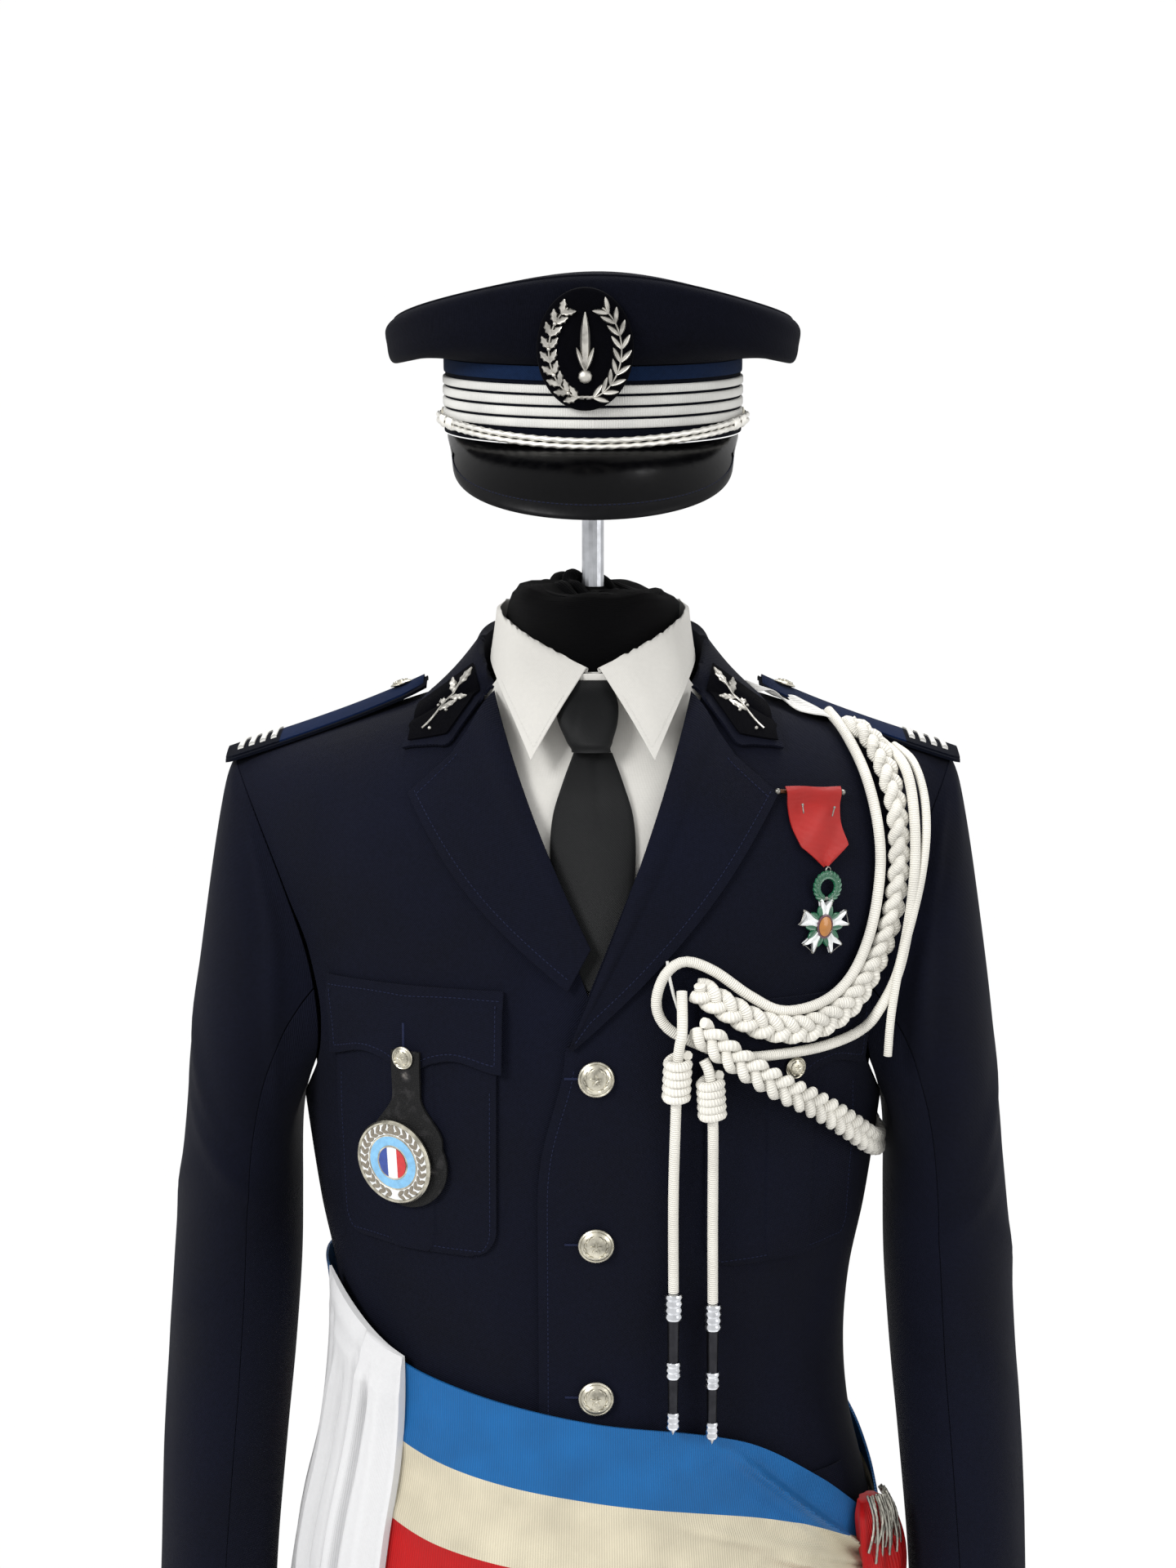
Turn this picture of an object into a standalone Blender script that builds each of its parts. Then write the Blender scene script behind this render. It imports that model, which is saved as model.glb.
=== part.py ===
"""A police dress uniform on a limbless display form.

The set is a peaked cap, a tunic, a shirt front, a tie, a tricolour sash, white gloves, a shoulder
cord, a medal and a badge on a leather fob. The form stands on a steel pole and a round base.
Metres, +Z up, the wearer faces -Y and the wearer's left is +X. The origin is on the floor, under
the middle of the base.
"""

import math
from collections import namedtuple

import bmesh
import bpy
from mathutils import Matrix, Vector

# Driving dimensions
SEAM_GAP = 0.0005          # between two panels at a seam
ARMPIT_GAP = 0.0018        # at the foot of the armhole, where the sleeve turns down
LAYER_GAP = 0.0004         # between a piece and what it lies on
CLOTH = 0.0016             # wall of the tunic's cloth
SHIRT_CLOTH = 0.0012
SASH_CLOTH = 0.0016
STEP = 0.0005              # step of the numeric normals
MERGE = 0.00001            # points closer than this are one

HEM_HEIGHT = 0.720
ARMPIT_HEIGHT = 1.190
NECK_HALF_WIDTH = 0.072
NECK_POINT_HEIGHT = 1.467  # where the shoulder seam meets the neck
SHOULDER_SLOPE = 0.318
SHOULDER_ROUND = 0.130     # depth below the seam over which the shoulder rounds
DOME_POWER = 2.0           # roundness of the torso's sections
RIDGE_POWER = 2.2          # roundness of the shoulder

BREAK_X, BREAK_Z = -0.017, 1.246     # where the left lapel starts to turn
GORGE_X, GORGE_Z = 0.062, 1.462      # where the collar meets the lapel on the roll line
LAPEL_TIP_X, LAPEL_TIP_Z = 0.1150, 1.4030
OVERLAP_LEFT = -0.034      # edge of the left front, which lies on top
OVERLAP_RIGHT = 0.030      # edge of the right front, underneath

FRONT_BUTTONS = ((1.233, 0.0003), (1.126, 0.0006), (1.0235, 0.0012))   # height and lift
FRONT_BUTTON_RADIUS = 0.0112
SMALL_BUTTON_RADIUS = 0.0072

BASE_RADIUS = 0.180
BASE_HEIGHT = 0.016
STAND_POLE_RADIUS = 0.0160
CAP_POLE_RADIUS = 0.0071
FORM_BOTTOM = 0.765
FORM_MARGIN = 0.010        # from the tunic's outer surface in to the form
NECK_TOP = 1.524

CAP_TILT = math.radians(6)
CAP_CENTRE = (0.0, 0.0, 1.625)      # middle of the lower edge of the band
CAP_BAND_RADIUS = 0.0945
CAP_BAND_HEIGHT = 0.046

CORD_RADIUS = 0.0035
BRAID_HALF_WIDTH = 0.0095
BRAID_HALF_THICKNESS = 0.0060

RIGHT_BREAK_X = 0.010
LAPEL_FOOT_INNER = (-0.0010, 1.3075)   # lower end of the right lapel, where it goes under the left one
LAPEL_FOOT_OUTER = (0.0110, 1.2830)
COLLAR_LIFT = 0.0014
COLLAR_WALL = 0.0022
COLLAR_FOOT = 1.4685       # the stand's lower edge, above the tunic's neck edge
POCKET_LEFT_X, POCKET_RIGHT_X = 0.1220, 0.1130
POCKET_HALF_WIDTH = 0.058
PLEAT_SHARE = 0.30
FLAP_HALF_WIDTH = 0.062
FLAP_TOP = 1.2860
POCKET_LIFT = 0.0008
FLAP_LIFT = 0.0038
POCKET_BUTTON_Z = FLAP_TOP - 0.044
FRONT_BUTTON_X = 0.002
EPAULETTE_START, EPAULETTE_STOP = 0.1025, 0.2370
EPAULETTE_LIFT = 0.0016
EPAULETTE_Y = 0.002
EPAULETTE_WALL = 0.0052
RANK_BARS = (0.760, 0.815, 0.870, 0.925)
SASH_LIFT = 0.0048
GLOVE_LIFT = SASH_LIFT + SASH_CLOTH + 0.0010
HIP_ANGLE = 68             # where the sash is tied
FERRULE_GAP = 0.0008
FOB_WALL = 0.0020
FOB_MIDDLE = (0.1130, 1.1720)
FOB_RADIUS = 0.0275
BADGE_MIDDLE = (0.1195, 1.1740)
MEDAL_X, MEDAL_HINGE_Z = 0.1427, 1.3560
PENDANT_WALL = 0.0022
WREATH_RADIUS, WREATH_DROP = 0.0072, -0.0122
WREATH_WALL = 0.0023
WREATH_STEPS, WREATH_SIDES = 16, 5
STAR_DROP = -0.0365
STAR_REACH, STAR_NOTCH, STAR_VALLEY = 0.0185, 0.0150, 0.0095
CAP_BAND_DEPTH = 0.108
CAP_BADGE_FRONT = 0.1180
CAP_BADGE_LEAN = 0.19
CHIN_CORD_LIFT = 0.0045
CROWN_WALL = 0.0024

Section = namedtuple("Section", "at half_width front back")
TUNIC = (
    Section(0.640, 0.216, 0.136, 0.130),
    Section(0.720, 0.210, 0.134, 0.128),
    Section(0.800, 0.204, 0.132, 0.125),
    Section(0.860, 0.197, 0.130, 0.122),
    Section(0.920, 0.186, 0.127, 0.115),
    Section(0.970, 0.174, 0.123, 0.105),
    Section(1.020, 0.1695, 0.120, 0.098),
    Section(1.070, 0.1725, 0.122, 0.100),
    Section(1.120, 0.1820, 0.128, 0.107),
    Section(1.190, 0.1915, 0.134, 0.115),
    Section(1.240, 0.197, 0.135, 0.118),
    Section(1.290, 0.206, 0.132, 0.119),
    Section(1.330, 0.219, 0.127, 0.119),
    Section(1.380, 0.240, 0.120, 0.118),
    Section(1.430, 0.262, 0.114, 0.116),
    Section(1.520, 0.290, 0.106, 0.112),
)
# The front edge of the armhole by share of the height from armpit to shoulder seam
Edge = namedtuple("Edge", "at front back")
ARMHOLE = (
    Edge(0.00, 0.1915, 0.1915),
    Edge(0.06, 0.1835, 0.1860),
    Edge(0.20, 0.1740, 0.1800),
    Edge(0.40, 0.1790, 0.1850),
    Edge(0.60, 0.1945, 0.1990),
    Edge(0.80, 0.2130, 0.2160),
    Edge(1.00, 0.2325, 0.2325),
)
# The sleeve from shoulder to cuff: outer and inner silhouette, half depth, middle and how far the
# armhole's shape still shows
Ring = namedtuple("Ring", "at outer_x outer_z inner_x inner_z depth middle cling")
SLEEVE = (
    Ring(0, 0.2340, 1.4150, 0.1926, 1.189, 0.078, 0.000, 1.00),
    Ring(1, 0.2400, 1.4000, 0.1945, 1.181, 0.079, 0.000, 0.80),
    Ring(2, 0.2460, 1.3680, 0.1958, 1.171, 0.080, -0.001, 0.50),
    Ring(3, 0.2535, 1.3180, 0.1962, 1.158, 0.079, -0.002, 0.24),
    Ring(4, 0.2625, 1.2500, 0.1958, 1.140, 0.077, -0.004, 0.08),
    Ring(5, 0.2690, 1.1800, 0.1955, 1.115, 0.073, -0.006, 0.00),
    Ring(6, 0.2775, 1.1000, 0.1965, 1.070, 0.069, -0.008, 0.00),
    Ring(7, 0.2825, 1.0200, 0.2010, 1.010, 0.066, -0.013, 0.00),
    Ring(8, 0.2870, 0.9500, 0.2070, 0.950, 0.064, -0.019, 0.00),
    Ring(9, 0.2905, 0.8700, 0.2140, 0.870, 0.062, -0.027, 0.00),
    Ring(10, 0.2930, 0.7900, 0.2170, 0.790, 0.060, -0.036, 0.00),
)
COLOURS = {
    "navy_cloth": (0.012, 0.015, 0.032, 0.85, 0.0),
    "black_cloth": (0.006, 0.006, 0.009, 0.95, 0.0),
    "blue_cloth": (0.012, 0.045, 0.150, 0.85, 0.0),
    "shirt_cotton": (0.800, 0.800, 0.780, 0.80, 0.0),
    "tie_cloth": (0.020, 0.023, 0.026, 0.65, 0.0),
    "sash_silk": (0.650, 0.610, 0.510, 0.55, 0.0),
    "glove_cotton": (0.800, 0.800, 0.820, 0.80, 0.0),
    "white_cord": (0.760, 0.740, 0.680, 0.75, 0.0),
    "silver_metal": (0.720, 0.690, 0.600, 0.30, 1.0),
    "silver_lace": (0.780, 0.780, 0.780, 0.45, 0.2),
    "bullion": (0.420, 0.390, 0.320, 0.40, 0.8),
    "patent_leather": (0.006, 0.006, 0.006, 0.08, 0.0),
    "fob_leather": (0.012, 0.012, 0.012, 0.45, 0.0),
    "enamel": (0.750, 0.750, 0.740, 0.20, 0.0),
    "red_ribbon": (0.620, 0.035, 0.022, 0.70, 0.0),
    "form_jersey": (0.006, 0.006, 0.006, 0.95, 0.0),
    "steel": (0.620, 0.620, 0.640, 0.28, 1.0),
    "base_metal": (0.030, 0.030, 0.032, 0.45, 0.8),
}


def clear_scene():
    for old in list(bpy.data.objects):
        bpy.data.objects.remove(old, do_unlink=True)


def material(name):
    """The Principled material of one colour, made once."""
    found = bpy.data.materials.get(name)
    if found:
        return found
    red, green, blue, roughness, metallic = COLOURS[name]
    made = bpy.data.materials.new(name)
    made.use_nodes = True
    shader = made.node_tree.nodes["Principled BSDF"]
    shader.inputs["Base Color"].default_value = (red, green, blue, 1.0)
    shader.inputs["Roughness"].default_value = roughness
    shader.inputs["Metallic"].default_value = metallic
    return made


def curve(table, column, at):
    """A column of a table at a place between its rows, along a smooth cubic."""
    places = [row.at for row in table]
    values = [getattr(row, column) for row in table]
    at = min(max(at, places[0]), places[-1])
    i = 0
    while i < len(places) - 2 and at > places[i + 1]:
        i += 1

    def slope(k):
        low, high = max(k - 1, 0), min(k + 1, len(places) - 1)
        return (values[high] - values[low]) / (places[high] - places[low])

    span = places[i + 1] - places[i]
    u = (at - places[i]) / span
    return (
        (2 * u**3 - 3 * u**2 + 1) * values[i]
        + (u**3 - 2 * u**2 + u) * span * slope(i)
        + (3 * u**2 - 2 * u**3) * values[i + 1]
        + (u**3 - u**2) * span * slope(i + 1)
    )


def spread(low, high, count):
    """Evenly spaced numbers, both ends included."""
    return [low + (high - low) * i / (count - 1) for i in range(count)]


def mix(a, b, share):
    return a + (b - a) * share


def smooth_step(value, low, high):
    """0 below low, 1 above high, and a soft rise between them."""
    u = min(max((value - low) / (high - low), 0.0), 1.0)
    return u * u * (3 - 2 * u)


def mesh_object(name, points, faces, colour):
    """One closed mesh as an object of the uniform's collection."""
    mesh = bpy.data.meshes.new(name)
    mesh.from_pydata([tuple(p) for p in points], [], faces)
    shape = bmesh.new()
    shape.from_mesh(mesh)
    bmesh.ops.remove_doubles(shape, verts=shape.verts, dist=MERGE)
    loose = [edge for edge in shape.edges if not edge.link_faces]
    bmesh.ops.delete(shape, geom=loose, context="EDGES")
    bmesh.ops.recalc_face_normals(shape, faces=shape.faces)
    shape.to_mesh(mesh)
    shape.free()
    mesh.materials.append(material(colour))
    mesh.shade_smooth()
    mesh.set_sharp_from_angle(angle=math.radians(40))
    made = bpy.data.objects.new(name, mesh)
    UNIFORM.objects.link(made)
    return made


def wall(name, outer, inner, colour, wrap=False):
    """A closed wall between two grids of points, rows by columns. wrap joins each row's ends."""
    rows, columns = len(outer), len(outer[0])
    points = [p for row in outer for p in row] + [p for row in inner for p in row]
    back = rows * columns
    faces = []
    across = columns if wrap else columns - 1
    for r in range(rows - 1):
        for c in range(across):
            d = (c + 1) % columns
            quad = (r * columns + c, r * columns + d, (r + 1) * columns + d, (r + 1) * columns + c)
            faces.append(quad)
            faces.append(tuple(back + k for k in reversed(quad)))
    for c in range(across):
        d = (c + 1) % columns
        last = (rows - 1) * columns
        faces.append((c, back + c, back + d, d))
        faces.append((last + d, back + last + d, back + last + c, last + c))
    if not wrap:
        for r in range(rows - 1):
            a, b = r * columns, (r + 1) * columns
            faces.append((b, back + b, back + a, a))
            a, b = a + columns - 1, b + columns - 1
            faces.append((a, back + a, back + b, b))
    return mesh_object(name, points, faces, colour)


def loft(name, rings, colour):
    """A closed solid through rings of as many points each, with a cap on both ends."""
    size = len(rings[0])
    points = [p for ring in rings for p in ring]
    faces = [tuple(range(size)), tuple(range(len(points) - 1, len(points) - 1 - size, -1))]
    for r in range(len(rings) - 1):
        for c in range(size):
            d = (c + 1) % size
            faces.append((r * size + c, (r + 1) * size + c, (r + 1) * size + d, r * size + d))
    return mesh_object(name, points, faces, colour)


def turned(name, profile, colour, steps=24):
    """A profile of (radius, height), top to bottom down its outer side, turned round Z."""
    mesh = bpy.data.meshes.new(name)
    edges = [(i, i + 1) for i in range(len(profile) - 1)]
    mesh.from_pydata([(radius, 0.0, height) for radius, height in profile], edges, [])
    made = bpy.data.objects.new(name, mesh)
    UNIFORM.objects.link(made)
    made.data.materials.append(material(colour))
    screw = made.modifiers.new("Screw", "SCREW")
    screw.steps = screw.render_steps = steps
    screw.use_merge_vertices = True
    screw.merge_threshold = 0.00005
    screw.use_smooth_shade = True
    return made


def stand_on(made, place, normal, spin=0.0):
    """Puts an object's own Z along a normal, at a place."""
    turn = normal.to_track_quat("Z", "Y").to_matrix().to_4x4()
    made.matrix_world = Matrix.Translation(place) @ turn @ Matrix.Rotation(spin, 4, "Z")
    return made


# The torso's surface
def shoulder_height(x):
    return NECK_POINT_HEIGHT - (abs(x) - NECK_HALF_WIDTH) * SHOULDER_SLOPE


def torso(x, z, side=-1):
    """A point of the tunic's outer surface: side -1 is the front and 1 is the back."""
    half = curve(TUNIC, "half_width", z)
    depth = curve(TUNIC, "front" if side < 0 else "back", z)
    dome = (1 - min(abs(x) / half, 1.0) ** DOME_POWER) ** (1 / DOME_POWER)
    fall = min(max((shoulder_height(x) - z) / SHOULDER_ROUND, 0.0), 1.0)
    ridge = (1 - (1 - fall) ** RIDGE_POWER) ** (1 / RIDGE_POWER)
    return Vector((x, side * (SEAM_GAP / 2 + depth * dome * ridge), z))


def on_torso(x, z, side=-1, lift=0.0):
    """A point of the torso's surface, moved out along its normal."""
    along = torso(x + STEP, z, side) - torso(x - STEP, z, side)
    up = torso(x, z + STEP, side) - torso(x, z - STEP, side)
    normal = along.cross(up).normalized() * -side
    return torso(x, z, side) + normal * lift


def outward(x, z):
    """The torso's front normal, laid level."""
    normal = on_torso(x, z, -1, 1.0) - torso(x, z)
    normal.z = 0.0
    return normal.normalized()


def around(angle, z, lift=0.0):
    """A point round the torso: 0 degrees is the front, 90 the wearer's left, 180 the back."""
    turn = math.radians(angle)
    half, front = curve(TUNIC, "half_width", z), curve(TUNIC, "front", z)
    deep = front if math.cos(turn) > 0 else curve(TUNIC, "back", z)
    normal = Vector((deep * math.sin(turn), -half * math.cos(turn), 0.0)).normalized()
    return Vector((half * math.sin(turn), -deep * math.cos(turn), z)) + normal * lift


def walk(x, z, distance):
    """The x that lies a distance along the front from x, measured on the cloth."""
    parts = 8
    for _ in range(parts):
        slope = (torso(x + STEP, z).y - torso(x - STEP, z).y) / (2 * STEP)
        x += distance / parts / math.hypot(1.0, slope)
    return x


def shoulder_place(x, y, lift=0.0):
    """The point of the shoulder above a place of the plan, moved up."""
    side = -1 if y < 0 else 1
    low, high = 1.30, shoulder_height(x)
    for _ in range(24):
        middle = (low + high) / 2
        if abs(torso(x, middle, side).y) > abs(y):
            low = middle
        else:
            high = middle
    return Vector((x, y, low + lift))


def mirrored(grid, left):
    """A grid worked out on the wearer's left, or its mirror image."""
    return grid if left else [[Vector((-p.x, p.y, p.z)) for p in row] for row in grid]


def patch(name, place, across, down, low, high, colour, left=True):
    """Cloth on the front: place gives x and z, low and high the lifts of its two faces."""
    inner = [[on_torso(*place(u, v), -1, low(u, v)) for u in across] for v in down]
    outer = [[on_torso(*place(u, v), -1, high(u, v)) for u in across] for v in down]
    return wall(name, mirrored(outer, left), mirrored(inner, left), colour)


def smooth_route(points, spacing):
    """Points at even spacing along a smooth curve through hand-placed ones."""
    fine = []
    for i in range(len(points) - 1):
        before, start = points[max(i - 1, 0)], points[i]
        stop, after = points[i + 1], points[min(i + 2, len(points) - 1)]
        for k in range(12):
            u = k / 12
            fine.append(
                0.5
                * (
                    2 * start
                    + (stop - before) * u
                    + (2 * before - 5 * start + 4 * stop - after) * u**2
                    + (3 * start - before - 3 * stop + after) * u**3
                )
            )
    fine.append(points[-1])
    lengths = [0.0]
    for i in range(len(fine) - 1):
        lengths.append(lengths[-1] + (fine[i + 1] - fine[i]).length)
    count = max(int(round(lengths[-1] / spacing)), 2)
    route, k = [], 0
    for i in range(count + 1):
        goal = lengths[-1] * i / count
        while k < len(fine) - 2 and lengths[k + 1] < goal:
            k += 1
        share = (goal - lengths[k]) / (lengths[k + 1] - lengths[k])
        route.append(fine[k].lerp(fine[k + 1], share))
    return route


def cord(name, points, radius, colour, spacing=0.018):
    """A plain round cord along a route."""
    route = smooth_route(points, spacing)
    data = bpy.data.curves.new(name, "CURVE")
    data.dimensions = "3D"
    data.bevel_depth = radius
    data.bevel_resolution = 2
    data.use_fill_caps = True
    spline = data.splines.new("POLY")
    spline.points.add(len(route) - 1)
    for point, place in zip(spline.points, route):
        point.co = (*place, 1.0)
    data.materials.append(material(colour))
    made = bpy.data.objects.new(name, data)
    UNIFORM.objects.link(made)
    return made


def tube(name, route, half_width, half_thickness, outward_at, colour, sides=8):
    """A flat or round tube: the half sizes may change from point to point of its route."""
    rings = []
    for i, place in enumerate(route):
        ahead = route[min(i + 1, len(route) - 1)] - route[max(i - 1, 0)]
        out = outward_at(place)
        across = ahead.cross(out).normalized()
        out = across.cross(ahead).normalized()
        ring = []
        for k in range(sides):
            turn = 2 * math.pi * (k + 0.5) / sides
            width = half_width(i) * math.cos(turn)
            ring.append(place + across * width + out * half_thickness(i) * math.sin(turn))
        rings.append(ring)
    return loft(name, rings, colour)


# The display form
FORM_POINTS = 20
NECK_RINGS = (
    (0.0640, 0.0600, 1.452),
    (0.0572, 0.0575, 1.474),
    (0.0565, 0.0565, 1.500),
    (0.0552, 0.0552, 1.514),
    (0.0470, 0.0470, NECK_TOP),
)


def form_ring(z):
    """A section of the form, inside the tunic by the margin."""
    level = z + 0.014 * smooth_step(z, 1.24, 1.36)
    widest = NECK_HALF_WIDTH + (NECK_POINT_HEIGHT - level) / SHOULDER_SLOPE
    half = min(curve(TUNIC, "half_width", level), widest)
    ring = []
    for k in range(FORM_POINTS):
        angle = 2 * math.pi * k / FORM_POINTS
        side = -1 if math.cos(angle) >= 0 else 1
        surface = torso(half * math.sin(angle), level, side)
        deepest = abs(torso(0.0, level, side).y)
        shrink_y = (deepest - FORM_MARGIN) / deepest
        ring.append(Vector((surface.x * (half - FORM_MARGIN) / half, surface.y * shrink_y, z)))
    return ring


def oval(half_x, half_y, z, points=FORM_POINTS):
    turn = [2 * math.pi * k / points for k in range(points)]
    return [Vector((half_x * math.sin(a), -half_y * math.cos(a), z)) for a in turn]


def make_form():
    heights = [FORM_BOTTOM, 0.86, 0.93, 0.98, 1.03, 1.08, 1.16, 1.25, 1.32, 1.37, 1.405, 1.43]
    rings = [form_ring(z) for z in heights] + [oval(*ring) for ring in NECK_RINGS]
    loft("form_torso", rings, "form_jersey")


def make_stand():
    top, edge = BASE_HEIGHT, 0.005
    base = [(0.0, top), (BASE_RADIUS - edge, top), (BASE_RADIUS, top - edge)]
    turned("stand_base", base + [(BASE_RADIUS, 0.0), (0.0, 0.0)], "base_metal", 40)
    foot, head = BASE_HEIGHT + LAYER_GAP, FORM_BOTTOM - LAYER_GAP
    pole = [(0.0, head), (STAND_POLE_RADIUS, head), (STAND_POLE_RADIUS, foot + 0.030)]
    flange = [(0.030, foot + 0.016), (0.034, foot), (0.0, foot)]
    turned("stand_pole", pole + flange, "steel", 20)
    rest = crown_place(0.0, 0.0, CROWN_WALL).z
    dome = [(0.0, rest), (0.012, rest - 0.002), (0.024, rest - 0.008), (0.023, rest - 0.011)]
    tube_head = [(CAP_POLE_RADIUS, rest - 0.012), (CAP_POLE_RADIUS, NECK_TOP + LAYER_GAP)]
    turned("cap_pole", dome + tube_head + [(0.0, NECK_TOP + LAYER_GAP)], "steel", 16)


# The tunic's body
PANEL_HEIGHTS = (HEM_HEIGHT, 0.80, 0.87, 0.93, 0.98, 1.03, 1.085, 1.14)
PANEL_SHARES = (0.0, 0.06, 0.18, 0.34, 0.52, 0.70, 0.84, 0.94, 1.0)
FRONT_SEAM, BACK_SEAM = 3, 2         # the shares where the sleeve's two seams meet the armhole


def front_edge(z, left):
    """The panel's inner edge as x: the roll line above the break, the front edge below it."""
    edge = OVERLAP_LEFT if left else -OVERLAP_RIGHT
    start = BREAK_X if left else -RIGHT_BREAK_X
    if z <= BREAK_Z:
        return mix(edge, start, smooth_step(z, BREAK_Z - 0.110, BREAK_Z) ** 2)
    share = (z - BREAK_Z) / (NECK_POINT_HEIGHT - BREAK_Z)
    return mix(start, NECK_HALF_WIDTH + SEAM_GAP, share**0.93)


def front_drop(x, z):
    """How far the wearer's right front passes in, under the left one."""
    low = smooth_step(-x, -0.062, -0.037)
    return (CLOTH + 0.0010) * low * (1 - smooth_step(z, 1.290, 1.340))


def make_front(left):
    """A front, from the overlap to the side seam and the armhole."""
    rows = []
    for z in PANEL_HEIGHTS:
        half = curve(TUNIC, "half_width", z)
        first = math.asin(front_edge(z, left) / half)
        rows.append([(half * math.sin(mix(first, math.pi / 2, s)), z) for s in spread(0, 1, 9)])
    for share in PANEL_SHARES:
        start = front_edge(mix(ARMPIT_HEIGHT, NECK_POINT_HEIGHT, share), left)
        stop = curve(ARMHOLE, "front", share)
        row = []
        for s in spread(0, 1, 9):
            even = smooth_step(share, 0, 0.5)
            x = mix(start, stop, mix(math.sin(s * math.pi / 2), s, even))
            row.append((x, mix(ARMPIT_HEIGHT, shoulder_height(x), share)))
        rows.append(row)
    grids = []
    for depth in (0.0, CLOTH):
        grid = []
        for row in rows:
            drops = [0.0 if left else front_drop(x, z) for x, z in row]
            grid.append([on_torso(x, z, -1, -d - depth) for (x, z), d in zip(row, drops)])
        grids.append(mirrored(grid, left))
    wall("tunic_front_left" if left else "tunic_front_right", grids[0], grids[1], "navy_cloth")


def make_back():
    """The back, up to the shoulder seams and the neck."""
    rows = []
    for z in PANEL_HEIGHTS:
        half = curve(TUNIC, "half_width", z)
        rows.append([(half * math.sin(s * math.pi / 2), z) for s in spread(-1, 1, 13)])
    for share in PANEL_SHARES:
        row = []
        for s in spread(-1, 1, 13):
            even = smooth_step(share, 0, 0.5)
            x = curve(ARMHOLE, "back", share) * mix(math.sin(s * math.pi / 2), s, even)
            top = min(shoulder_height(x), NECK_POINT_HEIGHT)
            row.append((x, mix(ARMPIT_HEIGHT, top, share)))
        rows.append(row)
    outer = [[on_torso(x, z, 1) for x, z in row] for row in rows]
    inner = [[on_torso(x, z, 1, -CLOTH) for x, z in row] for row in rows]
    wall("tunic_back", outer, inner, "navy_cloth")


# Sleeves
def armhole_angle(share):
    """The angle at which the armhole reaches a share of its height."""
    return math.degrees(math.acos(2 * share - 1))


def armhole(angle):
    """The armhole by angle: 0 degrees is the shoulder, 90 the front and 180 the armpit."""
    turn = math.radians(angle)
    share = (1 + math.cos(turn)) / 2
    side = -1 if math.sin(turn) >= 0 else 1
    x = curve(ARMHOLE, "front" if side < 0 else "back", share)
    return torso(x, mix(ARMPIT_HEIGHT, shoulder_height(x), share), side)


def sleeve_oval(angle, row):
    turn = math.radians(angle)
    outer = Vector((curve(SLEEVE, "outer_x", row), 0, curve(SLEEVE, "outer_z", row)))
    inner = Vector((curve(SLEEVE, "inner_x", row), 0, curve(SLEEVE, "inner_z", row)))
    place = (outer + inner) / 2 + (outer - inner) / 2 * math.cos(turn)
    place.y = curve(SLEEVE, "middle", row) - curve(SLEEVE, "depth", row) * math.sin(turn)
    return place


def sleeve(angle, row):
    """The sleeve's outer surface: its head takes the shape of the armhole."""
    low = (1 - math.cos(math.radians(angle))) / 2
    away = Vector((mix(SEAM_GAP, ARMPIT_GAP, low**2), 0.0, 0.0))
    off = armhole(angle) - sleeve_oval(angle, 0) + away
    return sleeve_oval(angle, row) + off * curve(SLEEVE, "cling", row)


def sleeve_point(angle, row, lift):
    along = sleeve(angle + 1, row) - sleeve(angle - 1, row)
    down = sleeve(angle, min(row + 0.05, 10)) - sleeve(angle, max(row - 0.05, 0))
    return sleeve(angle, row) + down.cross(along).normalized() * lift


def make_sleeve(left):
    side = "left" if left else "right"
    rows = (0, 0.6, 1.2, 2, 3, 4, 5, 6, 7, 8, 9, 10)
    half_gap = 0.25
    front, back = armhole_angle(PANEL_SHARES[FRONT_SEAM]), armhole_angle(PANEL_SHARES[BACK_SEAM])
    shoulder = [armhole_angle(share) for share in PANEL_SHARES[FRONT_SEAM + 1:]]
    back_shoulder = [-armhole_angle(share) for share in PANEL_SHARES[BACK_SEAM + 1:-1]]
    armpit = [armhole_angle(share) for share in PANEL_SHARES[FRONT_SEAM - 1::-1]]
    back_armpit = [360 - armhole_angle(share) for share in PANEL_SHARES[1:BACK_SEAM]]
    parts = {
        "top": [half_gap - back] + back_shoulder + shoulder[::-1] + [front - half_gap],
        "under": [front + half_gap] + armpit + back_armpit + [360 - back - half_gap],
    }
    for part, angles in parts.items():
        outer = [[sleeve_point(a, row, 0.0) for a in angles] for row in rows]
        inner = [[sleeve_point(a, row, -CLOTH) for a in angles] for row in rows]
        name = f"sleeve_{side}_{part}"
        wall(name, mirrored(outer, left), mirrored(inner, left), "navy_cloth")


# Collar and lapels
Place = namedtuple("Place", "at x y z")
COLLAR_FOLD = (
    Place(0.00, 0.0625, -0.0480, 1.4630),
    Place(0.15, 0.0685, -0.0350, 1.4740),
    Place(0.35, 0.0725, -0.0050, 1.4880),
    Place(0.55, 0.0655, 0.0340, 1.4960),
    Place(0.75, 0.0410, 0.0590, 1.5020),
    Place(1.00, 0.0000, 0.0700, 1.5050),
)
# The collar's outer edge in plan; it lies on the shoulder and the back
COLLAR_EDGE = (
    Place(0.00, 0.1185, -0.0680, 0.0),
    Place(0.15, 0.1130, -0.0450, 0.0),
    Place(0.35, 0.0985, -0.0050, 0.0),
    Place(0.55, 0.0870, 0.0390, 0.0),
    Place(0.75, 0.0570, 0.0740, 0.0),
    Place(1.00, 0.0000, 0.0870, 0.0),
)
SHIRT_FOLD = (
    Place(0.00, 0.0035, -0.0690, 1.4775),
    Place(0.12, 0.0220, -0.0640, 1.4860),
    Place(0.30, 0.0480, -0.0440, 1.5000),
    Place(0.50, 0.0608, -0.0050, 1.5110),
    Place(0.70, 0.0500, 0.0370, 1.5145),
    Place(0.85, 0.0280, 0.0550, 1.5160),
    Place(1.00, 0.0000, 0.0610, 1.5160),
)
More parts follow.
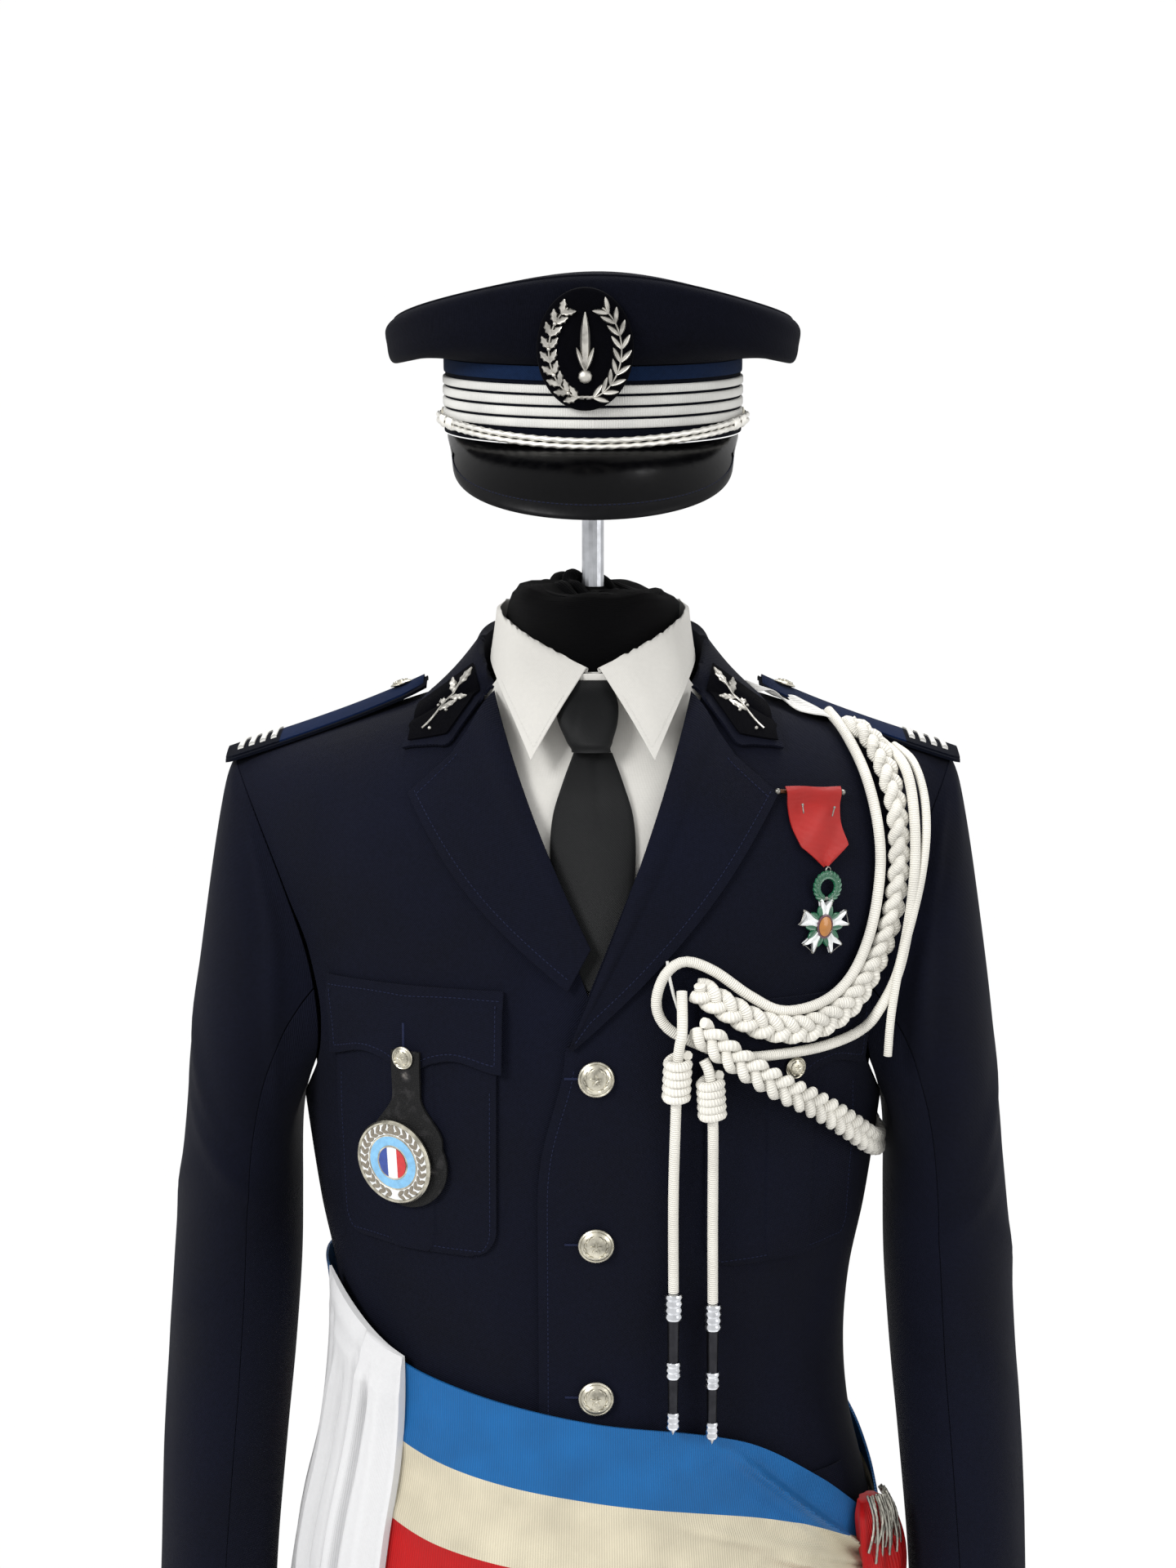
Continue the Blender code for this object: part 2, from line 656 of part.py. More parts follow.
SHIRT_EDGE = (
    Place(0.00, 0.0375, -0.1080, 1.4240),
    Place(0.12, 0.0440, -0.0950, 1.4380),
    Place(0.30, 0.0570, -0.0640, 1.4640),
    Place(0.50, 0.0650, -0.0100, 1.4800),
    Place(0.70, 0.0555, 0.0385, 1.4790),
    Place(0.85, 0.0315, 0.0580, 1.4760),
    Place(1.00, 0.0000, 0.0650, 1.4740),
)


def table_place(table, at):
    return Vector((curve(table, "x", at), curve(table, "y", at), curve(table, "z", at)))


def clear_of_torso(place, lift):
    """A point kept outside the tunic's front or back by a lift."""
    if place.z >= shoulder_height(place.x):
        return place
    side = -1 if place.y < 0 else 1
    surface = on_torso(place.x, place.z, side, lift)
    return surface if abs(place.y) < abs(surface.y) else place


def collar_place(at, share):
    """The collar's under face: share runs from the fold to the outer edge."""
    fold = table_place(COLLAR_FOLD, at)
    edge = table_place(COLLAR_EDGE, at)
    edge = shoulder_place(edge.x, edge.y, COLLAR_LIFT)
    place = fold.lerp(edge, share)
    # The end lies along the lapel's top edge as far as the notch
    bend = (1 - abs(2 * share - 1)) * (1 - smooth_step(at, 0.0, 0.14))
    place += Vector((-0.0015, 0.0, -0.0155)) * bend
    return clear_of_torso(place, COLLAR_LIFT)


def both_sides(stations, place_at):
    """Rows from the left end round the back to the right end."""
    left = [place_at(at) for at in stations]
    right = [[Vector((-p.x, p.y, p.z)) for p in row] for row in reversed(left[:-1])]
    return left + right


def thick(name, grid, thickness, colour):
    """A closed wall on one grid, thickened outward by Solidify."""
    rows, columns = len(grid), len(grid[0])
    faces = []
    for r in range(rows - 1):
        for c in range(columns - 1):
            a, b = r * columns + c, (r + 1) * columns + c
            faces.append((a, a + 1, b + 1, b))
    made = mesh_object(name, [p for row in grid for p in row], faces, colour)
    solidify = made.modifiers.new("Solidify", "SOLIDIFY")
    solidify.thickness = thickness
    solidify.offset = 1.0
    return made


def make_collar():
    stations = (0.0, 0.04, 0.08, 0.12, 0.17, 0.24, 0.35, 0.48, 0.62, 0.80, 1.0)

    def row(at):
        fold = table_place(COLLAR_FOLD, at)
        foot = fold.copy()
        foot.z = min(fold.z - 0.003, mix(fold.z - 0.003, COLLAR_FOOT, smooth_step(at, 0.10, 0.40)))
        return [foot] + [collar_place(at, share) for share in (0.0, 0.15, 0.35, 0.5, 0.75, 1.0)]

    thick("collar", both_sides(stations, row), COLLAR_WALL, "navy_cloth")


def make_shirt_collar():
    stations = (0.0, 0.06, 0.14, 0.24, 0.36, 0.50, 0.62, 0.75, 0.87, 1.0)

    def row(at):
        fold, edge = table_place(SHIRT_FOLD, at), table_place(SHIRT_EDGE, at)
        bulge = 0.0035 * (1 - smooth_step(at, 0.1, 0.4))
        out = Vector((edge.x, edge.y, 0.0)).normalized()
        fall = [fold.lerp(edge, s) + out * bulge * math.sin(math.pi * s) for s in (0.4, 0.75, 1)]
        foot = fold + Vector((0.0, 0.0, -0.004 - 0.022 * smooth_step(at, 0.05, 0.4)))
        return [foot, fold] + fall

    halves = both_sides(stations, row)
    thick("shirt_collar", halves, SHIRT_CLOTH, "shirt_cotton")


def shirt(x, z):
    """The shirt front, which comes in to the neck at its top."""
    flat = torso(x, z).y + 0.0095
    neck = -0.073 * math.sqrt(max(1 - (x / 0.085) ** 2, 0.0))
    return Vector((x, mix(flat, neck, smooth_step(z, 1.400, 1.475)), z))


def make_shirt_front():
    heights = (1.275, 1.32, 1.36, 1.395, 1.42, 1.44, 1.457)
    grids = []
    for depth in (0.0, SHIRT_CLOTH):
        grid = []
        for z in heights:
            half = mix(0.052, 0.062, smooth_step(z, 1.36, 1.42))
            grid.append([shirt(x, z) + Vector((0, depth, 0)) for x in spread(-half, half, 7)])
        grids.append(grid)
    wall("shirt_front", grids[0], grids[1], "shirt_cotton")


Knot = namedtuple("Knot", "z half_width middle half_depth shift")
TIE_KNOT = (
    Knot(1.4700, 0.0160, -0.0715, 0.0030, -0.008),
    Knot(1.4640, 0.0165, -0.0730, 0.0042, -0.008),
    Knot(1.4560, 0.0148, -0.0808, 0.0062, -0.006),
    Knot(1.4450, 0.0140, -0.0885, 0.0088, -0.004),
    Knot(1.4340, 0.0112, -0.0945, 0.0082, -0.002),
    Knot(1.4281, 0.0095, -0.0965, 0.0058, -0.001),
)
Blade = namedtuple("Blade", "at half_width")
TIE_BLADE = (
    Blade(1.285, 0.0215),
    Blade(1.320, 0.0235),
    Blade(1.365, 0.0265),
    Blade(1.390, 0.0250),
    Blade(1.410, 0.0180),
    Blade(1.4275, 0.0100),
)


def make_tie():
    rings = []
    for row in TIE_KNOT:
        ring = []
        for k in range(14):
            turn = 2 * math.pi * k / 14
            x = row.shift + row.half_width * math.sin(turn)
            ring.append(Vector((x, row.middle - row.half_depth * math.cos(turn), row.z)))
        rings.append(ring)
    loft("tie_knot", rings, "tie_cloth")
    grids = []
    for lift, crown in ((0.0038, 0.0012), (0.0006, 0.0)):
        grid = []
        for z in (1.285, 1.32, 1.345, 1.365, 1.385, 1.40, 1.415, 1.4275):
            half = curve(TIE_BLADE, "half_width", z)
            row = []
            for u in spread(-1, 1, 5):
                rise = lift + crown * (1 - u * u) + 0.002 * smooth_step(z, 1.39, 1.42)
                row.append(shirt(u * half, z) - Vector((0, rise, 0)))
            grid.append(row)
        grids.append(grid)
    wall("tie_blade", grids[0], grids[1], "tie_cloth")


def roll_point(t, left):
    """The roll line, from the break at 0 to the gorge at 1, as x and z."""
    start_x, start_z = (BREAK_X, BREAK_Z) if left else LAPEL_FOOT_INNER
    bow = 0.003 * math.sin(math.pi * t)
    return mix(start_x, GORGE_X, t) + bow, mix(start_z, GORGE_Z, t)


def lapel_edge(t, left):
    """The lapel's outer edge, from the break to its tip, as x and z."""
    start_x, start_z = (BREAK_X, BREAK_Z) if left else LAPEL_FOOT_OUTER
    bow = 0.010 * math.sin(math.pi * t)
    return mix(start_x, LAPEL_TIP_X, t) + bow, mix(start_z, LAPEL_TIP_Z, t) - bow * 0.3


def lapel_place(s, t, left):
    """A point of the lapel as x and z: s runs from the roll line out, t from the break up."""
    roll_x, roll_z = roll_point(t, left)
    edge_x, edge_z = lapel_edge(t, left)
    bend = (1 - abs(2 * s - 1)) * t**8
    return mix(roll_x, edge_x, s), mix(roll_z, edge_z, s) - 0.0075 * bend


def make_lapel(left):
    def high(s, t):
        roll = math.sin(math.pi * min(s / 0.30, 1.0)) * 0.0022 * min(t * 4, 1.0)
        return LAYER_GAP + 0.0026 + roll

    patch(
        "lapel_left" if left else "lapel_right",
        lambda s, t: lapel_place(s, t, left),
        (0.0, 0.06, 0.16, 0.30, 0.5, 0.75, 1.0),
        spread(0.03, 0.985, 11),
        lambda s, t: LAYER_GAP + 0.0010 * t * t,
        high,
        "navy_cloth",
        left,
    )


def make_collar_patches():
    """The two velvet patches, on the collar's outer face behind its front ends."""
    for left in (True, False):
        inner, outer = [], []
        for s in (0.12, 0.4, 0.68, 0.93):
            low_row, high_row = [], []
            for at in spread(0.0, 0.13, 4):
                at += 0.018 + 0.03 * (1 - s)
                base = collar_place(at, s)
                along = collar_place(at + 0.02, s) - collar_place(at - 0.015, s)
                across = collar_place(at, s + 0.03) - collar_place(at, s - 0.03)
                normal = along.cross(across).normalized()
                normal = normal if normal.y < 0 else -normal
                low_row.append(base + normal * (COLLAR_WALL + 0.0012))
                high_row.append(base + normal * (COLLAR_WALL + 0.0024))
            inner.append(low_row)
            outer.append(high_row)
        name = "collar_patch_left" if left else "collar_patch_right"
        wall(name, mirrored(outer, left), mirrored(inner, left), "black_cloth")


# Pockets and epaulettes
def pocket_middle(left):
    return POCKET_LEFT_X if left else POCKET_RIGHT_X


def make_pocket(left):
    """A chest pocket with round lower corners and a box pleat down its middle."""
    middle, top, bottom = pocket_middle(left), FLAP_TOP - 0.018 - 0.008 * left, 1.115 - 0.008 * left

    def place(u, v):
        z = mix(top, bottom, v)
        corner = max(0.0, (bottom + 0.018 - z) / 0.018)
        pull = POCKET_HALF_WIDTH - 0.018 * (1 - math.sqrt(max(1 - corner**2, 0.0)))
        return walk(middle, z, u * pull), z

    def high(u, v):
        return POCKET_LIFT + CLOTH + (0.0008 if abs(u) < PLEAT_SHARE else 0.0)

    patch(
        "pocket_left" if left else "pocket_right",
        place,
        (-1.0, -0.66, -0.32, -0.28, 0.0, 0.28, 0.32, 0.66, 1.0),
        (0.0, 0.30, 0.60, 0.88, 0.93, 0.975, 1.0),
        lambda u, v: POCKET_LIFT,
        high,
        "navy_cloth",
        left,
    )


def make_pocket_flap(left):
    """A flap with a brace-shaped lower edge, its point under the button."""
    middle, top = pocket_middle(left), FLAP_TOP - 0.008 * left

    def place(u, v):
        wave = -0.0065 * math.sin(math.pi * abs(u)) ** 2 + 0.004 * max(0.0, 1 - abs(u) / 0.25)
        length = 0.051 + wave
        z = top - length * v
        return walk(middle, z, u * FLAP_HALF_WIDTH), z

    def low(u, v):
        return mix(POCKET_LIFT, FLAP_LIFT, smooth_step(v, 0.0, 0.33))

    patch(
        "pocket_flap_left" if left else "pocket_flap_right",
        place,
        (-1.0, -0.75, -0.5, -0.25, -0.1, 0.0, 0.1, 0.25, 0.5, 0.75, 1.0),
        (0.0, 0.12, 0.33, 0.66, 1.0),
        low,
        lambda u, v: low(u, v) + CLOTH,
        "navy_cloth",
        left,
    )


def make_lower_flap(left):
    """A plain flap at hip height, mostly under the sash."""

    def place(u, v):
        z = 0.957 - 0.006 * u - 0.052 * v
        return walk(0.112, z, u * 0.066), z

    patch(
        "lower_flap_left" if left else "lower_flap_right",
        place,
        spread(-1, 1, 9),
        (0.0, 0.33, 0.66, 1.0),
        lambda u, v: 0.0014,
        lambda u, v: 0.0014 + CLOTH,
        "navy_cloth",
        left,
    )


def epaulette_place(along, across, lift):
    """A point of the epaulette: along runs from its neck end to the sleeve."""
    x = mix(EPAULETTE_START, EPAULETTE_STOP, along)
    half = mix(0.0195, 0.0260, along)
    # The neck end is cut to a point
    half *= 1 - 0.55 * max(0.0, 1 - along / 0.10)
    z = shoulder_height(x) + lift - 0.0014 * across**2
    return Vector((x, half * across + EPAULETTE_Y, z))


def make_epaulette(left):
    """The board, with its rank bars raised on it near the sleeve."""
    across = (-1.0, -0.50, -0.45, 0.45, 0.50, 1.0)
    along = [0.0, 0.10, 0.45]
    for bar in RANK_BARS:
        along += [bar - 0.015, bar - 0.010, bar + 0.010, bar + 0.015]
    along.append(1.0)

    def height(s, t):
        raised = any(abs(s - bar) < 0.012 for bar in RANK_BARS) and abs(t) < 0.47
        return EPAULETTE_WALL + (0.0008 if raised else 0.0)

    outer = [[epaulette_place(s, t, height(s, t)) for t in across] for s in along]
    inner = [[epaulette_place(s, t, EPAULETTE_LIFT) for t in across] for s in along]
    name = "epaulette_left" if left else "epaulette_right"
    wall(name, mirrored(outer, left), mirrored(inner, left), "blue_cloth")


# Buttons
def button(name, place, normal, radius):
    """A domed metal button on a short foot, standing on a place."""
    dome = [(0.0, 0.46), (0.45, 0.42), (0.80, 0.30), (0.98, 0.16), (1.0, 0.06), (0.72, 0.0)]
    profile = [(r * radius, h * radius) for r, h in dome] + [(0.0, 0.0)]
    return stand_on(turned(name, profile, "silver_metal", 12), place, normal)


def make_buttons():
    for i, (z, lift) in enumerate(FRONT_BUTTONS):
        place = on_torso(FRONT_BUTTON_X, z, -1, lift)
        normal = on_torso(FRONT_BUTTON_X, z, -1, 1.0) - place
        button(f"front_button_{i + 1}", place, normal, FRONT_BUTTON_RADIUS)
    for left in (True, False):
        side = "left" if left else "right"
        x = pocket_middle(left) * (1 if left else -1)
        z = FLAP_TOP - 0.044 - 0.008 * left
        lift = FLAP_LIFT + CLOTH + (0.0008 if left else FOB_WALL + 0.0012)
        place = on_torso(x, z, -1, lift)
        normal = on_torso(x, z, -1, 1.0) - place
        button(f"pocket_button_{side}", place, normal, SMALL_BUTTON_RADIUS)
        place = epaulette_place(0.13, 0.0, EPAULETTE_WALL + LAYER_GAP)
        normal = Vector((SHOULDER_SLOPE, 0.0, 1.0))
        if not left:
            place.x, normal.x = -place.x, -normal.x
        button(f"epaulette_button_{side}", place, normal, SMALL_BUTTON_RADIUS)


# Sash and gloves
Stripe = namedtuple("Stripe", "at top bottom")
SASH = (
    Stripe(-105, 1.0790, 0.944),
    Stripe(-90, 1.0775, 0.934),
    Stripe(-73, 1.0700, 0.920),
    Stripe(-47, 1.0377, 0.888),
    Stripe(-30, 1.0255, 0.870),
    Stripe(0, 1.0085, 0.858),
    Stripe(22, 0.9980, 0.846),
    Stripe(37, 0.9832, 0.842),
    Stripe(54, 0.9505, 0.846),
    Stripe(68, 0.9180, 0.852),
    Stripe(78, 0.9040, 0.864),
    Stripe(88, 0.9180, 0.862),
    Stripe(100, 0.9520, 0.856),
    Stripe(125, 0.9900, 0.858),
    Stripe(180, 1.0300, 0.885),
    Stripe(225, 1.0600, 0.922),
    Stripe(255, 1.0790, 0.944),
)
SASH_ROWS = 4          # the three stripes lie between them
SASH_STEPS = 40


def sash_place(angle, share, lift):
    z = mix(curve(SASH, "top", angle), curve(SASH, "bottom", angle), share)
    return around(angle, z, lift)


def make_sash():
    angles = [-105 + 360 * k / SASH_STEPS for k in range(SASH_STEPS)]
    shares = spread(0, 1, SASH_ROWS)
    outer = [[sash_place(a, s, SASH_LIFT + SASH_CLOTH) for a in angles] for s in shares]
    inner = [[sash_place(a, s, SASH_LIFT) for a in angles] for s in shares]
    wall("sash_band", outer, inner, "sash_silk", wrap=True)


Bulge = namedtuple("Bulge", "at half_width half_depth shift")
SASH_KNOT = (
    Bulge(0.926, 0.010, 0.005, 0.000),
    Bulge(0.918, 0.020, 0.008, 0.000),
    Bulge(0.900, 0.026, 0.0095, 0.000),
    Bulge(0.882, 0.026, 0.0095, 0.000),
    Bulge(0.864, 0.020, 0.008, 0.000),
    Bulge(0.854, 0.013, 0.005, 0.000),
)
SASH_TAIL = (
    Bulge(0.8535, 0.012, 0.0045, 0.000),
    Bulge(0.835, 0.020, 0.0050, 0.000),
    Bulge(0.790, 0.027, 0.0050, 0.000),
    Bulge(0.740, 0.034, 0.0055, 0.001),
    Bulge(0.690, 0.040, 0.0055, 0.002),
    Bulge(0.650, 0.042, 0.0050, 0.002),
)


def hip_frame(z, lift):
    """A place beside the hip where the sash is tied, with its outward and sideways directions."""
    place = around(HIP_ANGLE, max(z, HEM_HEIGHT), lift)
    place.z = z
    out = around(HIP_ANGLE, z, 1.0) - around(HIP_ANGLE, z, 0.0)
    return place, out, Vector((0, 0, 1)).cross(out).normalized()


def hip_rings(table, lift, folds, sides):
    """Sections of a bunch of silk at the hip, with a few round folds."""
    rings = []
    for row in table:
        place, out, across = hip_frame(row.at, lift + row.half_depth + row.shift)
        ring = []
        for k in range(sides):
            turn = 2 * math.pi * k / sides
            fold = 1 + 0.18 * math.cos(folds * turn) * min(row.half_width / 0.02, 1.0)
            width = row.half_width * math.cos(turn)
            ring.append(place + across * width + out * row.half_depth * fold * math.sin(turn))
        rings.append(ring)
    return rings


def make_sash_end():
    """The knot at the hip, the hanging end and its bullion fringe."""
    lift = SASH_LIFT + SASH_CLOTH + LAYER_GAP
    loft("sash_knot", hip_rings(SASH_KNOT, lift, 6, 18), "sash_silk")
    loft("sash_tail", hip_rings(SASH_TAIL, lift, 6, 18), "sash_silk")
    make_fringe(lift + 0.0075)


FRINGE_TOP, FRINGE_BOTTOM = 0.6495, 0.575
FRINGE_HALF_WIDTH = 0.040
FRINGE_ROWS, FRINGE_STRANDS = 2, 18
FRINGE_ROW_GAP = 0.0040
FRINGE_STRIP = Vector((0.082, 0.0084, 0.006))
STRAND_ROOT, STRAND_TIP = 0.0011, 0.0008


def make_fringe(lift):
    """Two rows of bullion strands whose roots are fused in a narrow strip."""
    place, out, across = hip_frame(FRINGE_TOP, lift)
    frame = Matrix((across, out, Vector((0, 0, 1)))).transposed().to_4x4()
    strip, strands = bmesh.new(), bmesh.new()
    box = Matrix.Translation(place - Vector((0, 0, FRINGE_STRIP.z / 2))) @ frame
    bmesh.ops.create_cube(strip, size=1.0, matrix=box @ Matrix.Diagonal(FRINGE_STRIP).to_4x4())
    length = FRINGE_TOP - FRINGE_BOTTOM - FRINGE_STRIP.z / 2
    for row in range(FRINGE_ROWS):
        for k in range(FRINGE_STRANDS):
            at = (k + 0.5 * row + 0.25) / FRINGE_STRANDS
            root = place + across * mix(-FRINGE_HALF_WIDTH, FRINGE_HALF_WIDTH, at)
            root += out * (row - 0.5) * FRINGE_ROW_GAP
            middle = root - Vector((0, 0, FRINGE_STRIP.z / 2 + length / 2))
            bmesh.ops.create_cone(
                strands, cap_ends=True, segments=3, radius1=STRAND_TIP, radius2=STRAND_ROOT,
                depth=length, matrix=Matrix.Translation(middle) @ frame,
            )
    made = bmesh_object("sash_fringe", strip, UNIFORM)
    made.data.materials.append(material("bullion"))
    join(made, bmesh_object("sash_fringe_strands", strands, HELPERS))


def bmesh_object(name, shape, home):
    """An object of a collection from a finished bmesh, which is freed."""
    bmesh.ops.recalc_face_normals(shape, faces=shape.faces)
    mesh = bpy.data.meshes.new(name)
    shape.to_mesh(mesh)
    shape.free()
    made = bpy.data.objects.new(name, mesh)
    home.objects.link(made)
    return made


def join(made, helper):
    """Adds a helper's body to an object by a boolean union."""
    helper.hide_render = True
    helper.display_type = "WIRE"
    union = made.modifiers.new("Join", "BOOLEAN")
    union.operation = "UNION"
    union.object = helper


def make_gloves():
    """A pair of gloves folded over the sash, fingers down."""

    def surface(u, v, height):
        angle = mix(-74, -43, u)
        top = curve(SASH, "top", angle) + 0.006
        tips = 0.800 + 0.010 * abs(2 * u - 1.1) + 0.004 * math.cos(8 * math.pi * u)
        z = mix(top, tips, v)
        groove = 1 - 0.55 * smooth_step(v, 0.66, 0.80) * (0.5 + 0.5 * math.cos(8 * math.pi * u))
        ease = min(1.0, 0.35 + 6 * v) * min(1.0, 0.4 + 8 * (1 - v))
        side = math.sin(math.pi * min(max(u, 0.03), 0.97)) ** 0.4
        return around(angle, z, GLOVE_LIFT + height * groove * ease * side)

    across, down = spread(0, 1, 13), (0.0, 0.04, 0.20, 0.45, 0.66, 0.80, 0.95, 1.0)
    outer = [[surface(u, v, 0.0115) for u in across] for v in down]
    inner = [[surface(u, v, 0.0) for u in across] for v in down]
    wall("gloves", outer, inner, "glove_cotton")


# The shoulder cord
Route = namedtuple("Route", "x z lift")
CORD_LOOP = (
    Route(0.1400, 1.4400, 0.0050),
    Route(0.1530, 1.4265, 0.0050),
    Route(0.1650, 1.4050, 0.0050),
    Route(0.1715, 1.3790, 0.0050),
    Route(0.1725, 1.3500, 0.0050),
    Route(0.1660, 1.3150, 0.0060),
    Route(0.1530, 1.2890, 0.0080),
    Route(0.1350, 1.2760, 0.0095),
    Route(0.1115, 1.2740, 0.0095),
    Route(0.0930, 1.2840, 0.0090),
    Route(0.0712, 1.2990, 0.0070),
    Route(0.0538, 1.3045, 0.0070),
    Route(0.0420, 1.2960, 0.0070),
    Route(0.0375, 1.2790, 0.0060),
    Route(0.0440, 1.2650, 0.0060),
    Route(0.0600, 1.2555, 0.0085),
    Route(0.0840, 1.2460, 0.0100),
    Route(0.1130, 1.2450, 0.0100),
    Route(0.1390, 1.2465, 0.0100),
    Route(0.1600, 1.2520, 0.0110),
)
# The loop's last stretch, over the front of the sleeve and back under the epaulette
CORD_LOOP_END = (
    (0.1800, -0.0860, 1.2640),
    (0.1965, -0.0780, 1.2907),
    (0.2055, -0.0740, 1.3393),
    (0.2075, -0.0660, 1.3813),
    (0.2030, -0.0500, 1.4110),
    (0.1920, -0.0290, 1.4300),
)
PLAIT_UPPER = (
    Route(0.1600, 1.4315, 0.0080),
    Route(0.1745, 1.4190, 0.0080),
    Route(0.1830, 1.3930, 0.0080),
    Route(0.1855, 1.3570, 0.0080),
    Route(0.1810, 1.3230, 0.0080),
    Route(0.1690, 1.2940, 0.0090),
    Route(0.1500, 1.2715, 0.0120),
    Route(0.1265, 1.2600, 0.0125),
    Route(0.1000, 1.2640, 0.0125),
    Route(0.0790, 1.2760, 0.0115),
    Route(0.0610, 1.2885, 0.0090),
)
PLAIT_LOWER = (
    Route(0.0590, 1.2660, 0.0180),
    Route(0.0790, 1.2480, 0.0200),
    Route(0.1040, 1.2290, 0.0200),
    Route(0.1290, 1.2120, 0.0160),
    Route(0.1520, 1.1930, 0.0115),
    Route(0.1690, 1.1760, 0.0085),
)
# Under the arm and up the back of the shoulder, as angle round the torso or x, and height
PLAIT_UNDER = ((72, 1.1660, 0.0056), (84, 1.1590, 0.0042), (96, 1.1590, 0.0042), (108, 1.1680, 0.0056))
PLAIT_BACK = (
    Route(0.1700, 1.1860, 0.0080),
    Route(0.1640, 1.2300, 0.0080),
    Route(0.1680, 1.2900, 0.0080),
    Route(0.1740, 1.3500, 0.0080),
    Route(0.1740, 1.4000, 0.0080),
    Route(0.1640, 1.4300, 0.0080),
)
PENDANT_CORDS = (
    (
        Route(0.0516, 1.2875, 0.0115),
        Route(0.0503, 1.2660, 0.0190),
        Route(0.0488, 1.2540, 0.0175),
        Route(0.0483, 1.2360, 0.0120),
        Route(0.0484, 1.2200, 0.0110),
        Route(0.0480, 1.1600, 0.0070),
        Route(0.0484, 1.0965, 0.0075),
    ),
    (
        Route(0.0635, 1.2465, 0.0150),
        Route(0.0660, 1.2400, 0.0165),
        Route(0.0672, 1.2300, 0.0170),
        Route(0.0674, 1.2180, 0.0165),
        Route(0.0690, 1.2030, 0.0150),
        Route(0.0712, 1.1400, 0.0090),
        Route(0.0720, 1.0875, 0.0085),
    ),
)
KNOT_SPANS = ((1.2225, 1.2505), (1.2090, 1.2360))


def route_points(table, side=-1):
    return [on_torso(row.x, row.z, side, row.lift) for row in table]


def lean(place):
    """Outward from the body's axis, for a flat cord's broad side."""
    out = Vector((place.x * 0.55, place.y * 1.0, 0.0))
    out.z = 0.35 * smooth_step(place.z, 1.38, 1.44)
    return out.normalized()


def make_plait(name, points, flat_at_side=False):
    """A three-strand plait; flat_at_side presses it flat where it passes between arm and body."""
    route = smooth_route(points, 0.0155)

    def bump(i):
        return 1 + 0.07 * math.cos(i * math.pi)

    def squeeze(i):
        if not flat_at_side:
            return 1.0
        return mix(0.47, 1.0, smooth_step(abs(route[i].y - 0.008), 0.045, 0.085))

    tube(
        name,
        route,
        lambda i: BRAID_HALF_WIDTH * bump(i),
        lambda i: BRAID_HALF_THICKNESS * squeeze(i),
        lean,
        "white_cord",
    )


def make_shoulder_cord():
    loop = route_points(CORD_LOOP) + [Vector(place) for place in CORD_LOOP_END]
    cord("cord_loop", loop, CORD_RADIUS, "white_cord")
    make_plait("plait_upper", route_points(PLAIT_UPPER))
    lower = route_points(PLAIT_LOWER) + [around(*stop) for stop in PLAIT_UNDER]
    make_plait("plait_lower", lower + route_points(PLAIT_BACK, 1), flat_at_side=True)
    for number, (table, span) in enumerate(zip(PENDANT_CORDS, KNOT_SPANS), 1):
        route = smooth_route(route_points(table), 0.0055)
        kept = [p for i, p in enumerate(route) if p.z > span[0] - 0.008 or i % 3 == 0]
        kept[-1] = route[-1]

        def radius(i, kept=kept, span=span):
            inside = span[0] < kept[i].z < span[1]
            return (0.0090 if i % 2 else 0.0082) if inside else CORD_RADIUS

        tube(f"pendant_cord_{number}", kept, radius, radius, lean, "white_cord")
        make_ferrule(number, route[-1])


def make_ferrule(number, top):
    """A metal end with knurled rings at its top, middle and tip."""
    profile = [
        (0.0, 0.0), (0.0050, 0.0), (0.0058, -0.003), (0.0058, -0.014), (0.0046, -0.016),
        (0.0038, -0.018), (0.0034, -0.044), (0.0050, -0.046), (0.0050, -0.053),
        (0.0032, -0.055), (0.0030, -0.077), (0.0042, -0.079), (0.0042, -0.086),
        (0.0018, -0.088), (0.0, -0.092),
    ]
    ferrule = turned(f"ferrule_{number}", profile, "steel", 8)
    ferrule.location = top + Vector((0, 0, -FERRULE_GAP))


# Medal and fob
def make_medal():
    bar_places = ((0.1130, 1.4045), (0.1340, 1.4030), (0.1545, 1.4015))
    bar = [on_torso(x, z, -1, 0.0030) for x, z in bar_places]
    cord("medal_bar", bar, 0.0016, "silver_metal", 0.008)

    def place(u, v):
        x_left = mix(0.1165, 0.1250, min(v / 0.68, 1.0))
        x_right = mix(0.1530, 0.1560, min(v / 0.68, 1.0))
        close = max(0.0, (v - 0.68) / 0.32)
        x = mix(mix(x_left, x_right, u), 0.1427, 0.90 * close)
        return x, 1.4000 - 0.0433 * v

    patch(
        "medal_ribbon", place, spread(0, 1, 4), (0.0, 0.35, 0.68, 0.84, 1.0),
        lambda u, v: 0.0006 + 0.0026 * v, lambda u, v: 0.0018 + 0.0026 * v, "red_ribbon",
    )
    make_pendant()


